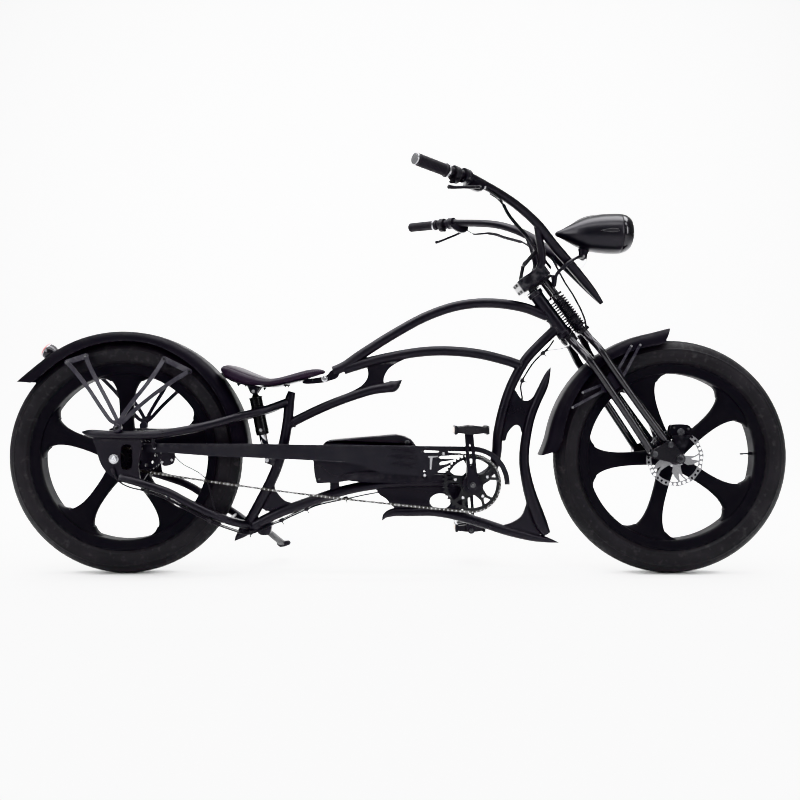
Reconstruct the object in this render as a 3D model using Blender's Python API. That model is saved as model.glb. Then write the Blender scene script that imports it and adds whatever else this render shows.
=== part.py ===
"""Electric cruiser bike with a springer fork: every piece at its real size, in metres, +Z up.

The bike points along +X, its right side is -Y, and the origin is on the ground midway between the axles.
"""
from math import acos, atan2, cos, pi, radians, sin

import bmesh
import bpy
from mathutils import Matrix, Vector
from mathutils.geometry import tessellate_polygon

GAP = 0.0003

WHEELBASE = 1.720
TYRE_SECTION = 0.088
TYRE_WALL = 0.005
TYRE_BEAD_ANGLE = radians(142.5)
TREAD_FLAT = 0.024
BEAD_GAP = 0.0001
WHEEL_SEGMENTS = 32
RIM_INNER_RADIUS = 0.262
RIM_FLANGE_RADIUS = 0.2915
RIM_CHANNEL_DEPTH = 0.0025
RIM_HALF_WIDTH = 0.034
RIM_CHANNEL_RADIUS = RIM_FLANGE_RADIUS - RIM_CHANNEL_DEPTH
TYRE_RADIUS = RIM_CHANNEL_RADIUS + BEAD_GAP + TYRE_SECTION / 2 * (1 - cos(TYRE_BEAD_ANGLE))
SPOKE_COUNT = 5
SPOKE_THICKNESS = 0.028
FRONT_HUB_RADIUS = 0.030
REAR_HUB_RADIUS = 0.068
AXLE_RADIUS = 0.006
HUB_BORE_RADIUS = 0.007
ROTOR_RADIUS = 0.090
ROTOR_THICKNESS = 0.002
ROTOR_PLANE = 0.055

MAIN_TUBE_RADIUS = 0.0168
STAY_RADIUS = 0.0132
HEAD_TUBE_RADIUS = 0.022
HEAD_TUBE_LENGTH = 0.1735
HEAD_CUP_RADIUS = 0.026
STEERER_RADIUS = 0.0150
STEERER_BORE = 0.0158
HEAD_TOP = Vector((0.4313, 0.0, 0.8900))
HEAD_ANGLE = radians(53.6)

BB_CENTRE = Vector((0.229, 0.0, 0.289))
BB_SHELL_RADIUS = 0.024
BB_SHELL_HALF_WIDTH = 0.040
SPINDLE_RADIUS = 0.0085
SPINDLE_BORE = 0.0095
CRANK_LENGTH = 0.171
CRANK_LEAN = radians(4.4)
CRANK_PLANE = 0.095
CRANK_THICKNESS = 0.014
PEDAL_PLANE = 0.166
PEDAL_HALF_WIDTH = 0.049
CHAIN_PITCH = 0.0127
CHAINRING_TEETH = 44
SPROCKET_TEETH = 15
CHAIN_PLANE = -0.060
CHAIN_SAG = 0.010
TOOTH_HEIGHT = 0.0028
TOOTH_ROOT = 0.0042

STAY_SPREAD = 0.106
DROPOUT_THICKNESS = 0.006
LEG_SPREAD = 0.075
LEG_RADIUS = 0.0132
FRONT_LEG_OFFSET = 0.040
ROCKER_PLANE = 0.094
ROCKER_THICKNESS = 0.008
FENDER_CLEARANCE = 0.028
FENDER_SIDE_CLEARANCE = 0.012
FENDER_RADIUS = TYRE_RADIUS + FENDER_CLEARANCE
FENDER_HALF_WIDTH = TYRE_SECTION / 2 + FENDER_SIDE_CLEARANCE
FENDER_THICKNESS = 0.003

SPRING_WIRE = 0.0045
SPRING_RADIUS = 0.0170
SPRING_CURLS = 13
SPRING_SPREAD = 0.026
SPRING_OFFSET = 0.047
SPRING_TOP = 0.0550
SPRING_BOTTOM = 0.1830
CURL_POINTS = 7

GRIP_RADIUS = 0.0175
GRIP_CORE_RADIUS = 0.011
GRIP_BORE = 0.0114
BAR_RADIUS = 0.0138
BAR_SEAT_GAP = 0.0008
LEVER_MOUNT_FACE = 0.2705
LEVER_KNUCKLE = 0.0055
SHOCK_TOP = Vector((-0.4551, 0.0, 0.5745))
SHOCK_BOTTOM = Vector((-0.4122, 0.0, 0.3564))
SHOCK_SHAFT_RADIUS = 0.0140
SHOCK_SHAFT_GAP = 0.0006
STAND_PIVOT = Vector((-0.426, 0.0438, 0.128))
STAND_AXIS = Vector((0.0, 0.41, 0.91)).normalized()
STAND_HIP_RADIUS = 0.0100
GUARD_PLANE = -0.0775
GUARD_THICKNESS = 0.004
BATTERY_HALF_WIDTH = 0.045

REAR_AXLE = Vector((-WHEELBASE / 2, 0.0, TYRE_RADIUS))
FRONT_AXLE = Vector((WHEELBASE / 2, 0.0, TYRE_RADIUS))
STEER_DOWN = Vector((cos(HEAD_ANGLE), 0.0, -sin(HEAD_ANGLE)))
STEER_FORWARD = Vector((sin(HEAD_ANGLE), 0.0, cos(HEAD_ANGLE)))

BLACK_PAINT = ((0.012, 0.012, 0.013), 0.38, 0.0)
GLOSS_BLACK = ((0.008, 0.008, 0.009), 0.12, 0.0)
DARK_GREY = ((0.045, 0.045, 0.048), 0.45, 0.2)
RUBBER = ((0.016, 0.015, 0.017), 0.75, 0.0)
STEEL = ((0.62, 0.62, 0.64), 0.28, 1.0)
DARK_STEEL = ((0.10, 0.10, 0.105), 0.35, 1.0)
LEATHER = ((0.020, 0.016, 0.020), 0.55, 0.0)
RED_LENS = ((0.45, 0.02, 0.02), 0.15, 0.0)
CLEAR_LENS = ((0.75, 0.77, 0.80), 0.06, 0.0)

SHAPES = {}


def clear_scene():
    for item in list(bpy.data.objects):
        bpy.data.objects.remove(item, do_unlink=True)


def make_material(name, finish):
    colour, roughness, metallic = finish
    material = bpy.data.materials.new(name)
    material.use_nodes = True
    shader = material.node_tree.nodes["Principled BSDF"]
    shader.inputs["Base Color"].default_value = (*colour, 1.0)
    shader.inputs["Roughness"].default_value = roughness
    shader.inputs["Metallic"].default_value = metallic
    return material


def add_mesh(name, shape):
    """Makes a closed mesh object whose faces point out."""
    verts, faces = shape
    mesh = bpy.data.meshes.new(name)
    mesh.from_pydata([tuple(v) for v in verts], [], faces)
    work = bmesh.new()
    work.from_mesh(mesh)
    bmesh.ops.recalc_face_normals(work, faces=work.faces)
    if work.calc_volume(signed=True) < 0:
        bmesh.ops.reverse_faces(work, faces=work.faces)
    work.to_mesh(mesh)
    work.free()
    item = bpy.data.objects.new(name, mesh)
    bpy.context.scene.collection.objects.link(item)
    return item


def boolean(item, shape, operation, label):
    """Adds or cuts one more closed shape, kept as a hidden guide."""
    guide = add_mesh(f"{item.name}_{label}", shape)
    guide.hide_render = True
    guide.display_type = "WIRE"
    step = item.modifiers.new(label, "BOOLEAN")
    step.operation = operation
    step.solver = "EXACT"
    step.object = guide


def solid(name, shape, finish, plus=(), minus=(), clear_of=()):
    """One piece: a shape, what is welded to it, what is cut out, and the neighbours it is fitted to."""
    SHAPES[name] = shape
    item = add_mesh(name, shape(0.0))
    for number, extra in enumerate(plus):
        boolean(item, extra, "UNION", f"join_{number}")
    for number, extra in enumerate(minus):
        boolean(item, extra, "DIFFERENCE", f"cut_{number}")
    for neighbour in clear_of:
        boolean(item, SHAPES[neighbour](GAP), "DIFFERENCE", f"seat_{neighbour}")
    item.data.materials.append(make_material(name, finish))
    item.data.shade_smooth()
    item.data.set_sharp_from_angle(angle=radians(35))
    return item


def joined_rings(rings, loop=False):
    """Joins rings with the same number of points; the two ends are flat unless the rings make a loop."""
    count = len(rings[0])
    verts = [point for ring in rings for point in ring]
    faces = []
    for index in range(len(rings) if loop else len(rings) - 1):
        first = index * count
        second = (index + 1) % len(rings) * count
        for step in range(count):
            after = (step + 1) % count
            faces.append((first + step, first + after, second + after, second + step))
    if not loop:
        faces.append(tuple(range(count - 1, -1, -1)))
        faces.append(tuple(range((len(rings) - 1) * count, len(rings) * count)))
    return verts, faces


def smooth(points, steps=2):
    """A smooth curve through the points, which may carry a radius after x, y and z."""
    rows = [Vector(point) for point in points]
    rows = [2 * rows[0] - rows[1], *rows, 2 * rows[-1] - rows[-2]]
    curve = []
    for index in range(1, len(rows) - 2):
        before, start, end, after = rows[index - 1:index + 3]
        for step in range(steps):
            t = step / steps
            curve.append(0.5 * (2 * start + (end - before) * t
                                + (2 * before - 5 * start + 4 * end - after) * t ** 2
                                + (3 * start - before - 3 * end + after) * t ** 3))
    curve.append(rows[-2])
    return curve


def tube(points, sides=10, steps=1, width=1.0, grow=0.0):
    """Sweeps a round or flattened tube along points of x, y, z and radius; width scales it sideways."""
    curve = smooth(points, steps)
    centres = [Vector(row[:3]) for row in curve]
    rings = []
    last = len(centres) - 1
    for index, centre in enumerate(centres):
        along = (centres[min(index + 1, last)] - centres[max(index - 1, 0)]).normalized()
        side = (Vector((0, 1, 0)) - along * along.y).normalized()
        up = along.cross(side)
        radius = curve[index][3] + grow
        middle = centre
        if index == 0:
            middle = centre - along * grow
        if index == last:
            middle = centre + along * grow
        wide = curve[index][3] * width + grow
        rings.append([middle + side * wide * cos(2 * pi * (step + 0.5) / sides)
                      + up * radius * sin(2 * pi * (step + 0.5) / sides) for step in range(sides)])
    return joined_rings(rings)


def route(points, radius):
    """Gives each x, z point on the middle plane the same radius."""
    return [(x, 0.0, z, radius) for x, z in points]


def mirrored(points):
    return [(row[0], -row[1], *row[2:]) for row in points]


def basis(axis):
    axis = Vector(axis).normalized()
    helper = Vector((0, 0, 1)) if abs(axis.y) > 0.9 else Vector((0, 1, 0))
    first = (helper - axis * helper.dot(axis)).normalized()
    return first, axis.cross(first), axis


def turned(profile, centre, axis, segments=24, ring=False, phase=0.5):
    """Turns (radius, height) points about an axis; a ring closes on itself, anything else gets flat ends."""
    first, second, along = basis(axis)
    centre = Vector(centre)

    def place(radius, height, step):
        angle = 2 * pi * (step + phase) / segments
        return centre + along * height + (first * cos(angle) + second * sin(angle)) * radius

    if ring:
        rings = [[place(radius, height, step) for radius, height in profile] for step in range(segments)]
        return joined_rings(rings, loop=True)
    return joined_rings([[place(radius, height, step) for step in range(segments)]
                         for radius, height in profile])


def rod(radius, low, high, centre, axis=(0, 1, 0), segments=12):
    return turned([(radius, low), (radius, high)], centre, axis, segments)


def plate(outline, low, high, holes=(), place=None):
    """A flat plate with holes; the outline is in x and z, and the plate lies between two y values."""
    loops = [outline, *holes]
    flat = [point for loop in loops for point in loop]
    triangles = tessellate_polygon([[Vector((x, z, 0.0)) for x, z in loop] for loop in loops])
    count = len(flat)
    verts = [Vector((x, low, z)) for x, z in flat] + [Vector((x, high, z)) for x, z in flat]
    faces = [tuple(face) for face in triangles]
    faces += [tuple(index + count for index in reversed(face)) for face in triangles]
    start = 0
    for loop in loops:
        for step in range(len(loop)):
            after = (step + 1) % len(loop)
            faces.append((start + step, start + after, start + after + count, start + step + count))
        start += len(loop)
    if place:
        verts = [place @ vert for vert in verts]
    return verts, faces


def block(low, high, place=None):
    outline = [(low[0], low[2]), (high[0], low[2]), (high[0], high[2]), (low[0], high[2])]
    return plate(outline, low[1], high[1], place=place)


def circle(x, z, radius, count=16):
    return [(x + radius * cos(2 * pi * step / count), z + radius * sin(2 * pi * step / count))
            for step in range(count)]


def steer_point(down, forward, side=0.0):
    """A point by its distance down the steering axis, ahead of it and to the left."""
    return HEAD_TOP + STEER_DOWN * down + STEER_FORWARD * forward + Vector((0, side, 0))


def steer_plate(outline, low, high, holes=()):
    """A plate whose outline is in distances down and ahead of the steering axis."""
    world = [tuple(steer_point(down, forward).xz) for down, forward in outline]
    cuts = [[tuple(steer_point(down, forward).xz) for down, forward in hole] for hole in holes]
    return plate(world, low, high, cuts)


def steer_block(down, forward, half_width):
    corners = [(down[0], forward[0]), (down[1], forward[0]), (down[1], forward[1]), (down[0], forward[1])]
    return steer_plate(corners, -half_width, half_width)


def fixed(shape):
    """Wraps a shape that no neighbour is fitted to."""
    return lambda grow: shape


def grown_tube(points, **options):
    return lambda grow: tube(points, grow=grow, **options)


def polar(centre, radius, angle):
    return centre.x + radius * cos(angle), centre.z + radius * sin(angle)


def near_axle(axle, offsets):
    """Points in the side view, given as forward and up from an axle."""
    return [(axle.x + forward, axle.z + up) for forward, up in offsets]


def inside_fender(axle, places):
    """Points in the side view, given as a depth inside the fender's outer face and an angle in degrees."""
    return [polar(axle, FENDER_RADIUS - depth, radians(angle)) for depth, angle in places]


def head_tube():
    profile = [(HEAD_CUP_RADIUS, 0.0), (HEAD_CUP_RADIUS, 0.016), (HEAD_TUBE_RADIUS, 0.020),
               (HEAD_TUBE_RADIUS, HEAD_TUBE_LENGTH - 0.020), (HEAD_CUP_RADIUS, HEAD_TUBE_LENGTH - 0.016),
               (HEAD_CUP_RADIUS, HEAD_TUBE_LENGTH)]

    def shape(grow):
        outer = [(radius + grow, height) for radius, height in profile]
        if grow:
            return turned(outer, HEAD_TOP, STEER_DOWN, 16)
        bore = [(STEERER_BORE, HEAD_TUBE_LENGTH), (STEERER_BORE, 0.0)]
        return turned(outer + bore, HEAD_TOP, STEER_DOWN, 16, ring=True)

    solid("head_tube", shape, BLACK_PAINT)


def bottom_bracket_shape(grow):
    return rod(BB_SHELL_RADIUS + grow, -BB_SHELL_HALF_WIDTH, BB_SHELL_HALF_WIDTH, BB_CENTRE, segments=20)


def frame_tubes():
    r = MAIN_TUBE_RADIUS
    upper = route([(-0.205, 0.638), (-0.165, 0.657), (-0.114, 0.693), (-0.012, 0.757), (0.090, 0.812),
                   (0.191, 0.846), (0.293, 0.855), (0.394, 0.842), (0.474, 0.813)], r)
    saddle_ear = plate([(-0.190, 0.650), (-0.212, 0.638), (-0.222, 0.6245), (-0.238, 0.6225), (-0.240, 0.610),
                        (-0.230, 0.605), (-0.190, 0.620)], -0.011, 0.011)
    solid("upper_top_tube", grown_tube(upper), BLACK_PAINT, plus=[saddle_ear], clear_of=["head_tube"])

    down = route([(0.503, 0.774), (0.445, 0.7185), (0.401, 0.668), (0.360, 0.592), (0.334, 0.515),
                  (0.318, 0.439),
                  (0.313, 0.375), (0.297, 0.325), (0.240, 0.289)], r)
    SHAPES["bottom_bracket"] = bottom_bracket_shape
    solid("down_tube", grown_tube(down), BLACK_PAINT,
          clear_of=["head_tube", "bottom_bracket", "upper_top_tube"])

    lower = route([(-0.183, 0.6385), (-0.139, 0.6534), (-0.063, 0.675), (0.039, 0.695), (0.115, 0.7026),
                   (0.192, 0.701), (0.267, 0.6915), (0.342, 0.673), (0.396, 0.654)], r)
    solid("lower_top_tube", grown_tube(lower), BLACK_PAINT, clear_of=["upper_top_tube", "down_tube"])

    strut = [(-0.336, 0, 0.574, 0.013), (-0.343, 0, 0.545, 0.0165), (-0.350, 0, 0.478, 0.0172),
             (-0.361, 0, 0.414, 0.0175), (-0.3805, 0, 0.3437, 0.0175), (-0.404, 0, 0.287, 0.0175),
             (-0.444, 0, 0.210, 0.0175), (-0.473, 0, 0.1595, 0.0165), (-0.497, 0, 0.128, 0.013)]
    shock_ears = [plate([(SHOCK_BOTTOM.x - 0.009, SHOCK_BOTTOM.z - 0.008), (SHOCK_BOTTOM.x - 0.009,
                         SHOCK_BOTTOM.z + 0.004), (-0.372, 0.362), (-0.372, 0.330)], low, low + 0.004)
                  for low in (-0.0150, 0.0110)]
    solid("seat_strut", grown_tube(strut), BLACK_PAINT, plus=shock_ears)

    rail = route([(-0.478, 0.138), (-0.4313, 0.1627), (-0.3677, 0.1929), (-0.266, 0.2294), (-0.1645, 0.2612),
                  (-0.0565, 0.2802), (0.040, 0.2855), (0.130, 0.2870), (0.222, 0.2865)], r)
    web_hole = [(0.128 + 0.026 * cos(2 * pi * step / 12), 0.238 + 0.017 * sin(2 * pi * step / 12))
                for step in range(12)]
    web = plate([(-0.070, 0.276), (-0.055, 0.242), (-0.036, 0.232), (-0.012, 0.204), (0.030, 0.190),
                 (0.150, 0.185),
                 (0.200, 0.215), (0.222, 0.275), (0.100, 0.285)], -0.007, 0.007, [web_hole])
    belly = [(-0.050, 0, 0.164, 0.0015), (-0.038, 0, 0.181, 0.010), (-0.010, 0, 0.191, 0.0145),
             (0.040, 0, 0.192, 0.0155), (0.115, 0, 0.1925, 0.016), (0.192, 0, 0.179, 0.016),
             (0.267, 0, 0.158, 0.016), (0.343, 0, 0.133, 0.016), (0.420, 0, 0.1135, 0.0145),
             (0.471, 0, 0.1035, 0.010), (0.512, 0, 0.094, 0.0012)]
    solid("belly_tube", grown_tube(belly), BLACK_PAINT)
    stand_lug = block((-0.445, 0.004, 0.120), (-0.405, 0.030, 0.165))
    solid("lower_rail", grown_tube(rail), BLACK_PAINT, plus=[web, stand_lug, bottom_bracket_shape(0.0)],
          minus=[rod(SPINDLE_BORE, -0.06, 0.06, BB_CENTRE, segments=16)],
          clear_of=["seat_strut", "belly_tube", "down_tube"])

    brace = [(-0.352, 0, 0.464, 0.0150), (-0.317, 0, 0.485, 0.0158), (-0.240, 0, 0.522, 0.0158),
             (-0.165, 0, 0.552, 0.0158), (-0.089, 0, 0.577, 0.0165), (-0.040, 0, 0.586, 0.0175),
             (-0.012, 0, 0.592, 0.0190), (0.014, 0, 0.611, 0.0015)]
    gusset = plate([(-0.099, 0.668), (-0.096, 0.642), (-0.108, 0.610), (-0.130, 0.590), (-0.160, 0.568),
                    (-0.040, 0.585), (-0.046, 0.610), (-0.030, 0.648), (0.036, 0.677), (-0.030, 0.684)],
                   -0.007, 0.007)
    solid("brace_tube", grown_tube(brace), BLACK_PAINT, plus=[gusset],
          clear_of=["seat_strut", "lower_top_tube"])

    fin = [(0.486, 0, 0.652, 0.0012), (0.476, 0, 0.629, 0.0095), (0.4627, 0, 0.5915, 0.0150),
           (0.439, 0, 0.5406, 0.0160), (0.4199, 0, 0.4898, 0.0165), (0.4065, 0, 0.425, 0.0165),
           (0.4008, 0, 0.365, 0.0170), (0.4056, 0, 0.312, 0.0180), (0.420, 0, 0.250, 0.0205),
           (0.4400, 0, 0.190, 0.0230), (0.456, 0, 0.150, 0.0220), (0.472, 0, 0.122, 0.0150)]
    upper_web = plate([(0.356, 0.580), (0.378, 0.571), (0.390, 0.553), (0.404, 0.547), (0.418, 0.550),
                       (0.430, 0.559), (0.446, 0.545), (0.425, 0.500), (0.406, 0.440), (0.3925, 0.4455),
                       (0.386, 0.462), (0.376, 0.4666), (0.364, 0.460), (0.350, 0.443), (0.3405, 0.420),
                       (0.322, 0.420), (0.330, 0.470)], -0.007, 0.007)
    foot_web = plate([(0.410, 0.225), (0.395, 0.190), (0.365, 0.172), (0.345, 0.150), (0.345, 0.135),
                      (0.450, 0.108), (0.455, 0.200)], -0.007, 0.007)
    solid("front_fin", grown_tube(fin), BLACK_PAINT, plus=[upper_web, foot_web],
          clear_of=["down_tube", "belly_tube"])


def rear_triangle():
    near_end = -0.006
    behind = near_axle(REAR_AXLE, [(-0.0977, 0.0819), (-0.070, 0.078), (-0.011, 0.074), (0.110, 0.0735)])
    upper = [(x, -STAY_SPREAD, z, radius)
             for (x, z), radius in zip(behind, (0.003, 0.0125, STAY_RADIUS, STAY_RADIUS))]
    upper += [(-0.650, -STAY_SPREAD, 0.455, STAY_RADIUS), (-0.560, -0.098, 0.4745, STAY_RADIUS),
             (-0.480, -0.080, 0.498, STAY_RADIUS), (-0.420, -0.055, 0.514, STAY_RADIUS),
             (-0.380, -0.028, 0.529, STAY_RADIUS), (-0.348, near_end, 0.542, STAY_RADIUS)]
    left_upper = tube(mirrored(upper), sides=8)
    solid("upper_stays", grown_tube(upper, sides=8), BLACK_PAINT, plus=[left_upper], clear_of=["seat_strut"])

    behind = near_axle(REAR_AXLE, [(0.017, -0.056), (0.080, -0.073)])
    lower = [(x, -STAY_SPREAD, z, radius) for (x, z), radius in zip(behind, (0.012, STAY_RADIUS))]
    lower += [(-0.700, -0.102, 0.2677, STAY_RADIUS), (-0.640, -0.096, 0.2347, STAY_RADIUS),
             (-0.575, -0.084, 0.2000, STAY_RADIUS), (-0.520, -0.058, 0.1720, STAY_RADIUS),
             (-0.470, near_end, 0.1500, STAY_RADIUS)]
    left_lower = tube(mirrored(lower), sides=8)
    bridge = rod(0.007, -0.062, 0.062, (-0.525, 0.0, 0.1735))
    solid("lower_stays", grown_tube(lower, sides=8), BLACK_PAINT, plus=[left_lower, bridge],
          clear_of=["seat_strut", "lower_rail"])

    window = near_axle(REAR_AXLE, [(0.022, 0.034), (0.022, -0.023), (0.036, -0.032), (0.054, -0.023),
                                   (0.054, 0.034), (0.040, 0.044)])
    outline = near_axle(REAR_AXLE, [(-0.055, 0.072), (-0.054, 0.032), (-0.044, -0.006), (-0.030, -0.032),
                                    (-0.008, -0.052), (0.020, -0.068), (0.078, -0.078), (0.074, -0.023),
                                    (0.076, 0.072)])
    slot = circle(REAR_AXLE.x, REAR_AXLE.z, AXLE_RADIUS + GAP, 12)
    for name, side in (("dropout_right", -1), ("dropout_left", 1)):
        plane = side * STAY_SPREAD
        shape = plate(outline, plane - DROPOUT_THICKNESS / 2, plane + DROPOUT_THICKNESS / 2, [window, slot])
        item = solid(name, fixed(shape), BLACK_PAINT)
        for label, stay in (("upper", upper), ("lower", lower)):
            points = stay if side < 0 else mirrored(stay)
            boolean(item, tube(points, sides=8, grow=GAP), "DIFFERENCE", f"seat_{label}")


def spoke(centre, angle, hub_radius):
    """One spoke: slim near the hub and flared into the rim."""
    reach = RIM_INNER_RADIUS - hub_radius
    widths = [(hub_radius - 0.008, 0.026), (hub_radius + 0.45 * reach, 0.0225),
              (hub_radius + 0.70 * reach, 0.028),
              (hub_radius + 0.88 * reach, 0.047), (RIM_INNER_RADIUS + 0.006, 0.088)]
    side_a = [(out, half) for out, half in widths]
    side_b = [(out, -half) for out, half in reversed(widths)]
    outline = [(centre.x + out * cos(angle) - half * sin(angle),
                centre.z + out * sin(angle) + half * cos(angle))
               for out, half in side_a + side_b]
    return plate(outline, -SPOKE_THICKNESS / 2, SPOKE_THICKNESS / 2)


def wheel(name, centre, first_angle, hub_profile, hub_radius):
    rim = [(RIM_INNER_RADIUS, -0.026), (RIM_INNER_RADIUS, 0.026), (RIM_FLANGE_RADIUS, RIM_HALF_WIDTH),
           (RIM_CHANNEL_RADIUS, 0.021), (RIM_CHANNEL_RADIUS, -0.021),
           (RIM_FLANGE_RADIUS, -RIM_HALF_WIDTH)]
    spokes = [spoke(centre, first_angle + 2 * pi * step / SPOKE_COUNT, hub_radius)
              for step in range(SPOKE_COUNT)]
    hub = turned(hub_profile, centre, (0, 1, 0), 16, ring=True)
    shape = turned(rim, centre, (0, 1, 0), WHEEL_SEGMENTS, ring=True)
    solid(name, fixed(shape), BLACK_PAINT, plus=[*spokes, hub])


def tyre(name, centre):
    radius = TYRE_SECTION / 2
    middle = TYRE_RADIUS - radius
    bead = TYRE_BEAD_ANGLE
    side_angles = [radians(value) for value in (42, 88)]
    outer = [(middle + radius * cos(angle), radius * sin(angle)) for angle in side_angles]
    outer = [(TYRE_RADIUS, TREAD_FLAT / 2), *outer, (middle + radius * cos(bead), radius * sin(bead))]
    inside = radius - TYRE_WALL
    inner = [(middle + inside * cos(angle), inside * sin(angle)) for angle in (bead, radians(64))]
    half = outer + inner
    profile = half + [(out, -across) for out, across in reversed(half)]
    stretch = 1 / cos(pi / WHEEL_SEGMENTS)
    rings = turned([(out * stretch, across) for out, across in profile], centre, (0, 1, 0), WHEEL_SEGMENTS,
                   ring=True)
    solid(name, fixed(rings), RUBBER)


def rotor(name, centre, side):
    low = side * ROTOR_PLANE - ROTOR_THICKNESS / 2
    windows = []
    for step in range(5):
        start = 2 * pi * step / 5
        outer = [polar(centre, 0.070, start + radians(offset)) for offset in (12, 36, 60)]
        windows.append(outer + [polar(centre, 0.030, start + radians(offset)) for offset in (48, 24)])
    outline = [polar(centre, ROTOR_RADIUS, 2 * pi * step / 24) for step in range(24)]
    shape = plate(outline, low, low + ROTOR_THICKNESS, [circle(centre.x, centre.z, 0.0095, 12), *windows])
    solid(name, fixed(shape), STEEL)


def wheels():
    flange = ROTOR_PLANE - ROTOR_THICKNESS / 2 - GAP
    front_hub = [(HUB_BORE_RADIUS, -flange), (0.020, -flange), (0.020, -0.046), (FRONT_HUB_RADIUS, -0.042),
                 (FRONT_HUB_RADIUS, 0.042), (0.020, 0.046), (0.020, 0.060), (HUB_BORE_RADIUS, 0.060)]
    wheel("front_wheel", FRONT_AXLE, radians(39.5), front_hub, FRONT_HUB_RADIUS)
    rear_hub = [(HUB_BORE_RADIUS, -0.046), (0.030, -0.046), (REAR_HUB_RADIUS - 0.010, -0.043),
                (REAR_HUB_RADIUS, -0.036), (REAR_HUB_RADIUS, 0.036), (REAR_HUB_RADIUS - 0.010, 0.043),
                (0.030, 0.046), (0.020, flange), (HUB_BORE_RADIUS, flange)]
    wheel("rear_wheel", REAR_AXLE, radians(18), rear_hub, REAR_HUB_RADIUS)
    tyre("front_tyre", FRONT_AXLE)
    tyre("rear_tyre", REAR_AXLE)
    rotor("front_rotor", FRONT_AXLE, -1)
    rotor("rear_rotor", REAR_AXLE, 1)
    outside = STAY_SPREAD + DROPOUT_THICKNESS / 2 + GAP
    axle = [(AXLE_RADIUS, -outside - 0.012), (AXLE_RADIUS, outside + 0.012)]
    nuts = [turned([(0.0115, side * outside), (0.0115, side * (outside + 0.009))], REAR_AXLE, (0, 1, 0), 6)
            for side in (-1, 1)]
    solid("rear_axle", fixed(turned(axle, REAR_AXLE, (0, 1, 0), 12)), STEEL, plus=nuts)
    (back, low), (front, high), (foot_back, foot_low), (foot_front, foot_high) = near_axle(
        REAR_AXLE, [(0.036, 0.030), (0.084, 0.074), (0.040, 0.042), (0.070, 0.057)])
    caliper = block((back, ROTOR_PLANE - 0.0075, low), (front, ROTOR_PLANE + 0.0130, high))
    slot = rod(ROTOR_RADIUS + 0.002, ROTOR_PLANE - 0.0025, ROTOR_PLANE + 0.0025, REAR_AXLE, segments=32)
    foot = block((foot_back, ROTOR_PLANE + 0.0110, foot_low),
                 (foot_front, STAY_SPREAD - DROPOUT_THICKNESS / 2 - GAP, foot_high))
    solid("rear_caliper", fixed(caliper), BLACK_PAINT, plus=[foot], minus=[slot])


def fender(name, centre, first, last, flares, slants, plus=(), clear_of=()):
    """A curved guard: a shallow channel whose skirts deepen and slant back towards its ends."""
    steps = 13
    rings = []
    for step in range(steps + 1):
        share = step / steps
        angle = first + (last - first) * share
        near_first = max(0.0, 1 - share * 8)
        near_last = max(0.0, 1 - (1 - share) * 8)
        outer = FENDER_RADIUS + flares[0] * near_first ** 2 + flares[1] * near_last ** 2
        slant = slants[0] * near_first - slants[1] * near_last
        skirt = 0.030 + 0.016 * abs(2 * share - 1)
        section = [(outer, 0.0), (outer - 0.004, 0.7), (outer - skirt * 0.45, 1.0), (outer - skirt, 1.0)]
        top = [(out, across * FENDER_HALF_WIDTH) for out, across in section]
        inner = [(out - FENDER_THICKNESS, max(0.0, across - FENDER_THICKNESS)) for out, across in top[:-1]]
        inner.append((outer - skirt, FENDER_HALF_WIDTH - FENDER_THICKNESS))
        loop = top + inner[::-1]
        loop += [(out, -across) for out, across in loop[::-1] if across > 0]
        ring = []
        for out, across in loop:
            turn = angle + slant * (outer - out) / skirt
            ring.append(Vector((centre.x + out * cos(turn), across, centre.z + out * sin(turn))))
        rings.append(ring)
    solid(name, fixed(joined_rings(rings)), BLACK_PAINT, plus=plus, clear_of=clear_of)


def flat_bar(start, end, half_height=0.007, half_width=0.0015):
    """A straight flat bar between two points, thin across the bike."""
    start, end = Vector(start), Vector(end)
    along = (end - start).normalized()
    side = (Vector((0, 1, 0)) - along * along.y).normalized()
    up = along.cross(side)
    rings = []
    for centre in (start, end):
        rings.append([centre + side * half_width * a + up * half_height * b
                      for a, b in ((1, 1), (-1, 1), (-1, -1), (1, -1))])
    return joined_rings(rings)


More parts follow.
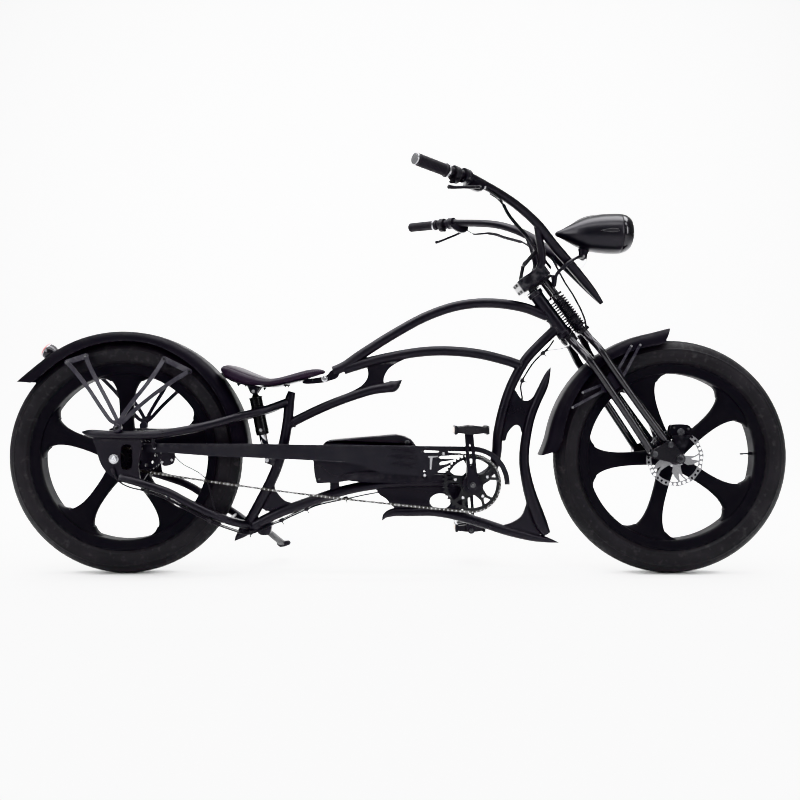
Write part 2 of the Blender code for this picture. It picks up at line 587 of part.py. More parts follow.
def fenders():
    skirt = FENDER_HALF_WIDTH + 0.0008
    bars = []
    starts = inside_fender(FRONT_AXLE, [(0.0364, 116.42), (0.0317, 111.92), (0.0176, 154.32),
                                        (0.0242, 144.86)])
    ends = inside_fender(FRONT_AXLE, [(0.0656, 126.38), (0.0886, 124.93), (0.0699, 141.72), (0.0804, 132.69)])
    bracket = inside_fender(FRONT_AXLE, [(0.0635, 144.30), (0.0905, 136.06), (0.1000, 126.48),
                                         (0.0571, 123.69), (0.0587, 128.50), (0.0763, 133.48)])
    for side in (-1, 1):
        for (start_x, start_z), (end_x, end_z) in zip(starts, ends):
            bars.append(flat_bar((start_x, side * (skirt - 0.001), start_z),
                                 (end_x, side * (skirt + 0.004), end_z),
                                 0.004))
        low, high = sorted((side * (skirt + 0.0020), side * (skirt + 0.0050)))
        bars.append(plate(bracket, low, high))
    fender("front_fender", FRONT_AXLE, radians(91), radians(179.5), (0.010, 0.018),
           (radians(3.5), radians(2.5)), plus=bars,
           clear_of=["fork_rear_legs", "left_leg_guide", "front_leg_guide", "left_front_leg_guide"])
    fender("rear_fender", REAR_AXLE, radians(5.5), radians(145), (0.0, 0.014), (0.0, radians(4.5)))

    arms = inside_fender(REAR_AXLE, [(0.0489, 117.45), (0.0504, 106.13), (0.0422, 64.74), (0.0372, 50.54)])
    bolt = near_axle(REAR_AXLE, [(0.014, 0.108)])[0]
    for name, side in (("rear_fender_stay_right", -1), ("rear_fender_stay_left", 1)):
        bars = []
        for x, z in arms:
            bars.append(flat_bar((bolt[0] + (x - bolt[0]) * 0.02, side * 0.120, bolt[1]),
                                 (x, side * (FENDER_HALF_WIDTH + 0.0035), z), 0.008, 0.0016))
        for start, end in ((arms[0], arms[1]), (arms[2], arms[3])):
            bars.append(flat_bar((start[0], side * (FENDER_HALF_WIDTH + 0.003), start[1]),
                                 (end[0], side * (FENDER_HALF_WIDTH + 0.003), end[1]), 0.010, 0.0022))
        disc = rod(0.013, *sorted((side * (STAY_SPREAD + 0.002),
                                   side * (STAY_SPREAD + STAY_RADIUS + 0.0055))),
                   (bolt[0], 0.0, bolt[1] - 0.014))
        item = solid(name, fixed(disc), DARK_GREY, plus=bars)
        seat = [(x, side * STAY_SPREAD, z, STAY_RADIUS)
                for x, z in near_axle(REAR_AXLE, [(-0.070, 0.078), (-0.011, 0.074), (0.110, 0.0735)])]
        boolean(item, tube(seat, sides=8, grow=GAP), "DIFFERENCE", "seat_stay")
    light_axis = Vector((-cos(radians(32)), 0.0, sin(radians(32))))
    light_x, light_z = inside_fender(REAR_AXLE, [(0.0003, 125.54)])[0]
    light_base = Vector((light_x, 0.0, light_z))
    housing = [(0.019, -0.012), (0.021, -0.002), (0.0255, 0.008), (0.0265, 0.024)]
    fender_face = rod(FENDER_RADIUS + GAP, -0.060, 0.060, REAR_AXLE, segments=80)
    solid("tail_light_housing", fixed(turned(housing, light_base, light_axis, 14)), BLACK_PAINT,
          minus=[fender_face])
    lens = [(0.0250, 0.0243), (0.0245, 0.029), (0.018, 0.0325), (0.008, 0.034)]
    solid("tail_light_lens", fixed(turned(lens, light_base, light_axis, 14)), RED_LENS)


def fork():
    legs = [(0.185, 0.000, 0.026), (0.215, -0.001, 0.040), (0.245, -0.002, 0.060),
            (0.278, -0.003, LEG_SPREAD),
            (0.340, -0.004, LEG_SPREAD), (0.470, -0.009, LEG_SPREAD), (0.612, -0.017, LEG_SPREAD)]
    right = [(*steer_point(down, ahead, -side), LEG_RADIUS) for down, ahead, side in legs]
    SHAPES["left_leg_guide"] = grown_tube(mirrored(right), sides=8)
    crown = steer_block((HEAD_TUBE_LENGTH + GAP, 0.203), (-0.020, 0.020), 0.042)
    rocker_face = ROCKER_PLANE - ROCKER_THICKNESS / 2 - GAP
    eyes = [rod(0.013, *sorted((side * (LEG_SPREAD - 0.0125), side * rocker_face)),
                steer_point(0.6165, -0.019))
            for side in (-1, 1)]
    solid("fork_rear_legs", grown_tube(right, sides=8), GLOSS_BLACK,
          plus=[SHAPES["left_leg_guide"](0.0), crown, *eyes])

    front = [(0.190, SPRING_OFFSET, 0.030), (0.225, 0.046, 0.045), (0.250, 0.045, 0.062),
             (0.280, 0.043, LEG_SPREAD),
             (0.340, FRONT_LEG_OFFSET, LEG_SPREAD), (0.470, 0.037, LEG_SPREAD), (0.618, 0.0365, LEG_SPREAD)]
    right_front = [(*steer_point(down, ahead, -side), LEG_RADIUS - 0.001) for down, ahead, side in front]
    SHAPES["front_leg_guide"] = grown_tube(right_front, sides=8)
    SHAPES["left_front_leg_guide"] = grown_tube(mirrored(right_front), sides=8)
    yoke = steer_block((SPRING_BOTTOM + GAP, SPRING_BOTTOM + 0.012), (0.0295, 0.066), 0.046)
    front_eyes = [rod(0.012, side * LEG_SPREAD - 0.0120, side * LEG_SPREAD + 0.0120,
                      steer_point(0.622, 0.0366))
                  for side in (-1, 1)]
    solid("fork_front_legs", grown_tube(right_front, sides=8), GLOSS_BLACK,
          plus=[SHAPES["left_front_leg_guide"](0.0), yoke, *front_eyes])

    pivot = steer_point(0.6165, -0.019)
    link = steer_point(0.622, 0.0366)
    rim = [polar(pivot, 0.014, radians(angle)) for angle in (100, 140, 180, 220, 260)]
    rim += [polar(FRONT_AXLE, 0.017, radians(angle)) for angle in (250, 290, 330, 10)]
    rim += [polar(link, 0.013, radians(angle)) for angle in (40, 80, 120)]
    rockers = [plate(rim, side * ROCKER_PLANE - ROCKER_THICKNESS / 2,
                     side * ROCKER_PLANE + ROCKER_THICKNESS / 2)
               for side in (-1, 1)]
    reach = ROCKER_PLANE + ROCKER_THICKNESS / 2 + 0.008
    axle = rod(AXLE_RADIUS, -reach, reach, FRONT_AXLE, segments=12)
    solid("fork_rockers", fixed(axle), GLOSS_BLACK, plus=rockers)

    perch = steer_block((-0.0142, -0.004), (-0.022, 0.066), 0.046)
    posts = [turned([(0.010, -0.006), (0.010, SPRING_TOP - 0.010),
                     (SPRING_RADIUS + 0.002, SPRING_TOP - 0.009),
                     (SPRING_RADIUS + 0.002, SPRING_TOP - GAP)],
                    steer_point(0, SPRING_OFFSET, side * SPRING_SPREAD),
                    STEER_DOWN, 10) for side in (-1, 1)]
    shaft = turned([(STEERER_RADIUS, -0.050), (STEERER_RADIUS, HEAD_TUBE_LENGTH)], HEAD_TOP, STEER_DOWN, 16)
    solid("fork_steerer", fixed(shaft), STEEL, plus=[perch, *posts])


def spring(name, side):
    """A coil spring: its ends run straight down its axis for one wire diameter."""
    length = SPRING_BOTTOM - SPRING_TOP
    straight = SPRING_WIRE + 0.001
    steps = SPRING_CURLS * CURL_POINTS
    base = steer_point(SPRING_TOP, SPRING_OFFSET, side * SPRING_SPREAD)
    first, second, along = basis(STEER_DOWN)
    points = [base + along * GAP + first * SPRING_RADIUS]
    turns = []
    for step in range(steps + 1):
        angle = 2 * pi * step / CURL_POINTS
        height = straight + (length - 2 * straight) * step / steps
        turns.append(base + along * height + (first * cos(angle) + second * sin(angle)) * SPRING_RADIUS)
    points += turns
    points.append(base + along * (length - GAP) + first * SPRING_RADIUS)
    curve = bpy.data.curves.new(name, "CURVE")
    curve.dimensions = "3D"
    curve.bevel_depth = SPRING_WIRE / 2
    curve.bevel_resolution = 1
    curve.use_fill_caps = True
    spline = curve.splines.new("POLY")
    spline.points.add(len(points) - 1)
    for target, point in zip(spline.points, points):
        target.co = (*point, 1.0)
    item = bpy.data.objects.new(name, curve)
    bpy.context.scene.collection.objects.link(item)
    curve.materials.append(make_material(name, GLOSS_BLACK))
    closest = min((turns[index] - turns[index + CURL_POINTS]).length
                  for index in range(steps + 1 - CURL_POINTS))
    print(f"{name}: least gap to itself {(closest - SPRING_WIRE) * 1000:.2f} mm")


def handlebar_route():
    return [(0.142, -0.314, 1.1765, BAR_RADIUS), (0.175, -0.290, 1.1750, BAR_RADIUS),
            (0.213, -0.263, 1.1715, BAR_RADIUS), (0.333, -0.155, 1.1400, BAR_RADIUS),
            (0.424, -0.086, 1.0900, 0.0145), (0.482, -0.050, 1.0330, 0.0155),
            (0.549, -0.023, 0.9660, 0.0155), (0.612, -0.009, 0.8960, 0.0130),
            (0.648, -0.002, 0.8530, 0.0070)]


def controls():
    right = handlebar_route()
    inner_end = Vector((0.1440, -0.3120, 1.1765))
    outer_end = Vector((0.0460, -0.3965, 1.1860))
    grip_axis = (outer_end - inner_end).normalized()
    length = (outer_end - inner_end).length
    extras = [tube(mirrored(right), sides=8)]
    for side in (-1, 1):
        start = Vector((inner_end.x, -side * inner_end.y, inner_end.z))
        axis = Vector((grip_axis.x, -side * grip_axis.y, grip_axis.z))
        extras.append(turned([(GRIP_CORE_RADIUS, -0.020), (GRIP_CORE_RADIUS, length - 0.004)],
                             start, axis, 12))
        clamp_at = Vector((0.190, side * 0.280, 1.1738))
        extras.append(turned([(0.0215, -0.012), (0.0215, 0.012)], clamp_at, axis, 12))
        extras.append(plate([(0.186, 1.166), (0.240, 1.166), (0.250, 1.152), (0.240, 1.136), (0.218, 1.136),
                             (0.186, 1.154)], *sorted((side * 0.252, side * LEVER_MOUNT_FACE))))
    solid("handlebar", grown_tube(right, sides=8), BLACK_PAINT, plus=extras)
    for name, side in (("grip_right", -1), ("grip_left", 1)):
        start = Vector((inner_end.x, -side * inner_end.y, inner_end.z))
        axis = Vector((grip_axis.x, -side * grip_axis.y, grip_axis.z))
        sleeve = [(GRIP_BORE, 0.010), (GRIP_RADIUS + 0.003, 0.010), (GRIP_RADIUS + 0.003, 0.016),
                  (GRIP_RADIUS, 0.018), (GRIP_RADIUS, length), (GRIP_BORE, length)]
        item = solid(name, fixed(turned(sleeve, start, axis, 12, ring=True)), RUBBER)
        points = right if side < 0 else mirrored(right)
        boolean(item, tube(points, sides=8, grow=GAP), "DIFFERENCE", "seat_bar")
    levers = {"brake_lever_right": -1, "brake_lever_left": 1}
    for name, side in levers.items():
        blade = [(0.2300, side * 0.2775, 1.1440, 0.0050), (0.205, side * 0.300, 1.1370, 0.0055),
                 (0.180, side * 0.322, 1.1310, 0.0055), (0.152, side * 0.345, 1.1240, 0.0060),
                 (0.138, side * 0.357, 1.1225, 0.0070)]
        knuckle = rod(LEVER_KNUCKLE, -0.004, 0.004, (0.2300, side * 0.2775, 1.1440),
                      (-side * 0.654, -0.757, 0))
        solid(name, grown_tube(blade, sides=8), DARK_STEEL, plus=[knuckle])

    stem = steer_block((-0.056, -0.0145), (-0.036, 0.066), 0.056)
    risers = []
    for side in (-1, 1):
        foot = steer_point(-0.046, 0.045, side * 0.044)
        risers.append(tube([(*foot, 0.0125), (0.449, side * 0.050, 0.985, 0.0118),
                            (0.438, side * 0.062, 1.045, 0.0118),
                            (0.426, side * 0.082, 1.088, 0.0118)]))
    item = solid("stem", fixed(stem), GLOSS_BLACK, plus=risers,
                 minus=[rod(STEERER_RADIUS + GAP, -0.051, 0.0, HEAD_TOP, STEER_DOWN, 16)])
    for label, points in (("right_bar", right), ("left_bar", mirrored(right))):
        boolean(item, tube(points, sides=8, grow=BAR_SEAT_GAP), "DIFFERENCE", f"seat_{label}")
    tilt = Matrix.Translation((0.4189, 0.0, 0.9964)) @ Matrix.Rotation(radians(-49.3), 4, "Y")
    screen = block((-0.0355, -0.030, -0.007), (0.0355, 0.030, 0.007), tilt)
    top = steer_point(-0.0563, -0.010)
    leg = tube([(0.4000, 0, 0.9770, 0.007), (top.x, 0, top.z + 0.012, 0.007),
                (top.x, 0, top.z - 0.004, 0.007)],
               sides=8)
    item = solid("display", fixed(screen), GLOSS_BLACK, plus=[leg])
    boolean(item, steer_block((-0.056 - GAP, -0.0145), (-0.036, 0.066), 0.056), "DIFFERENCE", "seat_stem")


def headlight():
    centre = Vector((0.0, 0.0, 1.0740))
    outer = [(0.005, 0.4980), (0.0215, 0.5320), (0.0400, 0.5630), (0.0530, 0.5945), (0.0600, 0.6290),
             (0.0640, 0.6640), (0.0645, 0.6880), (0.0600, 0.7200)]
    inner = [(0.0560, 0.7200), (0.0560, 0.7020), (0.0550, 0.6950), (0.0500, 0.6300), (0.0300, 0.5720),
             (0.006, 0.5450)]
    solid("headlight_shell", fixed(turned(outer + inner, centre, (1, 0, 0), 16)), GLOSS_BLACK)
    lens = [(0.0553, 0.7023), (0.0553, 0.7200), (0.0470, 0.7350), (0.0320, 0.7455), (0.0130, 0.7490)]
    solid("headlight_lens", fixed(turned(lens, centre, (1, 0, 0), 16)), CLEAR_LENS)
    start = steer_point(-0.009, 0.0665)
    arm = [(*(start + Vector((0.002, -0.043, 0))), 0.0055), (0.4960, -0.050, 0.925, 0.0055),
           (0.5080, -0.058, 0.952, 0.0055), (0.5330, -0.058, 0.975, 0.0055), (0.5620, -0.044, 0.992, 0.0055),
           (0.5850, -0.010, 0.999, 0.0060)]
    cup = rod(0.014, 0.0, 0.0340, (0.588, 0.0, 0.9950), (0, 0, 1))
    item = solid("headlight_bracket", grown_tube(arm, sides=8), BLACK_PAINT, plus=[cup])
    boolean(item, turned([(out + GAP, along) for out, along in outer], centre, (1, 0, 0), 16), "DIFFERENCE",
            "seat_shell")
    boolean(item, steer_block((-0.020, 0.010), (-0.022, 0.066 + GAP), 0.060), "DIFFERENCE", "seat_perch")


def battery():
    case = [(-0.2666, 0.4009), (-0.2619, 0.3294), (-0.2541, 0.2859), (-0.1795, 0.2905), (-0.1111, 0.3014),
            (0.0070, 0.3123), (0.0692, 0.3138), (0.0690, 0.3600), (0.0630, 0.4009)]
    feet = [block((x, -0.010, low), (x + 0.030, 0.010, 0.318))
            for x, low in ((-0.215, 0.2530), (0.000, 0.2860))]
    solid("battery_case", fixed(plate(case, -BATTERY_HALF_WIDTH, BATTERY_HALF_WIDTH)), BLACK_PAINT, plus=feet,
          clear_of=["lower_rail"])
    lid = [(-0.2380, 0.4009 + GAP), (0.0600, 0.4009 + GAP), (0.0424, 0.4239), (0.0204, 0.4351),
           (-0.0073, 0.4404),
           (-0.1130, 0.4320), (-0.2128, 0.4227), (-0.2324, 0.4111)]
    solid("battery_lid", fixed(plate(lid, -BATTERY_HALF_WIDTH + 0.002, BATTERY_HALF_WIDTH - 0.002)),
          GLOSS_BLACK)


def chain_guard():
    ring_outer, ring_inner = 0.1160, 0.0985
    start, end = radians(91), radians(-1.5)
    arc = [start + (end - start) * step / 12 for step in range(13)]
    outer = [polar(BB_CENTRE, ring_outer, angle) for angle in arc]
    inner = [polar(BB_CENTRE, ring_inner, angle) for angle in reversed(arc[:-1])]
    left_arc = [polar(BB_CENTRE, ring_inner, radians(angle)) for angle in (105, 120, 135, 150, 163)]
    outline = [(-0.7826, 0.3872), (-0.7826, 0.4133), (-0.4539, 0.4133), (-0.2695, 0.4103), (0.0070, 0.4075),
               (0.1299, 0.4060), *outer, *inner, *left_arc, (0.1148, 0.3150), (0.0684, 0.3135),
               (0.0070, 0.3181),
               (-0.0391, 0.3196), (-0.0790, 0.3319), (-0.1159, 0.3473), (-0.1620, 0.3550), (-0.3002, 0.3627),
               (-0.4539, 0.3694), (-0.5860, 0.3749), (-0.7058, 0.3842)]
    slots = [[(0.070, 0.3945), (0.112, 0.3925), (0.124, 0.3875), (0.080, 0.3885)],
             [(0.085, 0.3775), (0.118, 0.3755), (0.110, 0.3700), (0.084, 0.3720)],
             [(0.085, 0.3620), (0.112, 0.3600), (0.108, 0.3545), (0.083, 0.3565)]]
    low = GUARD_PLANE - GUARD_THICKNESS / 2
    rear_rod = tube([(-0.7467, GUARD_PLANE, 0.4026, 0.0055), (-0.7467, -0.090, 0.415, 0.0055),
                     (-0.7467, -0.102, 0.436, 0.0055)], sides=10)
    front_rod = tube([(0.0840, GUARD_PLANE, 0.3190, 0.006), (0.0840, -0.040, 0.3060, 0.006),
                      (0.0840, -0.004, 0.2930, 0.006)], sides=10)
    solid("chain_guard", fixed(plate(outline, low, low + GUARD_THICKNESS, slots)), DARK_GREY,
          plus=[rear_rod, front_rod], clear_of=["upper_stays", "lower_rail"])


def gear(name, centre, teeth, windows, hub=None):
    radius = CHAIN_PITCH / (2 * sin(pi / teeth))
    outline = []
    for tooth in range(teeth):
        angle = 2 * pi * tooth / teeth
        step = 2 * pi / teeth
        outline.append(polar(centre, radius + TOOTH_HEIGHT, angle))
        outline.append(polar(centre, radius - TOOTH_ROOT, angle + 0.5 * step))
    low = CHAIN_PLANE - 0.001
    shape = plate(outline, low, low + 0.002, windows)
    solid(name, fixed(shape), DARK_STEEL, plus=[hub] if hub else [])


def drive():
    bore = circle(REAR_AXLE.x, REAR_AXLE.z, HUB_BORE_RADIUS + 0.004, 12)
    hub = turned([(HUB_BORE_RADIUS, CHAIN_PLANE - 0.004), (0.0165, CHAIN_PLANE - 0.004), (0.0165, -0.0463),
                  (HUB_BORE_RADIUS, -0.0463)], REAR_AXLE, (0, 1, 0), 12, ring=True)
    gear("rear_sprocket", REAR_AXLE, SPROCKET_TEETH, [bore], hub)
    windows = [circle(BB_CENTRE.x, BB_CENTRE.z, SPINDLE_RADIUS + 0.002)]
    for step in range(5):
        start = 2 * pi * step / 5 + radians(100)
        arc = [start + radians(offset) for offset in (-26, -9, 9, 26)]
        windows.append([polar(BB_CENTRE, 0.070, angle) for angle in arc] + [polar(BB_CENTRE, 0.038, start)])
    gear("chainring", BB_CENTRE, CHAINRING_TEETH, windows)

    arms = []
    for side, way in ((-1, 1), (1, -1)):
        angle = pi / 2 + CRANK_LEAN + (0 if way > 0 else pi)
        pedal_at = Vector((*polar(BB_CENTRE, CRANK_LENGTH, angle), 0)).xzy
        arc = [angle + pi + radians(offset) for offset in (-90, -45, 0, 45, 90)]
        outline = [polar(BB_CENTRE, 0.018, turn) for turn in arc]
        outline += [polar(pedal_at, 0.0135, turn + pi) for turn in arc]
        plane = side * CRANK_PLANE
        arms.append(plate(outline, plane - CRANK_THICKNESS / 2, plane + CRANK_THICKNESS / 2))
    boss = turned([(0.030, -0.089), (0.030, CHAIN_PLANE - 0.001 - GAP)], BB_CENTRE, (0, 1, 0), 16)
    collar = turned([(0.016, BB_SHELL_HALF_WIDTH + GAP), (0.016, 0.089)], BB_CENTRE, (0, 1, 0), 12)
    spindle = rod(SPINDLE_RADIUS, -0.100, 0.100, BB_CENTRE, segments=12)
    solid("cranks", fixed(spindle), DARK_STEEL, plus=[*arms, boss, collar])

    outer_face = CRANK_PLANE + CRANK_THICKNESS / 2 + GAP
    for name, side, way in (("pedal_right", -1, 1), ("pedal_left", 1, -1)):
        angle = pi / 2 + CRANK_LEAN + (0 if way > 0 else pi)
        x, z = polar(BB_CENTRE, CRANK_LENGTH, angle)
        centre = Vector((x, 0, z))
        middle = side * PEDAL_PLANE
        body = block((x - 0.051, middle - PEDAL_HALF_WIDTH, z - 0.013),
                     (x + 0.051, middle + PEDAL_HALF_WIDTH, z + 0.013))
        holes = [block((x + low, middle - 0.036, z - 0.02), (x + low + 0.030, middle + 0.036, z + 0.02))
                 for low in (-0.041, 0.011)]
        pin = rod(0.0075, min(side * outer_face, side * 0.150), max(side * outer_face, side * 0.150), centre)
        solid(name, fixed(body), BLACK_PAINT, plus=[pin], minus=holes)


def chain_section(centre, outward):
    """The outline of one link across the chain: two side plates and the roller between them."""
    shape = [(-0.0035, -0.0040), (-0.0035, -0.0016), (0.0042, -0.0016), (0.0042, 0.0016), (-0.0035, 0.0016),
             (-0.0035, 0.0040), (0.0050, 0.0040), (0.0050, -0.0040)]
    return [Vector((centre.x + outward.x * out, CHAIN_PLANE + side, centre.z + outward.z * out))
            for out, side in shape]


def chain():
    """One closed loop round the two gears, slack along the bottom run."""
    rear_radius = CHAIN_PITCH / (2 * sin(pi / SPROCKET_TEETH))
    front_radius = CHAIN_PITCH / (2 * sin(pi / CHAINRING_TEETH))
    across = BB_CENTRE - REAR_AXLE
    heading = atan2(across.z, across.x)
    lean = acos((rear_radius - front_radius) / across.length)
    loops = []
    for step in range(11):
        angle = heading + lean + 2 * (pi - lean) * step / 10
        outward = Vector((cos(angle), 0, sin(angle)))
        loops.append(chain_section(REAR_AXLE + outward * rear_radius, outward))
    outward = Vector((cos(heading - lean), 0, sin(heading - lean)))
    for step in range(1, 6):
        share = step / 6
        point = (REAR_AXLE + outward * rear_radius).lerp(BB_CENTRE + outward * front_radius, share)
        loops.append(chain_section(point + outward * CHAIN_SAG * sin(pi * share), outward))
    for step in range(17):
        angle = heading - lean + 2 * lean * step / 16
        outward = Vector((cos(angle), 0, sin(angle)))
        loops.append(chain_section(BB_CENTRE + outward * front_radius, outward))
    solid("chain", fixed(joined_rings(loops, loop=True)), DARK_STEEL)


SADDLE_STATIONS = [
    (-0.5540, 0.030, 0.6480, 0.6400), (-0.5500, 0.060, 0.6540, 0.6345), (-0.5400, 0.084, 0.6575, 0.6255),
    (-0.5250, 0.103, 0.6580, 0.6160), (-0.5000, 0.119, 0.6520, 0.6045), (-0.4700, 0.125, 0.6390, 0.5965),
    (-0.4400, 0.121, 0.6270, 0.5920), (-0.4100, 0.110, 0.6165, 0.5905), (-0.3800, 0.094, 0.6165, 0.5930),
    (-0.3450, 0.074, 0.6255, 0.6015), (-0.3100, 0.057, 0.6365, 0.6100), (-0.2800, 0.047, 0.6440, 0.6165),
    (-0.2500, 0.038, 0.6470, 0.6255), (-0.2350, 0.028, 0.6445, 0.6290), (-0.2280, 0.012, 0.6400, 0.6340)]


def saddle():
    rings = []
    for x, half, top, bottom in SADDLE_STATIONS:
        height = top - bottom
        ring = []
        for out, up in ((0.0, 1.0), (0.35, 0.985), (0.65, 0.93), (0.87, 0.80), (0.985, 0.58), (0.99, 0.40),
                        (0.93, 0.20), (0.84, 0.05), (0.80, 0.0), (0.40, 0.0)):
            ring.append((out * half, bottom + up * height))
        ring += [(0.0, bottom)] + [(-out, z) for out, z in reversed(ring[1:])]
        rings.append([Vector((x, across, z)) for across, z in ring])
    solid("saddle_cushion", fixed(joined_rings(rings)), LEATHER)

    pan = []
    for x, half, top, bottom in SADDLE_STATIONS[1:-3]:
        wide = half * 0.74
        upper = bottom - 0.0008
        pan.append([Vector((x, across, z))
                    for across, z in ((wide, upper), (-wide, upper), (-wide, upper - 0.0035),
                                                             (wide, upper - 0.0035))])
    cheeks = [plate([(-0.300, 0.6060), (-0.281, 0.6140), (-0.238, 0.6215), (-0.218, 0.6215), (-0.217, 0.610),
                     (-0.230, 0.603), (-0.270, 0.598), (-0.300, 0.598)], low, low + 0.004)
              for low in (-0.0155, 0.0115)]
    shock_cheeks = [plate([(SHOCK_TOP.x - 0.022, 0.5925), (SHOCK_TOP.x - 0.010, 0.566),
                           (SHOCK_TOP.x + 0.010, 0.566),
                           (SHOCK_TOP.x + 0.026, 0.5900)], low, low + 0.004) for low in (-0.0160, 0.0120)]
    solid("saddle_pan", fixed(joined_rings(pan)), DARK_STEEL, plus=[*cheeks, *shock_cheeks])

    along = (SHOCK_BOTTOM - SHOCK_TOP).normalized()
    length = (SHOCK_BOTTOM - SHOCK_TOP).length
    body = [(0.0085, 0.006), (0.0150, 0.015), (0.0210, 0.024), (0.0210, 0.141)]
    top_eye = rod(0.0095, -0.0112, 0.0112, SHOCK_TOP)
    reservoir = rod(0.012, 0.034, 0.104, SHOCK_TOP + Vector((0.0, 0.024, 0.0)), along)
    well = rod(SHOCK_SHAFT_RADIUS + SHOCK_SHAFT_GAP, 0.100, 0.150, SHOCK_TOP, along)
    solid("shock_body", fixed(turned(body, SHOCK_TOP, along, 12)), BLACK_PAINT, plus=[top_eye, reservoir],
          minus=[well])
    shaft = [(SHOCK_SHAFT_RADIUS, 0.118), (SHOCK_SHAFT_RADIUS, length - 0.024), (0.0090, length - 0.014),
             (0.0090, length)]
    bottom_eye = rod(0.010, -0.0107, 0.0107, SHOCK_BOTTOM)
    solid("shock_shaft", fixed(turned(shaft, SHOCK_TOP, along, 12)), STEEL, plus=[bottom_eye])


def kickstand():
    """The leg's hip is a short cylinder along the hinge, so it turns beside the lug without touching it."""
    foot = Vector((-0.398, 0.205, 0.053))
    knuckle = rod(STAND_HIP_RADIUS, -STAND_HIP_RADIUS, STAND_HIP_RADIUS, STAND_PIVOT, STAND_AXIS)
    leg = tube([(*STAND_PIVOT, 0.0080), (-0.422, 0.062, 0.119, 0.0100), (-0.408, 0.140, 0.082, 0.0120),
                (*foot, 0.0120)])
    pad = tube([(-0.404, 0.186, 0.0615, 0.0140), (*(foot + (foot - STAND_PIVOT) * 0.03), 0.0150)])
    toe = tube([(-0.402, 0.202, 0.0530, 0.0125), (-0.377, 0.204, 0.0545, 0.0080)])
    solid("kickstand", fixed(knuckle), BLACK_PAINT, plus=[leg, pad, toe])


def front_caliper():
    centre = FRONT_AXLE + Vector((0.012, 0, 0.080))
    body = block((centre.x - 0.033, -0.0720, centre.z - 0.022), (centre.x + 0.034, -0.0440, centre.z + 0.024))
    slot = block((centre.x - 0.050, -ROTOR_PLANE - 0.0025, centre.z - 0.030),
                 (centre.x + 0.050, -ROTOR_PLANE + 0.0025, centre.z + 0.014))
    inner = -(ROCKER_PLANE - ROCKER_THICKNESS / 2 - GAP)
    bracket = plate([(centre.x - 0.030, centre.z - 0.010), (centre.x + 0.024, centre.z - 0.010),
                     (FRONT_AXLE.x + 0.010, FRONT_AXLE.z + 0.006),
                     (FRONT_AXLE.x - 0.010, FRONT_AXLE.z + 0.006)],
                    inner, -0.0700)
    solid("front_caliper", fixed(body), BLACK_PAINT, plus=[bracket], minus=[slot])


def cable(name, points, diameter=0.005):
    curve_points = smooth(points, 3)
    curve = bpy.data.curves.new(name, "CURVE")
    curve.dimensions = "3D"
    curve.bevel_depth = diameter / 2
    curve.bevel_resolution = 1
    curve.use_fill_caps = True
    spline = curve.splines.new("POLY")
    spline.points.add(len(curve_points) - 1)
    for target, point in zip(spline.points, curve_points):
        target.co = (*point, 1.0)
    item = bpy.data.objects.new(name, curve)
    bpy.context.scene.collection.objects.link(item)
    curve.materials.append(make_material(name, RUBBER))


def cables():
    cable("rear_brake_cable", [
        (0.4960, 0.0030, 0.7376), (0.4610, 0.0, 0.6965), (0.4294, 0.0, 0.6640), (0.3950, 0.0010, 0.6080),
        (0.3940, 0.0120, 0.5480), (0.3520, 0.0165, 0.5080), (0.3320, 0.0198, 0.4780),
        (0.3200, 0.0198, 0.4300),
        (0.3150, 0.0198, 0.3900)])


def build():
    clear_scene()
    head_tube()
    frame_tubes()
    rear_triangle()
    wheels()
    fork()
    fenders()
    spring("fork_spring_right", -1)
    spring("fork_spring_left", 1)
    controls()
    headlight()
    battery()
    chain_guard()
    drive()
    chain()
    saddle()
    kickstand()
    front_caliper()
    cables()


build()
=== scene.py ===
"""Looks of the electric cruiser bike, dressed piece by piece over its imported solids, in metres."""
from math import acos, atan2, cos, pi, radians, sin, sqrt

import bmesh
import bpy
from mathutils import Matrix, Vector
from mathutils.bvhtree import BVHTree
from mathutils.geometry import tessellate_polygon


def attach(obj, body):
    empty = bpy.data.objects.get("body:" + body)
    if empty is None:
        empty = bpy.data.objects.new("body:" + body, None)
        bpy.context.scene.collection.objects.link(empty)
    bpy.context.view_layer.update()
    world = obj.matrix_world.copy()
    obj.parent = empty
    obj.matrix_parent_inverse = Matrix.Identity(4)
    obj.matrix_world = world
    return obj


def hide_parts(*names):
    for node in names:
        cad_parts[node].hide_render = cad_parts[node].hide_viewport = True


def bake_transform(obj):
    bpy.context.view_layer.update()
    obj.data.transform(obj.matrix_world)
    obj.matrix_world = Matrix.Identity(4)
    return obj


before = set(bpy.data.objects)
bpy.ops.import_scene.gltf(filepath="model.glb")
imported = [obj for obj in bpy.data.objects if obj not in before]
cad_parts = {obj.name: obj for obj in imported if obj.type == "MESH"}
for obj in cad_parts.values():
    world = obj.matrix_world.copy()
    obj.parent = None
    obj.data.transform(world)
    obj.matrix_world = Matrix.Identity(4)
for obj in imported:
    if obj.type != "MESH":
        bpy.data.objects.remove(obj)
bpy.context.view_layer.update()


# Camera
# The photograph was taken square on to the drive side, from 2.37 m and at the height of the frame.
SENSOR = 36.0
FOCAL_PIXELS = 745
PHOTO_PIXELS = 800
camera_data = bpy.data.cameras.new("camera")
camera_data.sensor_width = SENSOR
camera_data.lens = SENSOR * FOCAL_PIXELS / PHOTO_PIXELS
camera = bpy.data.objects.new("camera", camera_data)
camera.location = (0.007, -2.366, 0.547)
camera.rotation_euler = (radians(90), 0.0, 0.0)
bpy.context.scene.collection.objects.link(camera)
bpy.context.scene.camera = camera


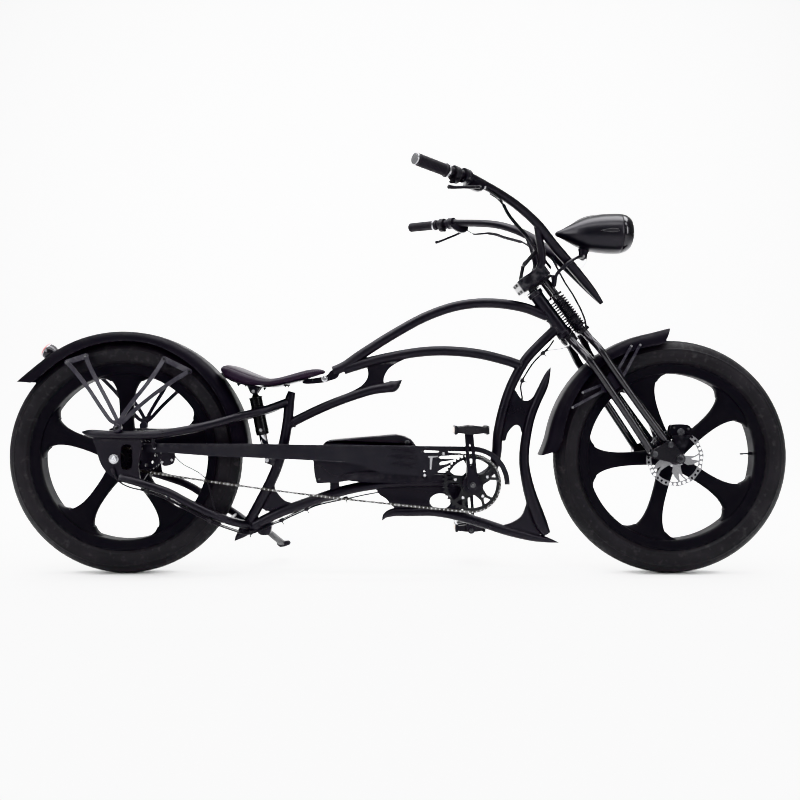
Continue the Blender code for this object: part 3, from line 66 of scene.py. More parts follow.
# Studio
# A pale seamless paper sweep under and behind the bike, one broad lamp above, two tall ones in front to the
# left and right, and one each to whiten the paper behind and the floor.
SWEEP_HALF_WIDTH = 9.0
SWEEP_BACK = 3.2
SWEEP_BEND = 1.6


def new_finish(name, values):
    """Starts a material with its shader's plain values; also gives its tree, shader and own coordinates."""
    material = bpy.data.materials.new(name)
    material.use_nodes = True
    tree = material.node_tree
    shader = tree.nodes["Principled BSDF"]
    for label, value in values.items():
        shader.inputs[label].default_value = value
    return material, tree, shader, tree.nodes.new("ShaderNodeTexCoord").outputs["Object"]


sweep_line = [(-7.0, 0.0), (SWEEP_BACK, 0.0)]
for step in range(1, 17):
    turn = radians(90) * step / 16
    sweep_line.append((SWEEP_BACK + SWEEP_BEND * sin(turn), SWEEP_BEND * (1 - cos(turn))))
sweep_line.append((SWEEP_BACK + SWEEP_BEND, 8.0))
sweep_mesh = bpy.data.meshes.new("paper_sweep")
sweep_mesh.from_pydata([(x, y, z) for y, z in sweep_line for x in (-SWEEP_HALF_WIDTH, SWEEP_HALF_WIDTH)], [],
    [(2 * row, 2 * row + 1, 2 * row + 3, 2 * row + 2) for row in range(len(sweep_line) - 1)])
sweep_mesh.shade_smooth()
paper_sweep = bpy.data.objects.new("paper_sweep", sweep_mesh)
bpy.context.scene.collection.objects.link(paper_sweep)
paper, paper_tree, paper_shader, paper_place = new_finish("paper",
    {"Roughness": 0.9, "Specular IOR Level": 0.2})
paper_fibre = paper_tree.nodes.new("ShaderNodeTexNoise")
paper_fibre.inputs["Scale"].default_value = 3.0
paper_tone = paper_tree.nodes.new("ShaderNodeMapRange")
paper_tone.inputs["To Min"].default_value = 0.86
paper_tone.inputs["To Max"].default_value = 0.88
paper_tree.links.new(paper_place, paper_fibre.inputs["Vector"])
paper_tree.links.new(paper_fibre.outputs["Fac"], paper_tone.inputs["Value"])
paper_tree.links.new(paper_tone.outputs["Result"], paper_shader.inputs["Base Color"])
sweep_mesh.materials.append(paper)

world = bpy.data.worlds.new("studio")
world.use_nodes = True
world.node_tree.nodes["Background"].inputs["Color"].default_value = (1.0, 1.0, 1.0, 1.0)
world.node_tree.nodes["Background"].inputs["Strength"].default_value = 0.42
bpy.context.scene.world = world
bpy.context.scene.view_settings.view_transform = "Khronos PBR Neutral"
LAMPS = (
    ("lamp_top", (0.0, -0.2, 3.2), (0.0, 0.0, 0.4), 4.2, 1.3, 150),
    ("lamp_left", (-2.6, -3.0, 1.9), (-0.3, 0.0, 0.5), 0.7, 2.4, 50),
    ("lamp_right", (2.7, -2.8, 1.7), (0.4, 0.0, 0.5), 0.5, 2.2, 40),
    ("lamp_paper", (0.0, 1.4, 3.4), (0.0, 4.8, 1.4), 6.0, 1.2, 640),
    ("lamp_floor", (0.0, -2.2, 3.4), (0.0, -0.8, 0.0), 5.0, 0.8, 75),
)
for lamp_name, spot, aim, wide, tall, power in LAMPS:
    lamp_data = bpy.data.lights.new(lamp_name, "AREA")
    lamp_data.shape = "RECTANGLE"
    lamp_data.size = wide
    lamp_data.size_y = tall
    lamp_data.energy = power
    lamp = bpy.data.objects.new(lamp_name, lamp_data)
    lamp.location = spot
    lamp.rotation_mode = "QUATERNION"
    lamp.rotation_quaternion = (Vector(aim) - Vector(spot)).to_track_quat("-Z", "Y")
    bpy.context.scene.collection.objects.link(lamp)


# Frame tubes
# Bent steel tubes, welded and powder-coated satin black. The coat has a fine orange-peel grain, is rubbed
# thin along its edges and holds a little dust on top.
def effect(name, inputs, outputs):
    """Starts a shader node group with named sockets."""
    group = bpy.data.node_groups.new(name, "ShaderNodeTree")
    for label, kind, value in inputs:
        socket = group.interface.new_socket(name=label, in_out="INPUT", socket_type=f"NodeSocket{kind}")
        if kind == "Float":
            socket.default_value = value
        if kind == "Color":
            socket.default_value = (*value, 1.0)
    for label, kind in outputs:
        group.interface.new_socket(name=label, in_out="OUTPUT", socket_type=f"NodeSocket{kind}")
    return group, group.nodes.new("NodeGroupInput"), group.nodes.new("NodeGroupOutput")


def maths(tree, operation, first, second):
    """Adds one Math node whose inputs are sockets or plain numbers."""
    node = tree.nodes.new("ShaderNodeMath")
    node.operation = operation
    for socket, value in zip(node.inputs, (first, second)):
        if isinstance(value, (int, float)):
            socket.default_value = value
        else:
            tree.links.new(value, socket)
    return node.outputs[0]


def ramped(tree, value, low, high, out_low=0.0, out_high=1.0):
    """Maps a value's range to another and clamps it."""
    node = tree.nodes.new("ShaderNodeMapRange")
    tree.links.new(value, node.inputs["Value"])
    for label, number in (("From Min", low), ("From Max", high), ("To Min", out_low), ("To Max", out_high)):
        node.inputs[label].default_value = number
    return node.outputs["Result"]


def blended(tree, mask, under, over):
    """Mixes two colours by a mask."""
    node = tree.nodes.new("ShaderNodeMix")
    node.data_type = "RGBA"
    tree.links.new(mask, node.inputs["Factor"])
    for label, value in (("A", under), ("B", over)):
        socket = [item for item in node.inputs if item.name == label and item.type == "RGBA"][0]
        if isinstance(value, tuple):
            socket.default_value = (*value, 1.0)
        else:
            tree.links.new(value, socket)
    return [item for item in node.outputs if item.type == "RGBA"][0]


def noisy(tree, place, scale, detail=3.0, stretch=None):
    """Adds a noise texture; scale is a socket or a number, stretch squeezes it along an axis."""
    node = tree.nodes.new("ShaderNodeTexNoise")
    node.inputs["Detail"].default_value = detail
    if isinstance(scale, (int, float)):
        node.inputs["Scale"].default_value = scale
    else:
        tree.links.new(scale, node.inputs["Scale"])
    if stretch:
        mapping = tree.nodes.new("ShaderNodeMapping")
        mapping.inputs["Scale"].default_value = stretch
        tree.links.new(place, mapping.inputs["Vector"])
        place = mapping.outputs["Vector"]
    tree.links.new(place, node.inputs["Vector"])
    return node.outputs["Fac"]


grain_group, grain_in, grain_out = effect("coat_grain",
    [("Place", "Vector", None), ("Scale", "Float", 400.0)], [("Height", "Float"), ("Cloud", "Float")])
fine = noisy(grain_group, grain_in.outputs["Place"], grain_in.outputs["Scale"], 4.0)
cloud = noisy(grain_group, grain_in.outputs["Place"], 9.0, 4.0)
grain_group.links.new(fine, grain_out.inputs["Height"])
grain_group.links.new(cloud, grain_out.inputs["Cloud"])

rub_group, rub_in, rub_out = effect("edge_rub", [("Place", "Vector", None), ("Colour", "Color", (0, 0, 0)),
    ("Bare", "Color", (0.3, 0.3, 0.3)), ("Amount", "Float", 0.4)], [("Colour", "Color"), ("Mask", "Float")])
rub_shape = rub_group.nodes.new("ShaderNodeNewGeometry")
ridge = ramped(rub_group, rub_shape.outputs["Pointiness"], 0.53, 0.62)
patch = ramped(rub_group, noisy(rub_group, rub_in.outputs["Place"], 55.0, 5.0), 0.42, 0.62)
rubbed = maths(rub_group, "MULTIPLY", maths(rub_group, "MULTIPLY", ridge, patch), rub_in.outputs["Amount"])
rub_group.links.new(rubbed, rub_out.inputs["Mask"])
rub_group.links.new(blended(rub_group, rubbed, rub_in.outputs["Colour"], rub_in.outputs["Bare"]),
    rub_out.inputs["Colour"])

dust_group, dust_in, dust_out = effect("road_dust",
    [("Place", "Vector", None), ("Colour", "Color", (0, 0, 0)), ("Dust", "Color", (0.2, 0.19, 0.18)),
    ("Amount", "Float", 0.1)], [("Colour", "Color"), ("Mask", "Float")])
dust_shape = dust_group.nodes.new("ShaderNodeNewGeometry")
dust_split = dust_group.nodes.new("ShaderNodeSeparateXYZ")
dust_group.links.new(dust_shape.outputs["Normal"], dust_split.inputs["Vector"])
settled = ramped(dust_group, dust_split.outputs["Z"], 0.1, 1.0, 0.25, 1.0)
drift = ramped(dust_group, noisy(dust_group, dust_in.outputs["Place"], 22.0, 6.0), 0.35, 0.75)
dusty = maths(dust_group, "MULTIPLY", maths(dust_group, "MULTIPLY", settled, drift),
    dust_in.outputs["Amount"])
dust_group.links.new(dusty, dust_out.inputs["Mask"])
dust_group.links.new(blended(dust_group, dusty, dust_in.outputs["Colour"], dust_in.outputs["Dust"]),
    dust_out.inputs["Colour"])


def use(tree, group, place, **values):
    """Places an effect in a material with its own values."""
    node = tree.nodes.new("ShaderNodeGroup")
    node.node_tree = group
    tree.links.new(place, node.inputs["Place"])
    for label, value in values.items():
        if isinstance(value, tuple):
            node.inputs[label].default_value = (*value, 1.0)
        elif isinstance(value, (int, float)):
            node.inputs[label].default_value = value
        else:
            tree.links.new(value, node.inputs[label])
    return node.outputs


def bumped(tree, shader, height, distance, strength=1.0):
    """Raises the surface by a height socket."""
    bump = tree.nodes.new("ShaderNodeBump")
    bump.inputs["Strength"].default_value = strength
    bump.inputs["Distance"].default_value = distance
    tree.links.new(height, bump.inputs["Height"])
    tree.links.new(bump.outputs["Normal"], shader.inputs["Normal"])


def coated(name, colour, shade, rough, metal=0.0, coat=0.0, grain=450.0, depth=0.00004,
        bare=(0.25, 0.25, 0.26), rub=0.3, dust=0.1, spread=0.1, shine=0.34):
    """A finish whose colour drifts between two tones, with grain, rubbed edges and settled dust."""
    values = {"Metallic": metal, "Coat Weight": coat, "Coat Roughness": 0.06}
    if not metal:
        values.update({"Specular IOR Level": shine, "Specular Tint": (0.93, 0.9, 1.0, 1.0)})
    material, tree, shader, place = new_finish(name, values)
    grained = use(tree, grain_group, place, Scale=grain)
    toned = blended(tree, ramped(tree, grained["Cloud"], 0.3, 0.7), colour, shade)
    rubbed_coat = use(tree, rub_group, place, Colour=toned, Bare=bare, Amount=rub)
    dusted = use(tree, dust_group, place, Colour=rubbed_coat["Colour"], Amount=dust)
    tree.links.new(dusted["Colour"], shader.inputs["Base Color"])
    worn = ramped(tree, grained["Cloud"], 0.25, 0.75, max(rough - spread, 0.03), rough + spread)
    tree.links.new(maths(tree, "ADD", worn, maths(tree, "MULTIPLY", dusted["Mask"], 0.6)),
        shader.inputs["Roughness"])
    bumped(tree, shader, grained["Height"], depth * 10, 0.6)
    return material


def ring_of(centre, across, up, wide, tall, count, turn=0.0):
    """Points of an oval round a centre, in the plane of two directions."""
    return [centre + across * wide * cos(2 * pi * (step + turn) / count)
        + up * tall * sin(2 * pi * (step + turn) / count) for step in range(count)]


def curved(points, steps):
    """A smooth curve through rows of x, y, z and radius."""
    rows = [Vector(point) for point in points]
    rows = [2 * rows[0] - rows[1], *rows, 2 * rows[-1] - rows[-2]]
    curve = []
    for index in range(1, len(rows) - 2):
        before, start, end, after = rows[index - 1:index + 3]
        for step in range(steps):
            t = step / steps
            curve.append(0.5 * (2 * start + (end - before) * t
                + (2 * before - 5 * start + 4 * end - after) * t ** 2
                + (3 * start - before - 3 * end + after) * t ** 3))
    curve.append(rows[-2])
    return curve


def skin(rings, loop=False):
    """Joins rings of points into a closed surface."""
    count = len(rings[0])
    verts = [point for ring in rings for point in ring]
    faces = []
    for index in range(len(rings) if loop else len(rings) - 1):
        first = index * count
        second = (index + 1) % len(rings) * count
        for step in range(count):
            after = (step + 1) % count
            faces.append((first + step, first + after, second + after, second + step))
    if not loop:
        faces.append(tuple(range(count - 1, -1, -1)))
        faces.append(tuple(range((len(rings) - 1) * count, len(rings) * count)))
    return verts, faces


def bent_tube(points, sides=24, steps=6):
    """A tube bent through rows of x, y, z and radius."""
    curve = curved(points, steps)
    centres = [Vector(row[:3]) for row in curve]
    last = len(centres) - 1
    rings = []
    side = Vector((0, 1, 0))
    for index, centre in enumerate(centres):
        along = (centres[min(index + 1, last)] - centres[max(index - 1, 0)]).normalized()
        across = side - along * along.dot(side)
        if across.length < 0.2:
            across = Vector((1, 0, 0)) - along * along.x
        across.normalize()
        up = along.cross(across)
        radius = max(curve[index][3], 0.0004)
        rings.append(ring_of(centre, across, up, radius, radius, sides, 0.5))
    return skin(rings)


def cut_plate(outline, low, high, holes=(), place=None):
    """A plate cut to an outline in x and z, with holes, between two y values."""
    loops = [outline, *holes]
    flat = [point for loop in loops for point in loop]
    triangles = tessellate_polygon([[Vector((x, z, 0.0)) for x, z in loop] for loop in loops])
    count = len(flat)
    verts = [Vector((x, low, z)) for x, z in flat] + [Vector((x, high, z)) for x, z in flat]
    faces = [tuple(face) for face in triangles]
    faces += [tuple(index + count for index in reversed(face)) for face in triangles]
    start = 0
    for loop in loops:
        for step in range(len(loop)):
            after = (step + 1) % len(loop)
            faces.append((start + step, start + after, start + after + count, start + step + count))
        start += len(loop)
    if place:
        verts = [place @ vert for vert in verts]
    return verts, faces


def rounded_line(points, steps=4, closed=True):
    """Points of a smooth line through x, z points."""
    if closed:
        rows = [Vector((*point, 0.0)) for point in (points[-1], *points, points[0], points[1])]
    else:
        rows = [Vector((*point, 0.0)) for point in (points[0], *points, points[-1])]
    line = []
    for index in range(1, len(rows) - 2):
        before, start, end, after = rows[index - 1:index + 3]
        for step in range(steps):
            t = step / steps
            row = 0.5 * (2 * start + (end - before) * t + (2 * before - 5 * start + 4 * end - after) * t ** 2
                + (3 * start - before - 3 * end + after) * t ** 3)
            line.append((row.x, row.y))
    if not closed:
        line.append(tuple(points[-1]))
    return line


def together(*shapes):
    """Puts several closed surfaces in one mesh."""
    verts, faces = [], []
    for more_verts, more_faces in shapes:
        start = len(verts)
        verts += more_verts
        faces += [tuple(index + start for index in face) for face in more_faces]
    return verts, faces


def fit(name, shape, material, body, nodes=(), bevel=0.0, sharp=38):
    """Makes a piece from a surface, gives it its finish and fixes it to its body."""
    verts, faces = shape
    mesh = bpy.data.meshes.new(name)
    mesh.from_pydata([tuple(vert) for vert in verts], [], faces)
    work = bmesh.new()
    work.from_mesh(mesh)
    bmesh.ops.remove_doubles(work, verts=work.verts, dist=0.000002)
    bmesh.ops.recalc_face_normals(work, faces=work.faces)
    work.to_mesh(mesh)
    work.free()
    mesh.materials.append(material)
    mesh.shade_smooth()
    mesh.set_sharp_from_angle(angle=radians(sharp))
    piece = bpy.data.objects.new(name, mesh)
    bpy.context.scene.collection.objects.link(piece)
    if bevel:
        edge = piece.modifiers.new("softened_edges", "BEVEL")
        edge.width = bevel
        edge.segments = 2
        edge.limit_method = "ANGLE"
        edge.angle_limit = radians(38)
        edge.harden_normals = True
    if body:
        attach(piece, body)
    if nodes:
        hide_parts(*nodes)
    return piece


def meets(start, along, post, axis, radius):
    """Where a line first meets a round post."""
    gap = start - post
    gap -= axis * gap.dot(axis)
    way = along - axis * along.dot(axis)
    size = way.dot(way)
    share = gap.dot(way)
    reach = -share - sqrt(max(share ** 2 - size * (gap.dot(gap) - radius ** 2), 0.0))
    return start + along * (reach / size)


def weld(centre, along, radius, wire=0.0022, post=None):
    """A rippled weld bead round a tube's end; with a post it follows the seam on that round post."""
    along = Vector(along).normalized()
    across = Vector((0, 1, 0))
    up = along.cross(across)
    rings = []
    for step in range(72):
        angle = 2 * pi * step / 72
        outward = across * cos(angle) + up * sin(angle)
        swell = wire * (1 + 0.22 * sin(angle * 24))
        spot = Vector(centre) + outward * radius
        if post:
            spot = meets(spot, along, *post)
        rings.append(ring_of(spot, outward, along, swell, swell * 1.3, 8))
    return skin(rings, loop=True)


def coped(shape, along, post):
    """A tube whose end is shaped to sit against a round post."""
    verts, faces = shape
    along = Vector(along).normalized()
    shaped = []
    for vert in verts:
        seat = meets(vert, along, *post)
        shaped.append(seat if (vert - seat).dot(along) > 0 else vert)
    return shaped, faces


def in_plane(points, radius):
    """Gives x, z points on the bike's middle plane one radius."""
    return [(x, 0.0, z, radius) for x, z in points]


satin_black = coated("satin_black_coat", (0.006, 0.006, 0.0068), (0.0095, 0.009, 0.01), 0.34, grain=650.0,
    dust=0.035)
TUBE = 0.0168
HEAD_TOP = Vector((0.4313, 0.0, 0.89))
STEER_LEAN = radians(53.6)
STEER_DOWN = Vector((cos(STEER_LEAN), 0.0, -sin(STEER_LEAN)))
HEAD_WALL = (HEAD_TOP, STEER_DOWN, 0.0195)
HEAD_FACE = (HEAD_TOP, STEER_DOWN, 0.0214)

upper_tube = bent_tube(in_plane([(-0.205, 0.638), (-0.165, 0.657), (-0.114, 0.693), (-0.012, 0.757),
    (0.09, 0.812), (0.191, 0.846), (0.293, 0.855), (0.394, 0.842), (0.474, 0.813)], TUBE), 32, 8)
upper_tube = coped(upper_tube, (0.94, 0, -0.341), HEAD_WALL)
saddle_lug = cut_plate(rounded_line([(-0.186, 0.652), (-0.212, 0.64), (-0.224, 0.6265), (-0.238, 0.6225),
    (-0.241, 0.612), (-0.231, 0.605), (-0.19, 0.618)]), -0.011, 0.011)
fit("upper_top_tube_skin", together(upper_tube, saddle_lug,
    weld((0.394, 0, 0.842), (0.94, 0, -0.341), 0.0168, post=HEAD_FACE)), satin_black, "frame",
    ["upper_top_tube"], bevel=0.001)

lower_tube = bent_tube(in_plane([(-0.172, 0.643), (-0.139, 0.6534), (-0.063, 0.675), (0.039, 0.695),
    (0.115, 0.7026), (0.192, 0.701), (0.267, 0.6915), (0.342, 0.673), (0.392, 0.656)], TUBE), 32, 8)
fit("lower_top_tube_skin", together(lower_tube, weld((0.3885, 0, 0.6575), (0.95, 0, -0.32), 0.0172)),
    satin_black, "frame", ["lower_top_tube"])

down_tube = bent_tube(in_plane([(0.503, 0.774), (0.445, 0.7185), (0.401, 0.668), (0.36, 0.592),
    (0.334, 0.515), (0.318, 0.439), (0.313, 0.375), (0.297, 0.325), (0.25, 0.293)], TUBE), 32, 8)
down_tube = coped(down_tube, (0.723, 0, 0.691), HEAD_WALL)
fit("down_tube_skin", together(down_tube, weld((0.445, 0, 0.7185), (0.723, 0, 0.691), 0.0168,
    post=HEAD_FACE)), satin_black, "frame", ["down_tube"])

strut = bent_tube([(-0.336, 0, 0.574, 0.013), (-0.343, 0, 0.545, 0.0165), (-0.35, 0, 0.478, 0.0172),
    (-0.361, 0, 0.414, 0.0175), (-0.3805, 0, 0.3437, 0.0175), (-0.404, 0, 0.287, 0.0175),
    (-0.444, 0, 0.21, 0.0175), (-0.473, 0, 0.1595, 0.0165), (-0.497, 0, 0.128, 0.013)], 32, 8)
shock_lugs = [cut_plate([(-0.4212, 0.3484), (-0.4212, 0.3604), (-0.372, 0.362), (-0.372, 0.33)], low,
    low + 0.004) for low in (-0.015, 0.011)]
strut_web = cut_plate(rounded_line([(-0.392, 0.29), (-0.388, 0.262), (-0.3604, 0.23), (-0.3312, 0.2189),
    (-0.34, 0.205), (-0.42, 0.195), (-0.43, 0.24)]), -0.006, 0.006)
lower_point = bent_tube([(-0.44, 0, 0.153, 0.016), (-0.478, 0, 0.133, 0.016), (-0.503, 0, 0.116, 0.012),
    (-0.519, 0, 0.099, 0.0015)], 24, 6)
fit("seat_strut_skin", together(strut, *shock_lugs, strut_web, lower_point), satin_black, "frame",
    ["seat_strut"], bevel=0.0012)

rail = bent_tube(in_plane([(-0.478, 0.138), (-0.4313, 0.1627), (-0.3677, 0.1929), (-0.266, 0.2294),
    (-0.1645, 0.2612), (-0.0565, 0.2802), (0.04, 0.2855), (0.13, 0.287), (0.222, 0.2865)], TUBE), 32, 8)
rail_web_hole = [(0.135 + 0.033 * cos(2 * pi * step / 36), 0.226 + 0.024 * sin(2 * pi * step / 36))
    for step in range(36)]
rail_web = cut_plate([(-0.078, 0.276), *rounded_line(
    [(-0.058, 0.246), (-0.036, 0.232), (-0.022, 0.214), (0.0, 0.2), (0.045, 0.187), (0.15, 0.183),
    (0.2, 0.197), (0.222, 0.24)], 5, closed=False), (0.236, 0.285)], -0.007, 0.007, [rail_web_hole])


def turned(profile, centre, axis=(0, 1, 0), segments=48, hollow=False):
    """A part turned on a lathe from radius and height points; a hollow one closes on its own bore."""
    axis = Vector(axis).normalized()
    helper = Vector((0, 0, 1)) if abs(axis.z) < 0.9 else Vector((1, 0, 0))
    first = (helper - axis * helper.dot(axis)).normalized()
    second = axis.cross(first)
    centre = Vector(centre)
    ways = ring_of(Vector(), first, second, 1.0, 1.0, segments)
    if hollow:
        return skin([[centre + axis * height + way * radius for radius, height in profile] for way in ways],
            loop=True)
    return skin([[centre + axis * height + way * radius for way in ways] for radius, height in profile])


BRACKET = Vector((0.229, 0.0, 0.289))
bracket_shell = turned([(0.0105, -0.04), (0.0235, -0.04), (0.024, -0.0385), (0.024, 0.0385), (0.0235, 0.04),
    (0.0105, 0.04)], BRACKET, hollow=True)
stand_lug = cut_plate(rounded_line([(-0.445, 0.122), (-0.408, 0.12), (-0.404, 0.165), (-0.438, 0.166)]),
    0.004, 0.03)
fit("lower_rail_skin", together(rail, rail_web, bracket_shell, stand_lug,
    weld((0.203, 0, 0.287), (1, 0, 0), 0.0172)), satin_black, "frame", ["lower_rail"],
    bevel=0.0012)

belly = bent_tube([(-0.05, 0, 0.164, 0.0015), (-0.038, 0, 0.181, 0.01), (-0.01, 0, 0.191, 0.0145),
    (0.04, 0, 0.192, 0.0155), (0.115, 0, 0.1925, 0.016), (0.192, 0, 0.179, 0.016), (0.267, 0, 0.158, 0.016),
    (0.343, 0, 0.133, 0.016), (0.42, 0, 0.1135, 0.0145), (0.471, 0, 0.1035, 0.01), (0.512, 0, 0.094, 0.0012)],
    32, 8)
fit("belly_tube_skin", belly, satin_black, "frame", ["belly_tube"])

brace = bent_tube([(-0.352, 0, 0.464, 0.015), (-0.317, 0, 0.485, 0.0158), (-0.24, 0, 0.522, 0.0158),
    (-0.165, 0, 0.552, 0.0158), (-0.089, 0, 0.577, 0.0165), (-0.04, 0, 0.586, 0.0175),
    (-0.012, 0, 0.592, 0.019), (0.014, 0, 0.611, 0.0015)], 32, 8)
brace_web = cut_plate([*rounded_line([(-0.118, 0.672), (-0.0988, 0.65), (-0.0965, 0.62), (-0.1175, 0.592),
    (-0.165, 0.567)], 6, closed=False), *rounded_line(
    [(-0.04, 0.588), (-0.044, 0.608), (-0.04, 0.626), (-0.0248, 0.6486), (0.0062, 0.668), (0.042, 0.684)], 6,
    closed=False)], -0.007, 0.007)
fit("brace_tube_skin", together(brace, brace_web, weld((-0.334, 0, 0.4745), (0.86, 0, 0.5), 0.0162)),
    satin_black, "frame", ["brace_tube"], bevel=0.0015)

fin = bent_tube([(0.486, 0, 0.652, 0.0012), (0.476, 0, 0.629, 0.0095), (0.4627, 0, 0.5915, 0.015),
    (0.439, 0, 0.5406, 0.016), (0.4199, 0, 0.4898, 0.0165), (0.4065, 0, 0.425, 0.0165),
    (0.4008, 0, 0.365, 0.017), (0.4056, 0, 0.312, 0.018), (0.42, 0, 0.25, 0.0205), (0.44, 0, 0.19, 0.023),
    (0.456, 0, 0.15, 0.022), (0.472, 0, 0.122, 0.015)], 32, 8)
upper_web = cut_plate([*rounded_line([(0.36, 0.59), (0.3744, 0.5765), (0.384, 0.561), (0.394, 0.549),
    (0.406, 0.5455), (0.418, 0.548), (0.429, 0.558), (0.436, 0.566)], 6, closed=False),
    *rounded_line([(0.425, 0.5), (0.406, 0.44), (0.3925, 0.444), (0.387, 0.461), (0.376, 0.467),
    (0.364, 0.461), (0.349, 0.442), (0.3405, 0.418), (0.322, 0.42)], 6, closed=False)], -0.007, 0.007)
foot_web = cut_plate([(0.418, 0.26), *rounded_line(
    [(0.4056, 0.2135), (0.3913, 0.18), (0.3627, 0.16), (0.33, 0.15)], 6, closed=False), (0.335, 0.13),
    (0.45, 0.106), (0.46, 0.2)], -0.007, 0.007)
fit("front_fin_skin", together(fin, upper_web, foot_web), satin_black, "frame", ["front_fin"],
    bevel=0.0015)


# Head tube
# A plain tube with a pressed headset cup at each end. The cups are turned, with a black race ring between
# the cup and the fork, and the tube is welded to the top tubes and the down tube.
STEER_FORWARD = Vector((sin(STEER_LEAN), 0.0, cos(STEER_LEAN)))


def by_fork(down, forward, side=0.0):
    """A point by its distance down the steering axis, ahead of it and to the left."""
    return HEAD_TOP + STEER_DOWN * down + STEER_FORWARD * forward + Vector((0, side, 0))


bright_steel = coated("bright_plated_steel", (0.6, 0.6, 0.62), (0.5, 0.5, 0.53), 0.16, metal=1.0, grain=900.0,
    depth=0.00001, bare=(0.75, 0.75, 0.77), rub=0.2, dust=0.05, spread=0.06)
head_barrel = turned([(0.0158, 0.0005), (0.0245, 0.0005), (0.0258, 0.002), (0.0258, 0.012), (0.025, 0.015),
    (0.0222, 0.0185), (0.0218, 0.024), (0.0218, 0.1495), (0.0222, 0.155), (0.025, 0.1585), (0.0258, 0.1615),
    (0.0258, 0.1715), (0.0245, 0.173), (0.0158, 0.173)], HEAD_TOP, STEER_DOWN, 64, hollow=True)
fit("head_tube_skin", head_barrel, satin_black, "frame", ["head_tube"])
race_rings = [turned([(0.024, low), (0.0263, low + 0.0006), (0.0263, low + 0.002), (0.024, low + 0.0026)],
    HEAD_TOP, STEER_DOWN, 64, hollow=True) for low in (0.0128, 0.158)]
fit("headset_race_rings", together(*race_rings), satin_black, "frame")


# Rear triangle
# Two pairs of bent stays hold the rear wheel. They meet the seat strut on the middle plane, and a flat steel
# dropout plate is let in between them on each side.
STAY = 0.0132
STAY_SPREAD = 0.106
upper_stay = [(-0.9577, -STAY_SPREAD, 0.4499, 0.003), (-0.93, -STAY_SPREAD, 0.446, 0.0125),
    (-0.871, -STAY_SPREAD, 0.442, STAY), (-0.75, -STAY_SPREAD, 0.4415, STAY),
    (-0.65, -STAY_SPREAD, 0.455, STAY), (-0.56, -0.098, 0.4745, STAY), (-0.48, -0.08, 0.498, STAY),
    (-0.42, -0.055, 0.514, STAY), (-0.38, -0.028, 0.529, STAY), (-0.352, -0.01, 0.54, STAY)]
lower_stay = [(-0.843, -STAY_SPREAD, 0.312, 0.012), (-0.78, -STAY_SPREAD, 0.295, STAY),
    (-0.7, -0.102, 0.2677, STAY), (-0.64, -0.096, 0.2347, STAY), (-0.575, -0.084, 0.2, STAY),
    (-0.52, -0.058, 0.172, STAY), (-0.472, -0.012, 0.151, STAY)]


def other_side(points):
    """The same rows on the bike's other side."""
    return [(row[0], -row[1], *row[2:]) for row in points]


fit("upper_stays_skin", together(*(bent_tube(side, 24, 8) for side in (upper_stay, other_side(upper_stay)))),
    satin_black, "frame", ["upper_stays"])
stay_bridge = turned([(0.007, -0.062), (0.007, 0.062)], (-0.525, 0.0, 0.1735), segments=24)
fit("lower_stays_skin", together(*(bent_tube(side, 24, 8) for side in (lower_stay, other_side(lower_stay))),
    stay_bridge), satin_black, "frame", ["lower_stays"])
REAR_AXLE = Vector((-0.86, 0.0, 0.368))
dropout_line = [(-0.915, 0.44), (-0.914, 0.4), (-0.904, 0.362), (-0.89, 0.336), (-0.868, 0.316), (-0.84, 0.3),
    (-0.782, 0.29), (-0.786, 0.345), (-0.784, 0.44)]
dropout_window = rounded_line([(-0.838, 0.402), (-0.838, 0.345), (-0.824, 0.336), (-0.806, 0.345),
    (-0.806, 0.402), (-0.82, 0.412)], 3)
for name, side in (("dropout_right", -1), ("dropout_left", 1)):
    inner, outer = sorted((side * (STAY_SPREAD - 0.003), side * (STAY_SPREAD + 0.003)))
    axle_slot = [(REAR_AXLE.x + 0.0068 * cos(2 * pi * step / 24),
        REAR_AXLE.z + 0.0068 * sin(2 * pi * step / 24)) for step in range(24)]
    fit(f"{name}_plate", cut_plate(rounded_line(dropout_line, 3), inner, outer, [dropout_window, axle_slot]),
        satin_black, "frame", [name], bevel=0.0008)


# Wheels
# Each wheel is one casting: a deep rim, five broad spokes that flare into it, and the hub. The front hub is
# slim and the rear one is a drum with the motor inside. Both are painted satin black.
cast_black = coated("cast_wheel_paint", (0.0048, 0.0048, 0.0052), (0.0072, 0.0072, 0.008), 0.58, shine=0.16,
    grain=300.0, depth=0.00006, rub=0.15, dust=0.04)
FRONT_AXLE = Vector((0.86, 0.0, 0.368))
RIM_PROFILE = [(0.2622, 0.0), (0.2616, 0.016), (0.2618, 0.0235), (0.264, 0.0275), (0.27, 0.0298),
    (0.279, 0.0305), (0.286, 0.0318), (0.2905, 0.034), (0.2922, 0.0335), (0.2918, 0.031), (0.2895, 0.026),
    (0.2888, 0.02), (0.287, 0.0)]


def rim_of(centre):
    """The rim's closed cross-section, turned round the axle."""
    loop = RIM_PROFILE + [(radius, -across) for radius, across in reversed(RIM_PROFILE[1:-1])]
    return turned(loop, centre, segments=144, hollow=True)


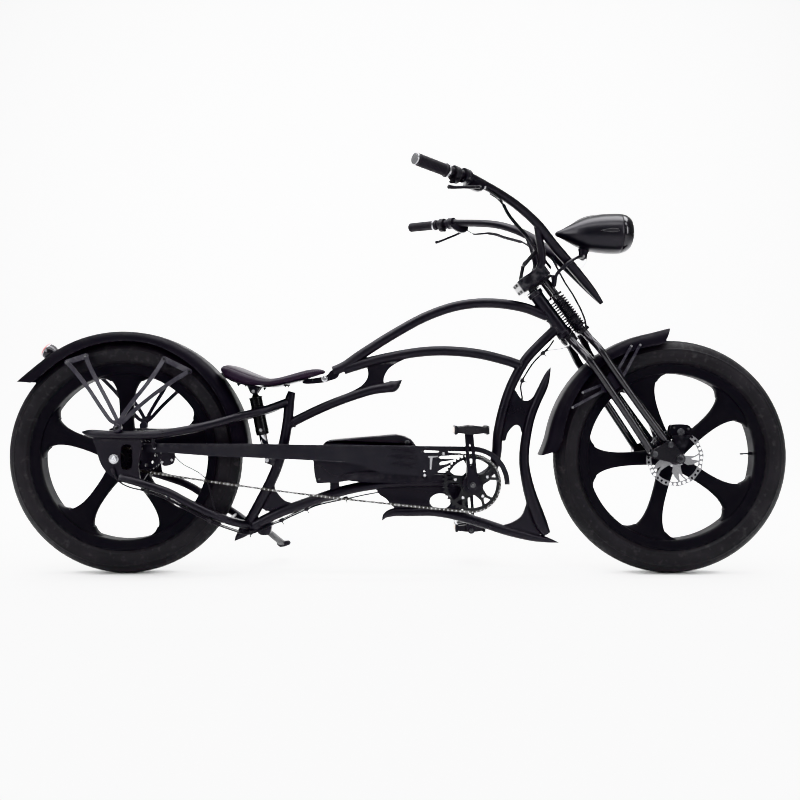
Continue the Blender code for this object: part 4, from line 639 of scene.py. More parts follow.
def cast_spoke(centre, angle, hub):
    """A spoke: crowned across its face, narrowest a third of the way out, and flared into the rim."""
    reach = 0.2625 - hub
    stations = [(-0.01, 0.029, 0.02), (0.04, 0.0265, 0.0172), (0.14, 0.024, 0.0152), (0.28, 0.0225, 0.0142),
        (0.42, 0.0222, 0.0138), (0.56, 0.0238, 0.0138), (0.68, 0.0278, 0.0142), (0.78, 0.0345, 0.0152),
        (0.86, 0.044, 0.017), (0.92, 0.056, 0.0192), (0.965, 0.07, 0.0218), (0.995, 0.086, 0.024),
        (1.03, 0.09, 0.0245)]
    rows = curved([(share, half, thick, 0.0) for share, half, thick in stations], 3)
    outward = Vector((cos(angle), 0, sin(angle)))
    sideways = Vector((-sin(angle), 0, cos(angle)))
    rings = []
    for share, half, thick, _ in rows:
        radius = hub + share * reach
        ring = []
        for step in range(28):
            turn = 2 * pi * (step + 0.5) / 28
            c, s = cos(turn), sin(turn)
            across = half * abs(c) ** 0.62 * (1 if c > 0 else -1)
            crown = thick * abs(s) ** 0.55 * (1 if s > 0 else -1)
            drop = radius - sqrt(max(radius ** 2 - across ** 2, 0.0)) if share > 0.9 else 0.0
            ring.append(centre + outward * (radius - drop) + sideways * across + Vector((0, crown, 0)))
        rings.append(ring)
    return skin(rings)


front_hub_profile = [(0.0072, -0.0535), (0.0195, -0.0535), (0.0203, -0.052), (0.0203, -0.047),
    (0.024, -0.0435), (0.03, -0.0415), (0.0318, -0.037), (0.031, -0.025), (0.03, 0.0), (0.031, 0.025),
    (0.0318, 0.037), (0.03, 0.0415), (0.024, 0.0435), (0.0203, 0.047), (0.0203, 0.059), (0.0195, 0.06),
    (0.0072, 0.06)]
rear_hub_profile = [(0.0072, -0.0458), (0.03, -0.0458), (0.032, -0.044), (0.056, -0.0435), (0.0655, -0.0405),
    (0.069, -0.035), (0.0695, -0.02), (0.068, -0.018), (0.068, 0.018), (0.0695, 0.02), (0.069, 0.035),
    (0.0655, 0.0405), (0.056, 0.0435), (0.032, 0.044), (0.03, 0.0458), (0.0205, 0.053), (0.0072, 0.053)]
for name, centre, first_angle, hub_profile, hub_radius in (
        ("front_wheel", FRONT_AXLE, 39.5, front_hub_profile, 0.03),
        ("rear_wheel", REAR_AXLE, 18.0, rear_hub_profile, 0.068)):
    spokes = [cast_spoke(centre, radians(first_angle + 72 * step), hub_radius) for step in range(5)]
    fit(f"{name}_casting", together(rim_of(centre), turned(hub_profile, centre, segments=96, hollow=True),
        *spokes), cast_black, name, [name])


# Wheel hardware
# A black valve stem comes through each rim, and a ring of small socket screws closes the motor cover on both
# sides of the rear hub.
def screw(centre, axis, head=0.0035, tall=0.003, socket=0.0018):
    """A socket-head screw: a short domed drum with a six-sided recess."""
    top = Vector(centre) + Vector(axis).normalized() * tall
    drum = turned([(head, 0.0), (head, tall * 0.8), (head * 0.9, tall), (socket, tall), (socket, tall * 0.35),
        (0.0001, tall * 0.3)], centre, axis, 24)
    key = turned([(socket * 0.98, -tall * 0.5), (socket * 0.98, -tall * 0.45)], top, axis, 6)
    return together(drum, key)


black_screw = coated("black_screw_steel", (0.035, 0.035, 0.037), (0.06, 0.06, 0.062), 0.28, metal=1.0,
    grain=900.0, depth=0.00001, rub=0.5, dust=0.05)
cover_screws = []
for step in range(8):
    turn = 2 * pi * (step + 0.5) / 8
    for side in (-1, 1):
        spot = REAR_AXLE + Vector((0.048 * cos(turn), side * 0.0433, 0.048 * sin(turn)))
        cover_screws.append(screw(spot, (0, side, 0)))
fit("motor_cover_screws", together(*cover_screws), black_screw, "rear_wheel")
for name, centre, turn in (("front_valve", FRONT_AXLE, radians(2)), ("rear_valve", REAR_AXLE, radians(-54))):
    outward = Vector((cos(turn), 0, sin(turn)))
    foot = centre + outward * 0.263
    stem = turned([(0.005, 0.002), (0.0048, -0.004), (0.0032, -0.01), (0.003, -0.026), (0.0036, -0.0265),
        (0.0036, -0.036), (0.0026, -0.038)], foot, outward, 24)
    fit(name, stem, satin_black, "front_wheel" if "front" in name else "rear_wheel")


# Tyres
# Wide balloon tyres in black rubber. The tread has three ribs of slanted blocks and cut shoulders, and the
# sidewall has a raised rim line, a bead ring and fine moulding lines.
def tyre_rubber(name):
    """Black rubber with mould lines, scuffs and pale road dust settled on its upward faces."""
    material, tree, shader, place = new_finish(name, {"Specular IOR Level": 0.2, "Sheen Weight": 0.04})
    grained = use(tree, grain_group, place, Scale=700.0)
    toned = blended(tree, ramped(tree, grained["Cloud"], 0.3, 0.7), (0.012, 0.0115, 0.013),
        (0.019, 0.018, 0.02))
    scuffed = blended(tree, ramped(tree, noisy(tree, place, 60.0, 8.0, (1.0, 0.25, 1.0)), 0.56, 0.76), toned,
        (0.03, 0.029, 0.031))
    dusted = use(tree, dust_group, place, Colour=scuffed, Dust=(0.09, 0.085, 0.085), Amount=0.1)
    tree.links.new(dusted["Colour"], shader.inputs["Base Color"])
    tree.links.new(ramped(tree, grained["Cloud"], 0.25, 0.75, 0.46, 0.62), shader.inputs["Roughness"])
    bumped(tree, shader, grained["Height"], 0.0005, 0.5)
    return material


TYRE_RING = 0.324
TYRE_HALF = 0.044
TREAD_PITCH = 0.02313


def balloon_tyre(centre):
    """The tyre's skin: every ring is the same section, with the tread cut a little lower in its grooves."""
    section = []
    for across in (0.0, 2.6, 2.9, 8.5, 13.5, 14.0, 15.2, 15.7, 22.0, 27.5, 28.0, 29.4, 30.0, 36.0, 41.0, 46.5,
            47.2, 50.0, 58.0, 66.0, 70.0, 71.0, 73.0, 74.0, 82.0, 94.0, 106.0, 116.0, 118.0, 121.0, 123.0,
            132.0, 140.0):
        turn = radians(across)
        sunk = 0.1 < across <= 2.6 or 14.0 <= across <= 15.2 or 28.0 <= across <= 29.4
        groove = 0.0016 if sunk else 0.0
        line = 0.0009 if 71.0 <= across <= 73.0 or 118.0 <= across <= 121.0 else 0.0
        rib = 0 if across < 14.5 else 1 if across < 28.5 else 2 if across < 47.0 else 3
        section.append((TYRE_RING + (TYRE_HALF - groove + line) * cos(turn),
            (TYRE_HALF - groove + line) * sin(turn), rib))
    steps = 440
    rings = []
    for step in range(steps):
        turn = 2 * pi * step / steps
        ring = []
        for side in (1, -1):
            rows = section if side > 0 else section[:0:-1]
            for radius, across, rib in rows:
                slant = across * 3.2 * side if rib < 2 else across * 1.2
                beat = (turn * TYRE_RING + slant * 0.25 + rib * 0.011) / TREAD_PITCH % 1.0
                cut = 0.0013 if rib < 3 and beat < 0.2 else 0.0
                out = radius - cut * max(0.0, (radius - TYRE_RING) / TYRE_HALF)
                ring.append(centre + Vector((out * cos(turn), side * across, out * sin(turn))))
        inner = [(0.2935, -0.0255), (0.305, -0.034), (0.34, -0.033), (0.36, 0.0), (0.34, 0.033),
            (0.305, 0.034), (0.2935, 0.0255)]
        rings.append((ring, [centre + Vector((out * cos(turn), across, out * sin(turn)))
            for out, across in inner]))
    half = len(section)
    loops = []
    for ring, inner in rings:
        positive, negative = ring[:half], ring[half:]
        loops.append(negative + positive + inner[::-1])
    return skin(loops, loop=True)


tyre_black = tyre_rubber("tyre_rubber")
for name, centre, body in (("front_tyre", FRONT_AXLE, "front_wheel"), ("rear_tyre", REAR_AXLE, "rear_wheel")):
    fit(f"{name}_skin", balloon_tyre(centre), tyre_black, body, [name], sharp=50)


# Brake rotors
# Thin steel discs with one ring of round holes, large windows and five forked arms, each held to its hub by a
# black collar and small screws. The brake tracks are ground, so they show fine circular scratches.
def ground_steel(name, centre):
    """Steel ground in circles round its own centre."""
    material, tree, shader, place = new_finish(name, {"Metallic": 1.0, "Anisotropic": 0.4})
    from_centre = tree.nodes.new("ShaderNodeVectorMath")
    from_centre.operation = "SUBTRACT"
    tree.links.new(place, from_centre.inputs[0])
    from_centre.inputs[1].default_value = centre
    length = tree.nodes.new("ShaderNodeVectorMath")
    length.operation = "LENGTH"
    tree.links.new(from_centre.outputs["Vector"], length.inputs[0])
    lines = tree.nodes.new("ShaderNodeTexNoise")
    lines.noise_dimensions = "1D"
    lines.inputs["Detail"].default_value = 6.0
    lines.inputs["Scale"].default_value = 1.0
    tree.links.new(maths(tree, "MULTIPLY", length.outputs["Value"], 2600.0), lines.inputs["W"])
    tree.links.new(blended(tree, lines.outputs["Fac"], (0.15, 0.15, 0.155), (0.34, 0.34, 0.355)),
        shader.inputs["Base Color"])
    tree.links.new(ramped(tree, lines.outputs["Fac"], 0.2, 0.8, 0.18, 0.42), shader.inputs["Roughness"])
    bumped(tree, shader, lines.outputs["Fac"], 0.0001, 0.3)
    return material


def round_hole(centre, radius, count=16):
    return [(centre[0] + radius * cos(2 * pi * step / count), centre[1] + radius * sin(2 * pi * step / count))
        for step in range(count)]


def spun(centre, radius, turn):
    """An x, z point by its radius and angle about a centre."""
    return centre.x + radius * cos(turn), centre.z + radius * sin(turn)


ROTOR_RADIUS = 0.0888
HOLE_RING = 0.0822
WINDOW_REACH = 0.0742
ROTOR_FACE = 0.0556
for name, centre, side, body in (("front_rotor", FRONT_AXLE, -1, "front_wheel"),
        ("rear_rotor", REAR_AXLE, 1, "rear_wheel")):
    low = side * 0.055 - 0.001
    outer = []
    for step in range(144):
        wave = 0.001 * sin(step * 2 * pi / 144 * 12)
        outer.append(spun(centre, ROTOR_RADIUS + wave, 2 * pi * step / 144))
    holes = []
    for step in range(36):
        turn = 2 * pi * step / 36
        holes.append(round_hole(spun(centre, HOLE_RING, turn), 0.0041, 12))
    windows = []
    for step in range(5):
        start = 2 * pi * step / 5
        wide = [spun(centre, WINDOW_REACH, start + radians(11 + 50 * part / 8)) for part in range(9)]
        wide += [spun(centre, radius, start + radians(turn))
            for radius, turn in ((0.06, 52), (0.045, 42), (0.031, 41), (0.027, 30), (0.031, 15), (0.045, 8),
            (0.06, 6))]
        windows.append(wide)
        windows.append([spun(centre, WINDOW_REACH, start + radians(-6 + 12 * part / 3)) for part in range(4)]
            + [spun(centre, 0.062, start + radians(1)), spun(centre, 0.05, start + radians(-4)),
            spun(centre, 0.062, start + radians(-5))])
    band = cut_plate(outer, low, low + 0.002, [*holes, *windows,
        [spun(centre, 0.0205 if side > 0 else 0.01, 2 * pi * step / 60) for step in range(60)]])
    fit(f"{name}_track", band, ground_steel(f"{name}_ground", centre), body, [name], bevel=0.0002)
    hub_ring = turned([(0.0102, 0.0), (0.0215, 0.0), (0.0215, 0.0012), (0.0185, 0.002), (0.0102, 0.002)],
        centre + Vector((0, side * ROTOR_FACE, 0)), (0, side, 0), 48, hollow=True)
    if side > 0:
        hub_ring = turned([(0.0205, 0.0), (0.0245, 0.0), (0.0245, 0.0014), (0.0205, 0.0014)],
            centre + Vector((0, side * ROTOR_FACE, 0)), (0, side, 0), 48, hollow=True)
    rivets = [screw(Vector((*spun(centre, 0.0262, 2 * pi * (step + 0.4) / 5), 0)).xzy
        + Vector((0, side * ROTOR_FACE, 0)), (0, side, 0), 0.0038, 0.0014, 0.0016) for step in range(5)]
    fit(f"{name}_hub_ring", hub_ring, satin_black, body, bevel=0.0003)
    fit(f"{name}_rivets", together(*rivets), bright_steel, body)


# Axles
# The rear axle is a solid threaded rod with a washer and a hexagon nut outside each dropout, and a domed cap
# over the end of the thread.
def hex_nut(centre, axis, across=0.0115, tall=0.009):
    """A six-sided nut with its corners turned off."""
    return turned([(across * 0.86, 0.0), (across, tall * 0.12), (across, tall * 0.86), (across * 0.86, tall),
        (across * 0.55, tall)], centre, axis, 6)


rear_axle_parts = [turned([(0.0058, -0.119), (0.006, -0.117), (0.006, 0.117), (0.0058, 0.119)], REAR_AXLE)]
for side in (-1, 1):
    face = REAR_AXLE + Vector((0, side * 0.1093, 0))
    rear_axle_parts += [turned([(0.0062, 0.0), (0.0145, 0.0), (0.0145, 0.0016), (0.0062, 0.0016)], face,
        (0, side, 0), hollow=True), hex_nut(face + Vector((0, side * 0.0016, 0)), (0, side, 0), 0.0112,
        0.008), turned([(0.0062, 0.0), (0.0062, 0.0016), (0.004, 0.0034), (0.0002, 0.0038)],
        face + Vector((0, side * 0.009, 0)), (0, side, 0), 32)]
fit("rear_axle_and_nuts", together(*rear_axle_parts), bright_steel, "frame", ["rear_axle"],
    bevel=0.0003)


# Springer fork
# A fixed pair of tube legs is welded to the crown, and a second pair in front hangs from two long springs on
# telescopic posts. Short rockers join the pairs at the bottom and carry the axle. All of it is gloss black.
gloss_black = coated("gloss_black_enamel", (0.006, 0.006, 0.0065), (0.0085, 0.0085, 0.009), 0.2, coat=0.5,
    grain=220.0, depth=0.000015, rub=0.12, dust=0.06, spread=0.05)
LEG = 0.0132
LEG_SPREAD = 0.075
SPRING_FORWARD = 0.047
SPRING_SPREAD = 0.026
rear_leg_rows = [(0.185, 0.0, 0.026), (0.215, -0.001, 0.04), (0.245, -0.002, 0.06),
    (0.278, -0.003, LEG_SPREAD), (0.34, -0.004, LEG_SPREAD), (0.47, -0.009, LEG_SPREAD),
    (0.612, -0.017, LEG_SPREAD)]
front_leg_rows = [(0.19, 0.047, 0.03), (0.225, 0.046, 0.045), (0.25, 0.045, 0.062), (0.28, 0.043, LEG_SPREAD),
    (0.34, 0.04, LEG_SPREAD), (0.47, 0.037, LEG_SPREAD), (0.618, 0.0365, LEG_SPREAD)]


def fork_block(down, forward, half_width):
    """A block whose faces follow the steering axis."""
    corners = [tuple(by_fork(a, b).xz) for a, b in ((down[0], forward[0]), (down[1], forward[0]),
        (down[1], forward[1]), (down[0], forward[1]))]
    return cut_plate(corners, -half_width, half_width)


rear_legs = []
front_legs = []
for side in (-1, 1):
    rear_legs.append(bent_tube([(*by_fork(down, ahead, side * out), LEG)
        for down, ahead, out in rear_leg_rows], 32, 8))
    rear_legs.append(turned([(0.0115, -0.0125), (0.013, -0.011), (0.013, 0.0134), (0.012, 0.0144)],
        by_fork(0.6165, -0.019, side * LEG_SPREAD), (0, side, 0)))
    front_legs.append(bent_tube([(*by_fork(down, ahead, side * out), LEG - 0.001)
        for down, ahead, out in front_leg_rows], 32, 8))
    front_legs.append(turned([(0.011, -0.0118), (0.012, -0.0105), (0.012, 0.0105), (0.011, 0.0118)],
        by_fork(0.622, 0.0366, side * LEG_SPREAD), (0, side, 0)))
crown = turned([(0.018, 0.1738), (0.0262, 0.1745), (0.0265, 0.186), (0.023, 0.198), (0.016, 0.202)], HEAD_TOP,
    STEER_DOWN, 64)
crown_bar = fork_block((0.176, 0.202), (-0.0165, 0.0165), 0.04)
fit("rear_legs_skin", together(*rear_legs, crown, crown_bar), gloss_black, "steering",
    ["fork_rear_legs"], bevel=0.0022)
yoke = fork_block((0.1834, 0.1945), (0.03, 0.0655), 0.0455)
yoke_cups = [turned([(0.0185, -0.0006), (0.0192, 0.001), (0.0192, 0.006), (0.015, 0.008)],
    by_fork(0.184, SPRING_FORWARD, side * SPRING_SPREAD), STEER_DOWN, 48) for side in (-1, 1)]
fit("front_legs_skin", together(*front_legs, yoke, *yoke_cups), gloss_black, "front_legs",
    ["fork_front_legs"], bevel=0.0022)

rocker_pivot = by_fork(0.6165, -0.019)
rocker_link = by_fork(0.622, 0.0366)


def arc_points(centre, radius, first, last, count):
    """Points of an arc in x and z, with its angles in degrees."""
    return [spun(centre, radius, radians(first + (last - first) * step / (count - 1)))
        for step in range(count)]


dark_bolt = coated("dark_bolt_steel", (0.045, 0.045, 0.048), (0.075, 0.075, 0.08), 0.3, metal=0.9,
    grain=700.0, rub=0.5)
rocker_line = (arc_points(rocker_pivot, 0.014, 95, 262, 9) + arc_points(FRONT_AXLE, 0.017, 250, 372, 9)
    + arc_points(rocker_link, 0.013, 38, 124, 6))
rocker_parts = [turned([(0.0058, -0.105), (0.006, -0.104), (0.006, 0.104), (0.0058, 0.105)], FRONT_AXLE)]
rocker_bolts = []
for side in (-1, 1):
    inner, outer = sorted((side * 0.09, side * 0.098))
    rocker_parts.append(cut_plate(rocker_line, inner, outer))
    for spot, across in ((rocker_pivot, 0.009), (rocker_link, 0.0085), (FRONT_AXLE, 0.0115)):
        face = Vector((spot.x, side * 0.098, spot.z))
        rocker_bolts.append(turned([(0.004, 0.0), (across * 1.2, 0.0), (across * 1.2, 0.0012),
            (0.004, 0.0012)], face, (0, side, 0), hollow=True))
        rocker_bolts.append(hex_nut(face + Vector((0, side * 0.001, 0)), (0, side, 0), across, 0.0058))
fit("rockers_and_axle", together(*rocker_parts), gloss_black, "rockers", ["fork_rockers"],
    bevel=0.0012)
fit("rocker_bolts", together(*rocker_bolts), dark_bolt, "rockers", bevel=0.0003)

perch = [tuple(by_fork(down, ahead).xz) for down, ahead in ((-0.0142, -0.022), (-0.0142, 0.066),
    (-0.0045, 0.066), (-0.0045, -0.022))]
steerer_parts = [turned([(0.0145, -0.05), (0.015, -0.049), (0.015, 0.173), (0.0145, 0.174)], HEAD_TOP,
    STEER_DOWN, 48)]
bearing_cap = turned([(0.0152, -0.0042), (0.0245, -0.0042), (0.025, -0.003), (0.025, -0.0008),
    (0.0152, -0.0006)], HEAD_TOP, STEER_DOWN, 48, hollow=True)
spring_posts = []
for side in (-1, 1):
    foot = by_fork(0, SPRING_FORWARD, side * SPRING_SPREAD)
    spring_posts.append(turned([(0.01, -0.006), (0.01, 0.044), (0.0185, 0.046), (0.019, 0.0475),
        (0.019, 0.0535), (0.018, 0.0547), (0.0078, 0.055), (0.0078, 0.15)], foot, STEER_DOWN, 48))
    spring_sleeve = turned([(0.0086, 0.128), (0.0112, 0.128), (0.0112, 0.1836), (0.0086, 0.1836)], foot,
        STEER_DOWN, 40, hollow=True)
    fit(f"spring_sleeve_{'right' if side < 0 else 'left'}", spring_sleeve, satin_black, "front_legs")
    steerer_parts.append(hex_nut(by_fork(-0.0142, SPRING_FORWARD, side * SPRING_SPREAD), -STEER_DOWN, 0.0095,
        0.007))
fit("steerer_tube", together(*steerer_parts), bright_steel, "steering", ["fork_steerer"],
    bevel=0.0005)
fit("spring_posts_and_perch", together(cut_plate(perch, -0.0455, 0.0455), bearing_cap, *spring_posts),
    gloss_black, "steering", bevel=0.003)


# Fork springs
# Two coil springs of thirteen curls, wound from 5.6 mm wire in black enamel. Their lower ends rest on the
# front legs' yoke.
def fork_spring(side):
    """One spring's wire, swept along its coil."""
    top, bottom, curls, wire, radius = 0.055, 0.183, 13, 0.0028, 0.0182
    length = bottom - top
    straight = 0.0055
    base = by_fork(top, SPRING_FORWARD, side * SPRING_SPREAD)
    first = Vector((0, 1, 0))
    second = STEER_DOWN.cross(first)
    steps = curls * 24
    centres = []
    for step in range(steps + 1):
        turn = 2 * pi * step / 24
        height = straight + (length - 2 * straight) * step / steps
        centres.append(base + STEER_DOWN * height + (first * cos(turn) + second * sin(turn)) * radius)
    centres = [centres[0] - STEER_DOWN * (straight - 0.0004), *centres,
        centres[-1] + STEER_DOWN * (straight - 0.0004)]
    rings = []
    for index, centre in enumerate(centres):
        along = (centres[min(index + 1, len(centres) - 1)] - centres[max(index - 1, 0)]).normalized()
        outward = centre - (base + STEER_DOWN * (centre - base).dot(STEER_DOWN))
        outward = (outward - along * outward.dot(along)).normalized()
        up = along.cross(outward)
        rings.append(ring_of(centre, outward, up, wire, wire, 10))
    return skin(rings)


spring_black = coated("spring_enamel", (0.004, 0.004, 0.0045), (0.0065, 0.0065, 0.007), 0.34, grain=320.0,
    depth=0.00002, rub=0.1, dust=0.05, shine=0.22)
for name, side in (("fork_spring_right", -1), ("fork_spring_left", 1)):
    coil = fit(f"{name}_wire", fork_spring(side), spring_black, None, [name], sharp=60)
    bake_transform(coil)


# Mudguards
# Rolled steel guards with a crowned top, deep skirts and a wired edge, in dull black. Dark grey flat bars
# hold them: short pairs on a bracket at the front, and long bent arms bolted to the upper stays at the back.
GUARD_HALF_WIDTH = 0.056


GUARD_RADIUS = 0.396


def mudguard(centre, first, last, flares, slants):
    """The guard's skin; its skirts deepen and slant back towards both ends, as the solid's do."""
    steps = 120
    rings = []
    for step in range(steps + 1):
        share = step / steps
        turn = first + (last - first) * share
        near_first = max(0.0, 1 - share * 8)
        near_last = max(0.0, 1 - (1 - share) * 8)
        outer = GUARD_RADIUS + flares[0] * near_first ** 2 + flares[1] * near_last ** 2
        slant = slants[0] * near_first - slants[1] * near_last
        skirt = 0.03 + 0.016 * abs(2 * share - 1)
        wide = GUARD_HALF_WIDTH
        half = []
        for part in range(11):
            across = part / 10
            drop = (skirt * 0.45 - 0.004) * max(0.0, (across - 0.62) / 0.38) ** 2
            half.append((outer - 0.004 * across ** 2 - drop, across * wide))
        half += [(outer - skirt * 0.62, wide + 0.0002), (outer - skirt * 0.8, wide),
            (outer - skirt + 0.0024, wide), (outer - skirt + 0.0012, wide + 0.0011),
            (outer - skirt - 0.0006, wide + 0.0009), (outer - skirt - 0.001, wide - 0.0012)]
        inner = [(out - 0.0022, max(0.0, across - 0.002)) for out, across in half[:11]]
        inner += [(outer - skirt * 0.62, wide - 0.002), (outer - skirt + 0.002, wide - 0.0022)]
        loop = half + inner[::-1]
        loop += [(out, -across) for out, across in loop[::-1] if across > 0]
        ring = []
        for out, across in loop:
            angle = turn + slant * (outer - out) / skirt
            ring.append(Vector((centre.x + out * cos(angle), across, centre.z + out * sin(angle))))
        rings.append(ring)
    return skin(rings)


def flat_bar(start, end, tall=0.007, thick=0.0015):
    """A straight flat bar with rounded ends, thin across the bike."""
    start, end = Vector(start), Vector(end)
    along = (end - start).normalized()
    side = (Vector((0, 1, 0)) - along * along.y).normalized()
    up = along.cross(side)
    line = []
    length = (end - start).length
    for step in range(9):
        turn = radians(-90 + 180 * step / 8)
        line.append((length + tall * cos(turn), tall * sin(turn)))
    for step in range(9):
        turn = radians(90 + 180 * step / 8)
        line.append((tall * cos(turn), tall * sin(turn)))
    rings = [[start + along * a + up * b + side * thick * c for a, b in line] for c in (-1, 1)]
    return skin(rings)


dark_grey = coated("dark_grey_enamel", (0.024, 0.023, 0.028), (0.03, 0.029, 0.034), 0.4, grain=520.0,
    bare=(0.3, 0.3, 0.31), rub=0.35, dust=0.06)
guard_paint = coated("mudguard_paint", (0.006, 0.0058, 0.007), (0.0095, 0.009, 0.0105), 0.56, grain=650.0,
    depth=0.00003, rub=0.2, dust=0.06, shine=0.15)
fit("front_mudguard", mudguard(FRONT_AXLE, radians(91), radians(179.5), (0.01, 0.018),
    (radians(3.5), radians(2.5))), guard_paint, "steering", ["front_fender"], sharp=50)
fit("rear_mudguard", mudguard(REAR_AXLE, radians(5.5), radians(145), (0.0, 0.014), (0.0, radians(4.5))),
    guard_paint, "frame", ["rear_fender"], sharp=50)

front_stays = []
front_stay_bolts = []
for side in (-1, 1):
    face = side * (GUARD_HALF_WIDTH + 0.0022)
    for (start_x, start_z), (end_x, end_z) in (((0.7234, 0.7135), (0.676, 0.63)),
            ((0.7505, 0.7174), (0.69, 0.606)), ((0.5414, 0.5238), (0.655, 0.586)),
            ((0.5724, 0.5702), (0.662, 0.606))):
        front_stays.append(flat_bar((start_x, face, start_z), (end_x, face + side * 0.002, end_z), 0.0042))
        front_stay_bolts.append(screw((start_x, face + side * 0.0014, start_z), (0, side, 0), 0.004, 0.0026,
            0.0018))
    inner, outer = sorted((side * 0.059, side * 0.0618))
    front_stays.append(cut_plate(rounded_line([(0.63, 0.574), (0.664, 0.574), (0.7, 0.602), (0.688, 0.642),
        (0.664, 0.64), (0.64, 0.606)], 3), inner, outer))
fit("front_mudguard_stays", together(*front_stays), dark_grey, "steering", bevel=0.0004)
fit("front_mudguard_bolts", together(*front_stay_bolts), bright_steel, "steering")


def bent_bar(points, tall, thick):
    """A flat bar bent through rows of x, y and z, with rounded ends."""
    curve = [Vector(row[:3]) for row in curved([(*point, 0.0) for point in points], 5)]
    last = len(curve) - 1
    rings = []
    for index, centre in enumerate(curve):
        along = (curve[min(index + 1, last)] - curve[max(index - 1, 0)]).normalized()
        side = (Vector((0, 1, 0)) - along * along.y).normalized()
        up = along.cross(side)
        high = tall * (0.72 if index in (0, last) else 1.0)
        rings.append([centre + up * high * a + side * thick * b
            for a, b in ((1, -1), (1, 1), (-1, 1), (-1, -1))])
    return skin(rings)


stay_arms = [[(-0.8673, 0.119, 0.4867), (-0.8982, 0.112, 0.5249), (-0.9419, 0.098, 0.5824),
    (-0.9911, 0.08, 0.6368), (-1.023, 0.0612, 0.664)],
    [(-0.8502, 0.119, 0.4947), (-0.8761, 0.112, 0.541), (-0.9116, 0.098, 0.5976), (-0.9475, 0.078, 0.6533),
    (-0.965, 0.0612, 0.683)], [(-0.8311, 0.119, 0.4968), (-0.8057, 0.112, 0.5369), (-0.7699, 0.098, 0.5875),
    (-0.739, 0.078, 0.639), (-0.723, 0.0612, 0.674)],
    [(-0.819, 0.119, 0.4907), (-0.7856, 0.112, 0.5249), (-0.7315, 0.098, 0.5723), (-0.6819, 0.08, 0.6103),
    (-0.645, 0.0612, 0.636)]]
for name, side in (("rear_fender_stay_right", -1), ("rear_fender_stay_left", 1)):
    bars = []
    bolts = []
    for arm in stay_arms:
        bars.append(bent_bar([(-0.8414 + (arm[0][0] + 0.8414) * 0.3, side * 0.12, 0.4767),
            *[(x, side * y, z) for x, y, z in arm]], 0.0066, 0.0016))
        x, z = arm[-1][0], arm[-1][2]
        bolts.append(screw((x, side * 0.0628, z), (0, side, 0), 0.0042, 0.0028, 0.0019))
    for start, end in ((stay_arms[0][-1], stay_arms[1][-1]), (stay_arms[2][-1], stay_arms[3][-1])):
        bars.append(flat_bar((start[0], side * 0.0604, start[2]), (end[0], side * 0.0604, end[2]), 0.0085,
            0.0018))
    disc = turned([(0.0125, -0.009), (0.013, -0.008), (0.013, 0.0066), (0.012, 0.0078)],
        (-0.846, side * 0.1165, 0.462), (0, side, 0), 48)
    bars.append(bent_bar([(-0.846, side * 0.119, 0.462), (-0.844, side * 0.12, 0.47),
        (-0.8414, side * 0.12, 0.486)], 0.0115, 0.002))
    fit(f"{name}_bars", together(*bars, disc), dark_grey, "frame", [name], bevel=0.0004)
    bolts.append(hex_nut((-0.846, side * 0.1243, 0.462), (0, side, 0), 0.0072, 0.0016))
    fit(f"{name}_bolts", together(*bolts), black_screw, "frame")


# Tail light
# A round moulded lamp on the end of the rear guard: a black body with a bright ring, and a red lens that is
# ribbed inside; its sparkle is painted, each rib cell bright red at its middle and dark red at its edge.
light_axis = Vector((-cos(radians(32)), 0.0, sin(radians(32))))
light_base = Vector((-1.09, 0.0, 0.69))
fit("tail_light_body", turned([(0.019, -0.0115), (0.021, -0.002), (0.0245, 0.006), (0.0258, 0.009),
    (0.0264, 0.017), (0.0258, 0.0235), (0.019, 0.024)], light_base, light_axis, 64), gloss_black, "frame",
    ["tail_light_housing"])
fit("tail_light_ring", turned([(0.0243, 0.0228), (0.0262, 0.0232), (0.0264, 0.025), (0.0252, 0.0262),
    (0.0243, 0.0252)], light_base, light_axis, 64, hollow=True), bright_steel, "frame")
red_plastic, red_tree, red_shader, red_place = new_finish("red_lens_plastic",
    {"Roughness": 0.12, "Coat Weight": 0.6, "Emission Strength": 0.1,
    "Emission Color": (0.8, 0.02, 0.01, 1.0)})
# Painted sparkle: each cell of the lens's ribbing is painted bright red at its middle and dark red at its
# edge.
painted_sparkle_cells = red_tree.nodes.new("ShaderNodeTexVoronoi")
painted_sparkle_cells.inputs["Scale"].default_value = 320.0
red_tree.links.new(red_place, painted_sparkle_cells.inputs["Vector"])
red_tree.links.new(blended(red_tree, painted_sparkle_cells.outputs["Distance"], (0.55, 0.01, 0.008),
    (0.16, 0.004, 0.004)), red_shader.inputs["Base Color"])
bumped(red_tree, red_shader, painted_sparkle_cells.outputs["Distance"], 0.0006)
fit("tail_light_lens_moulding", turned([(0.0243, 0.024), (0.0246, 0.0262), (0.024, 0.0292), (0.0205, 0.0318),
    (0.015, 0.0332), (0.008, 0.0339), (0.0005, 0.0341)], light_base, light_axis, 64), red_plastic, "frame",
    ["tail_light_lens"])


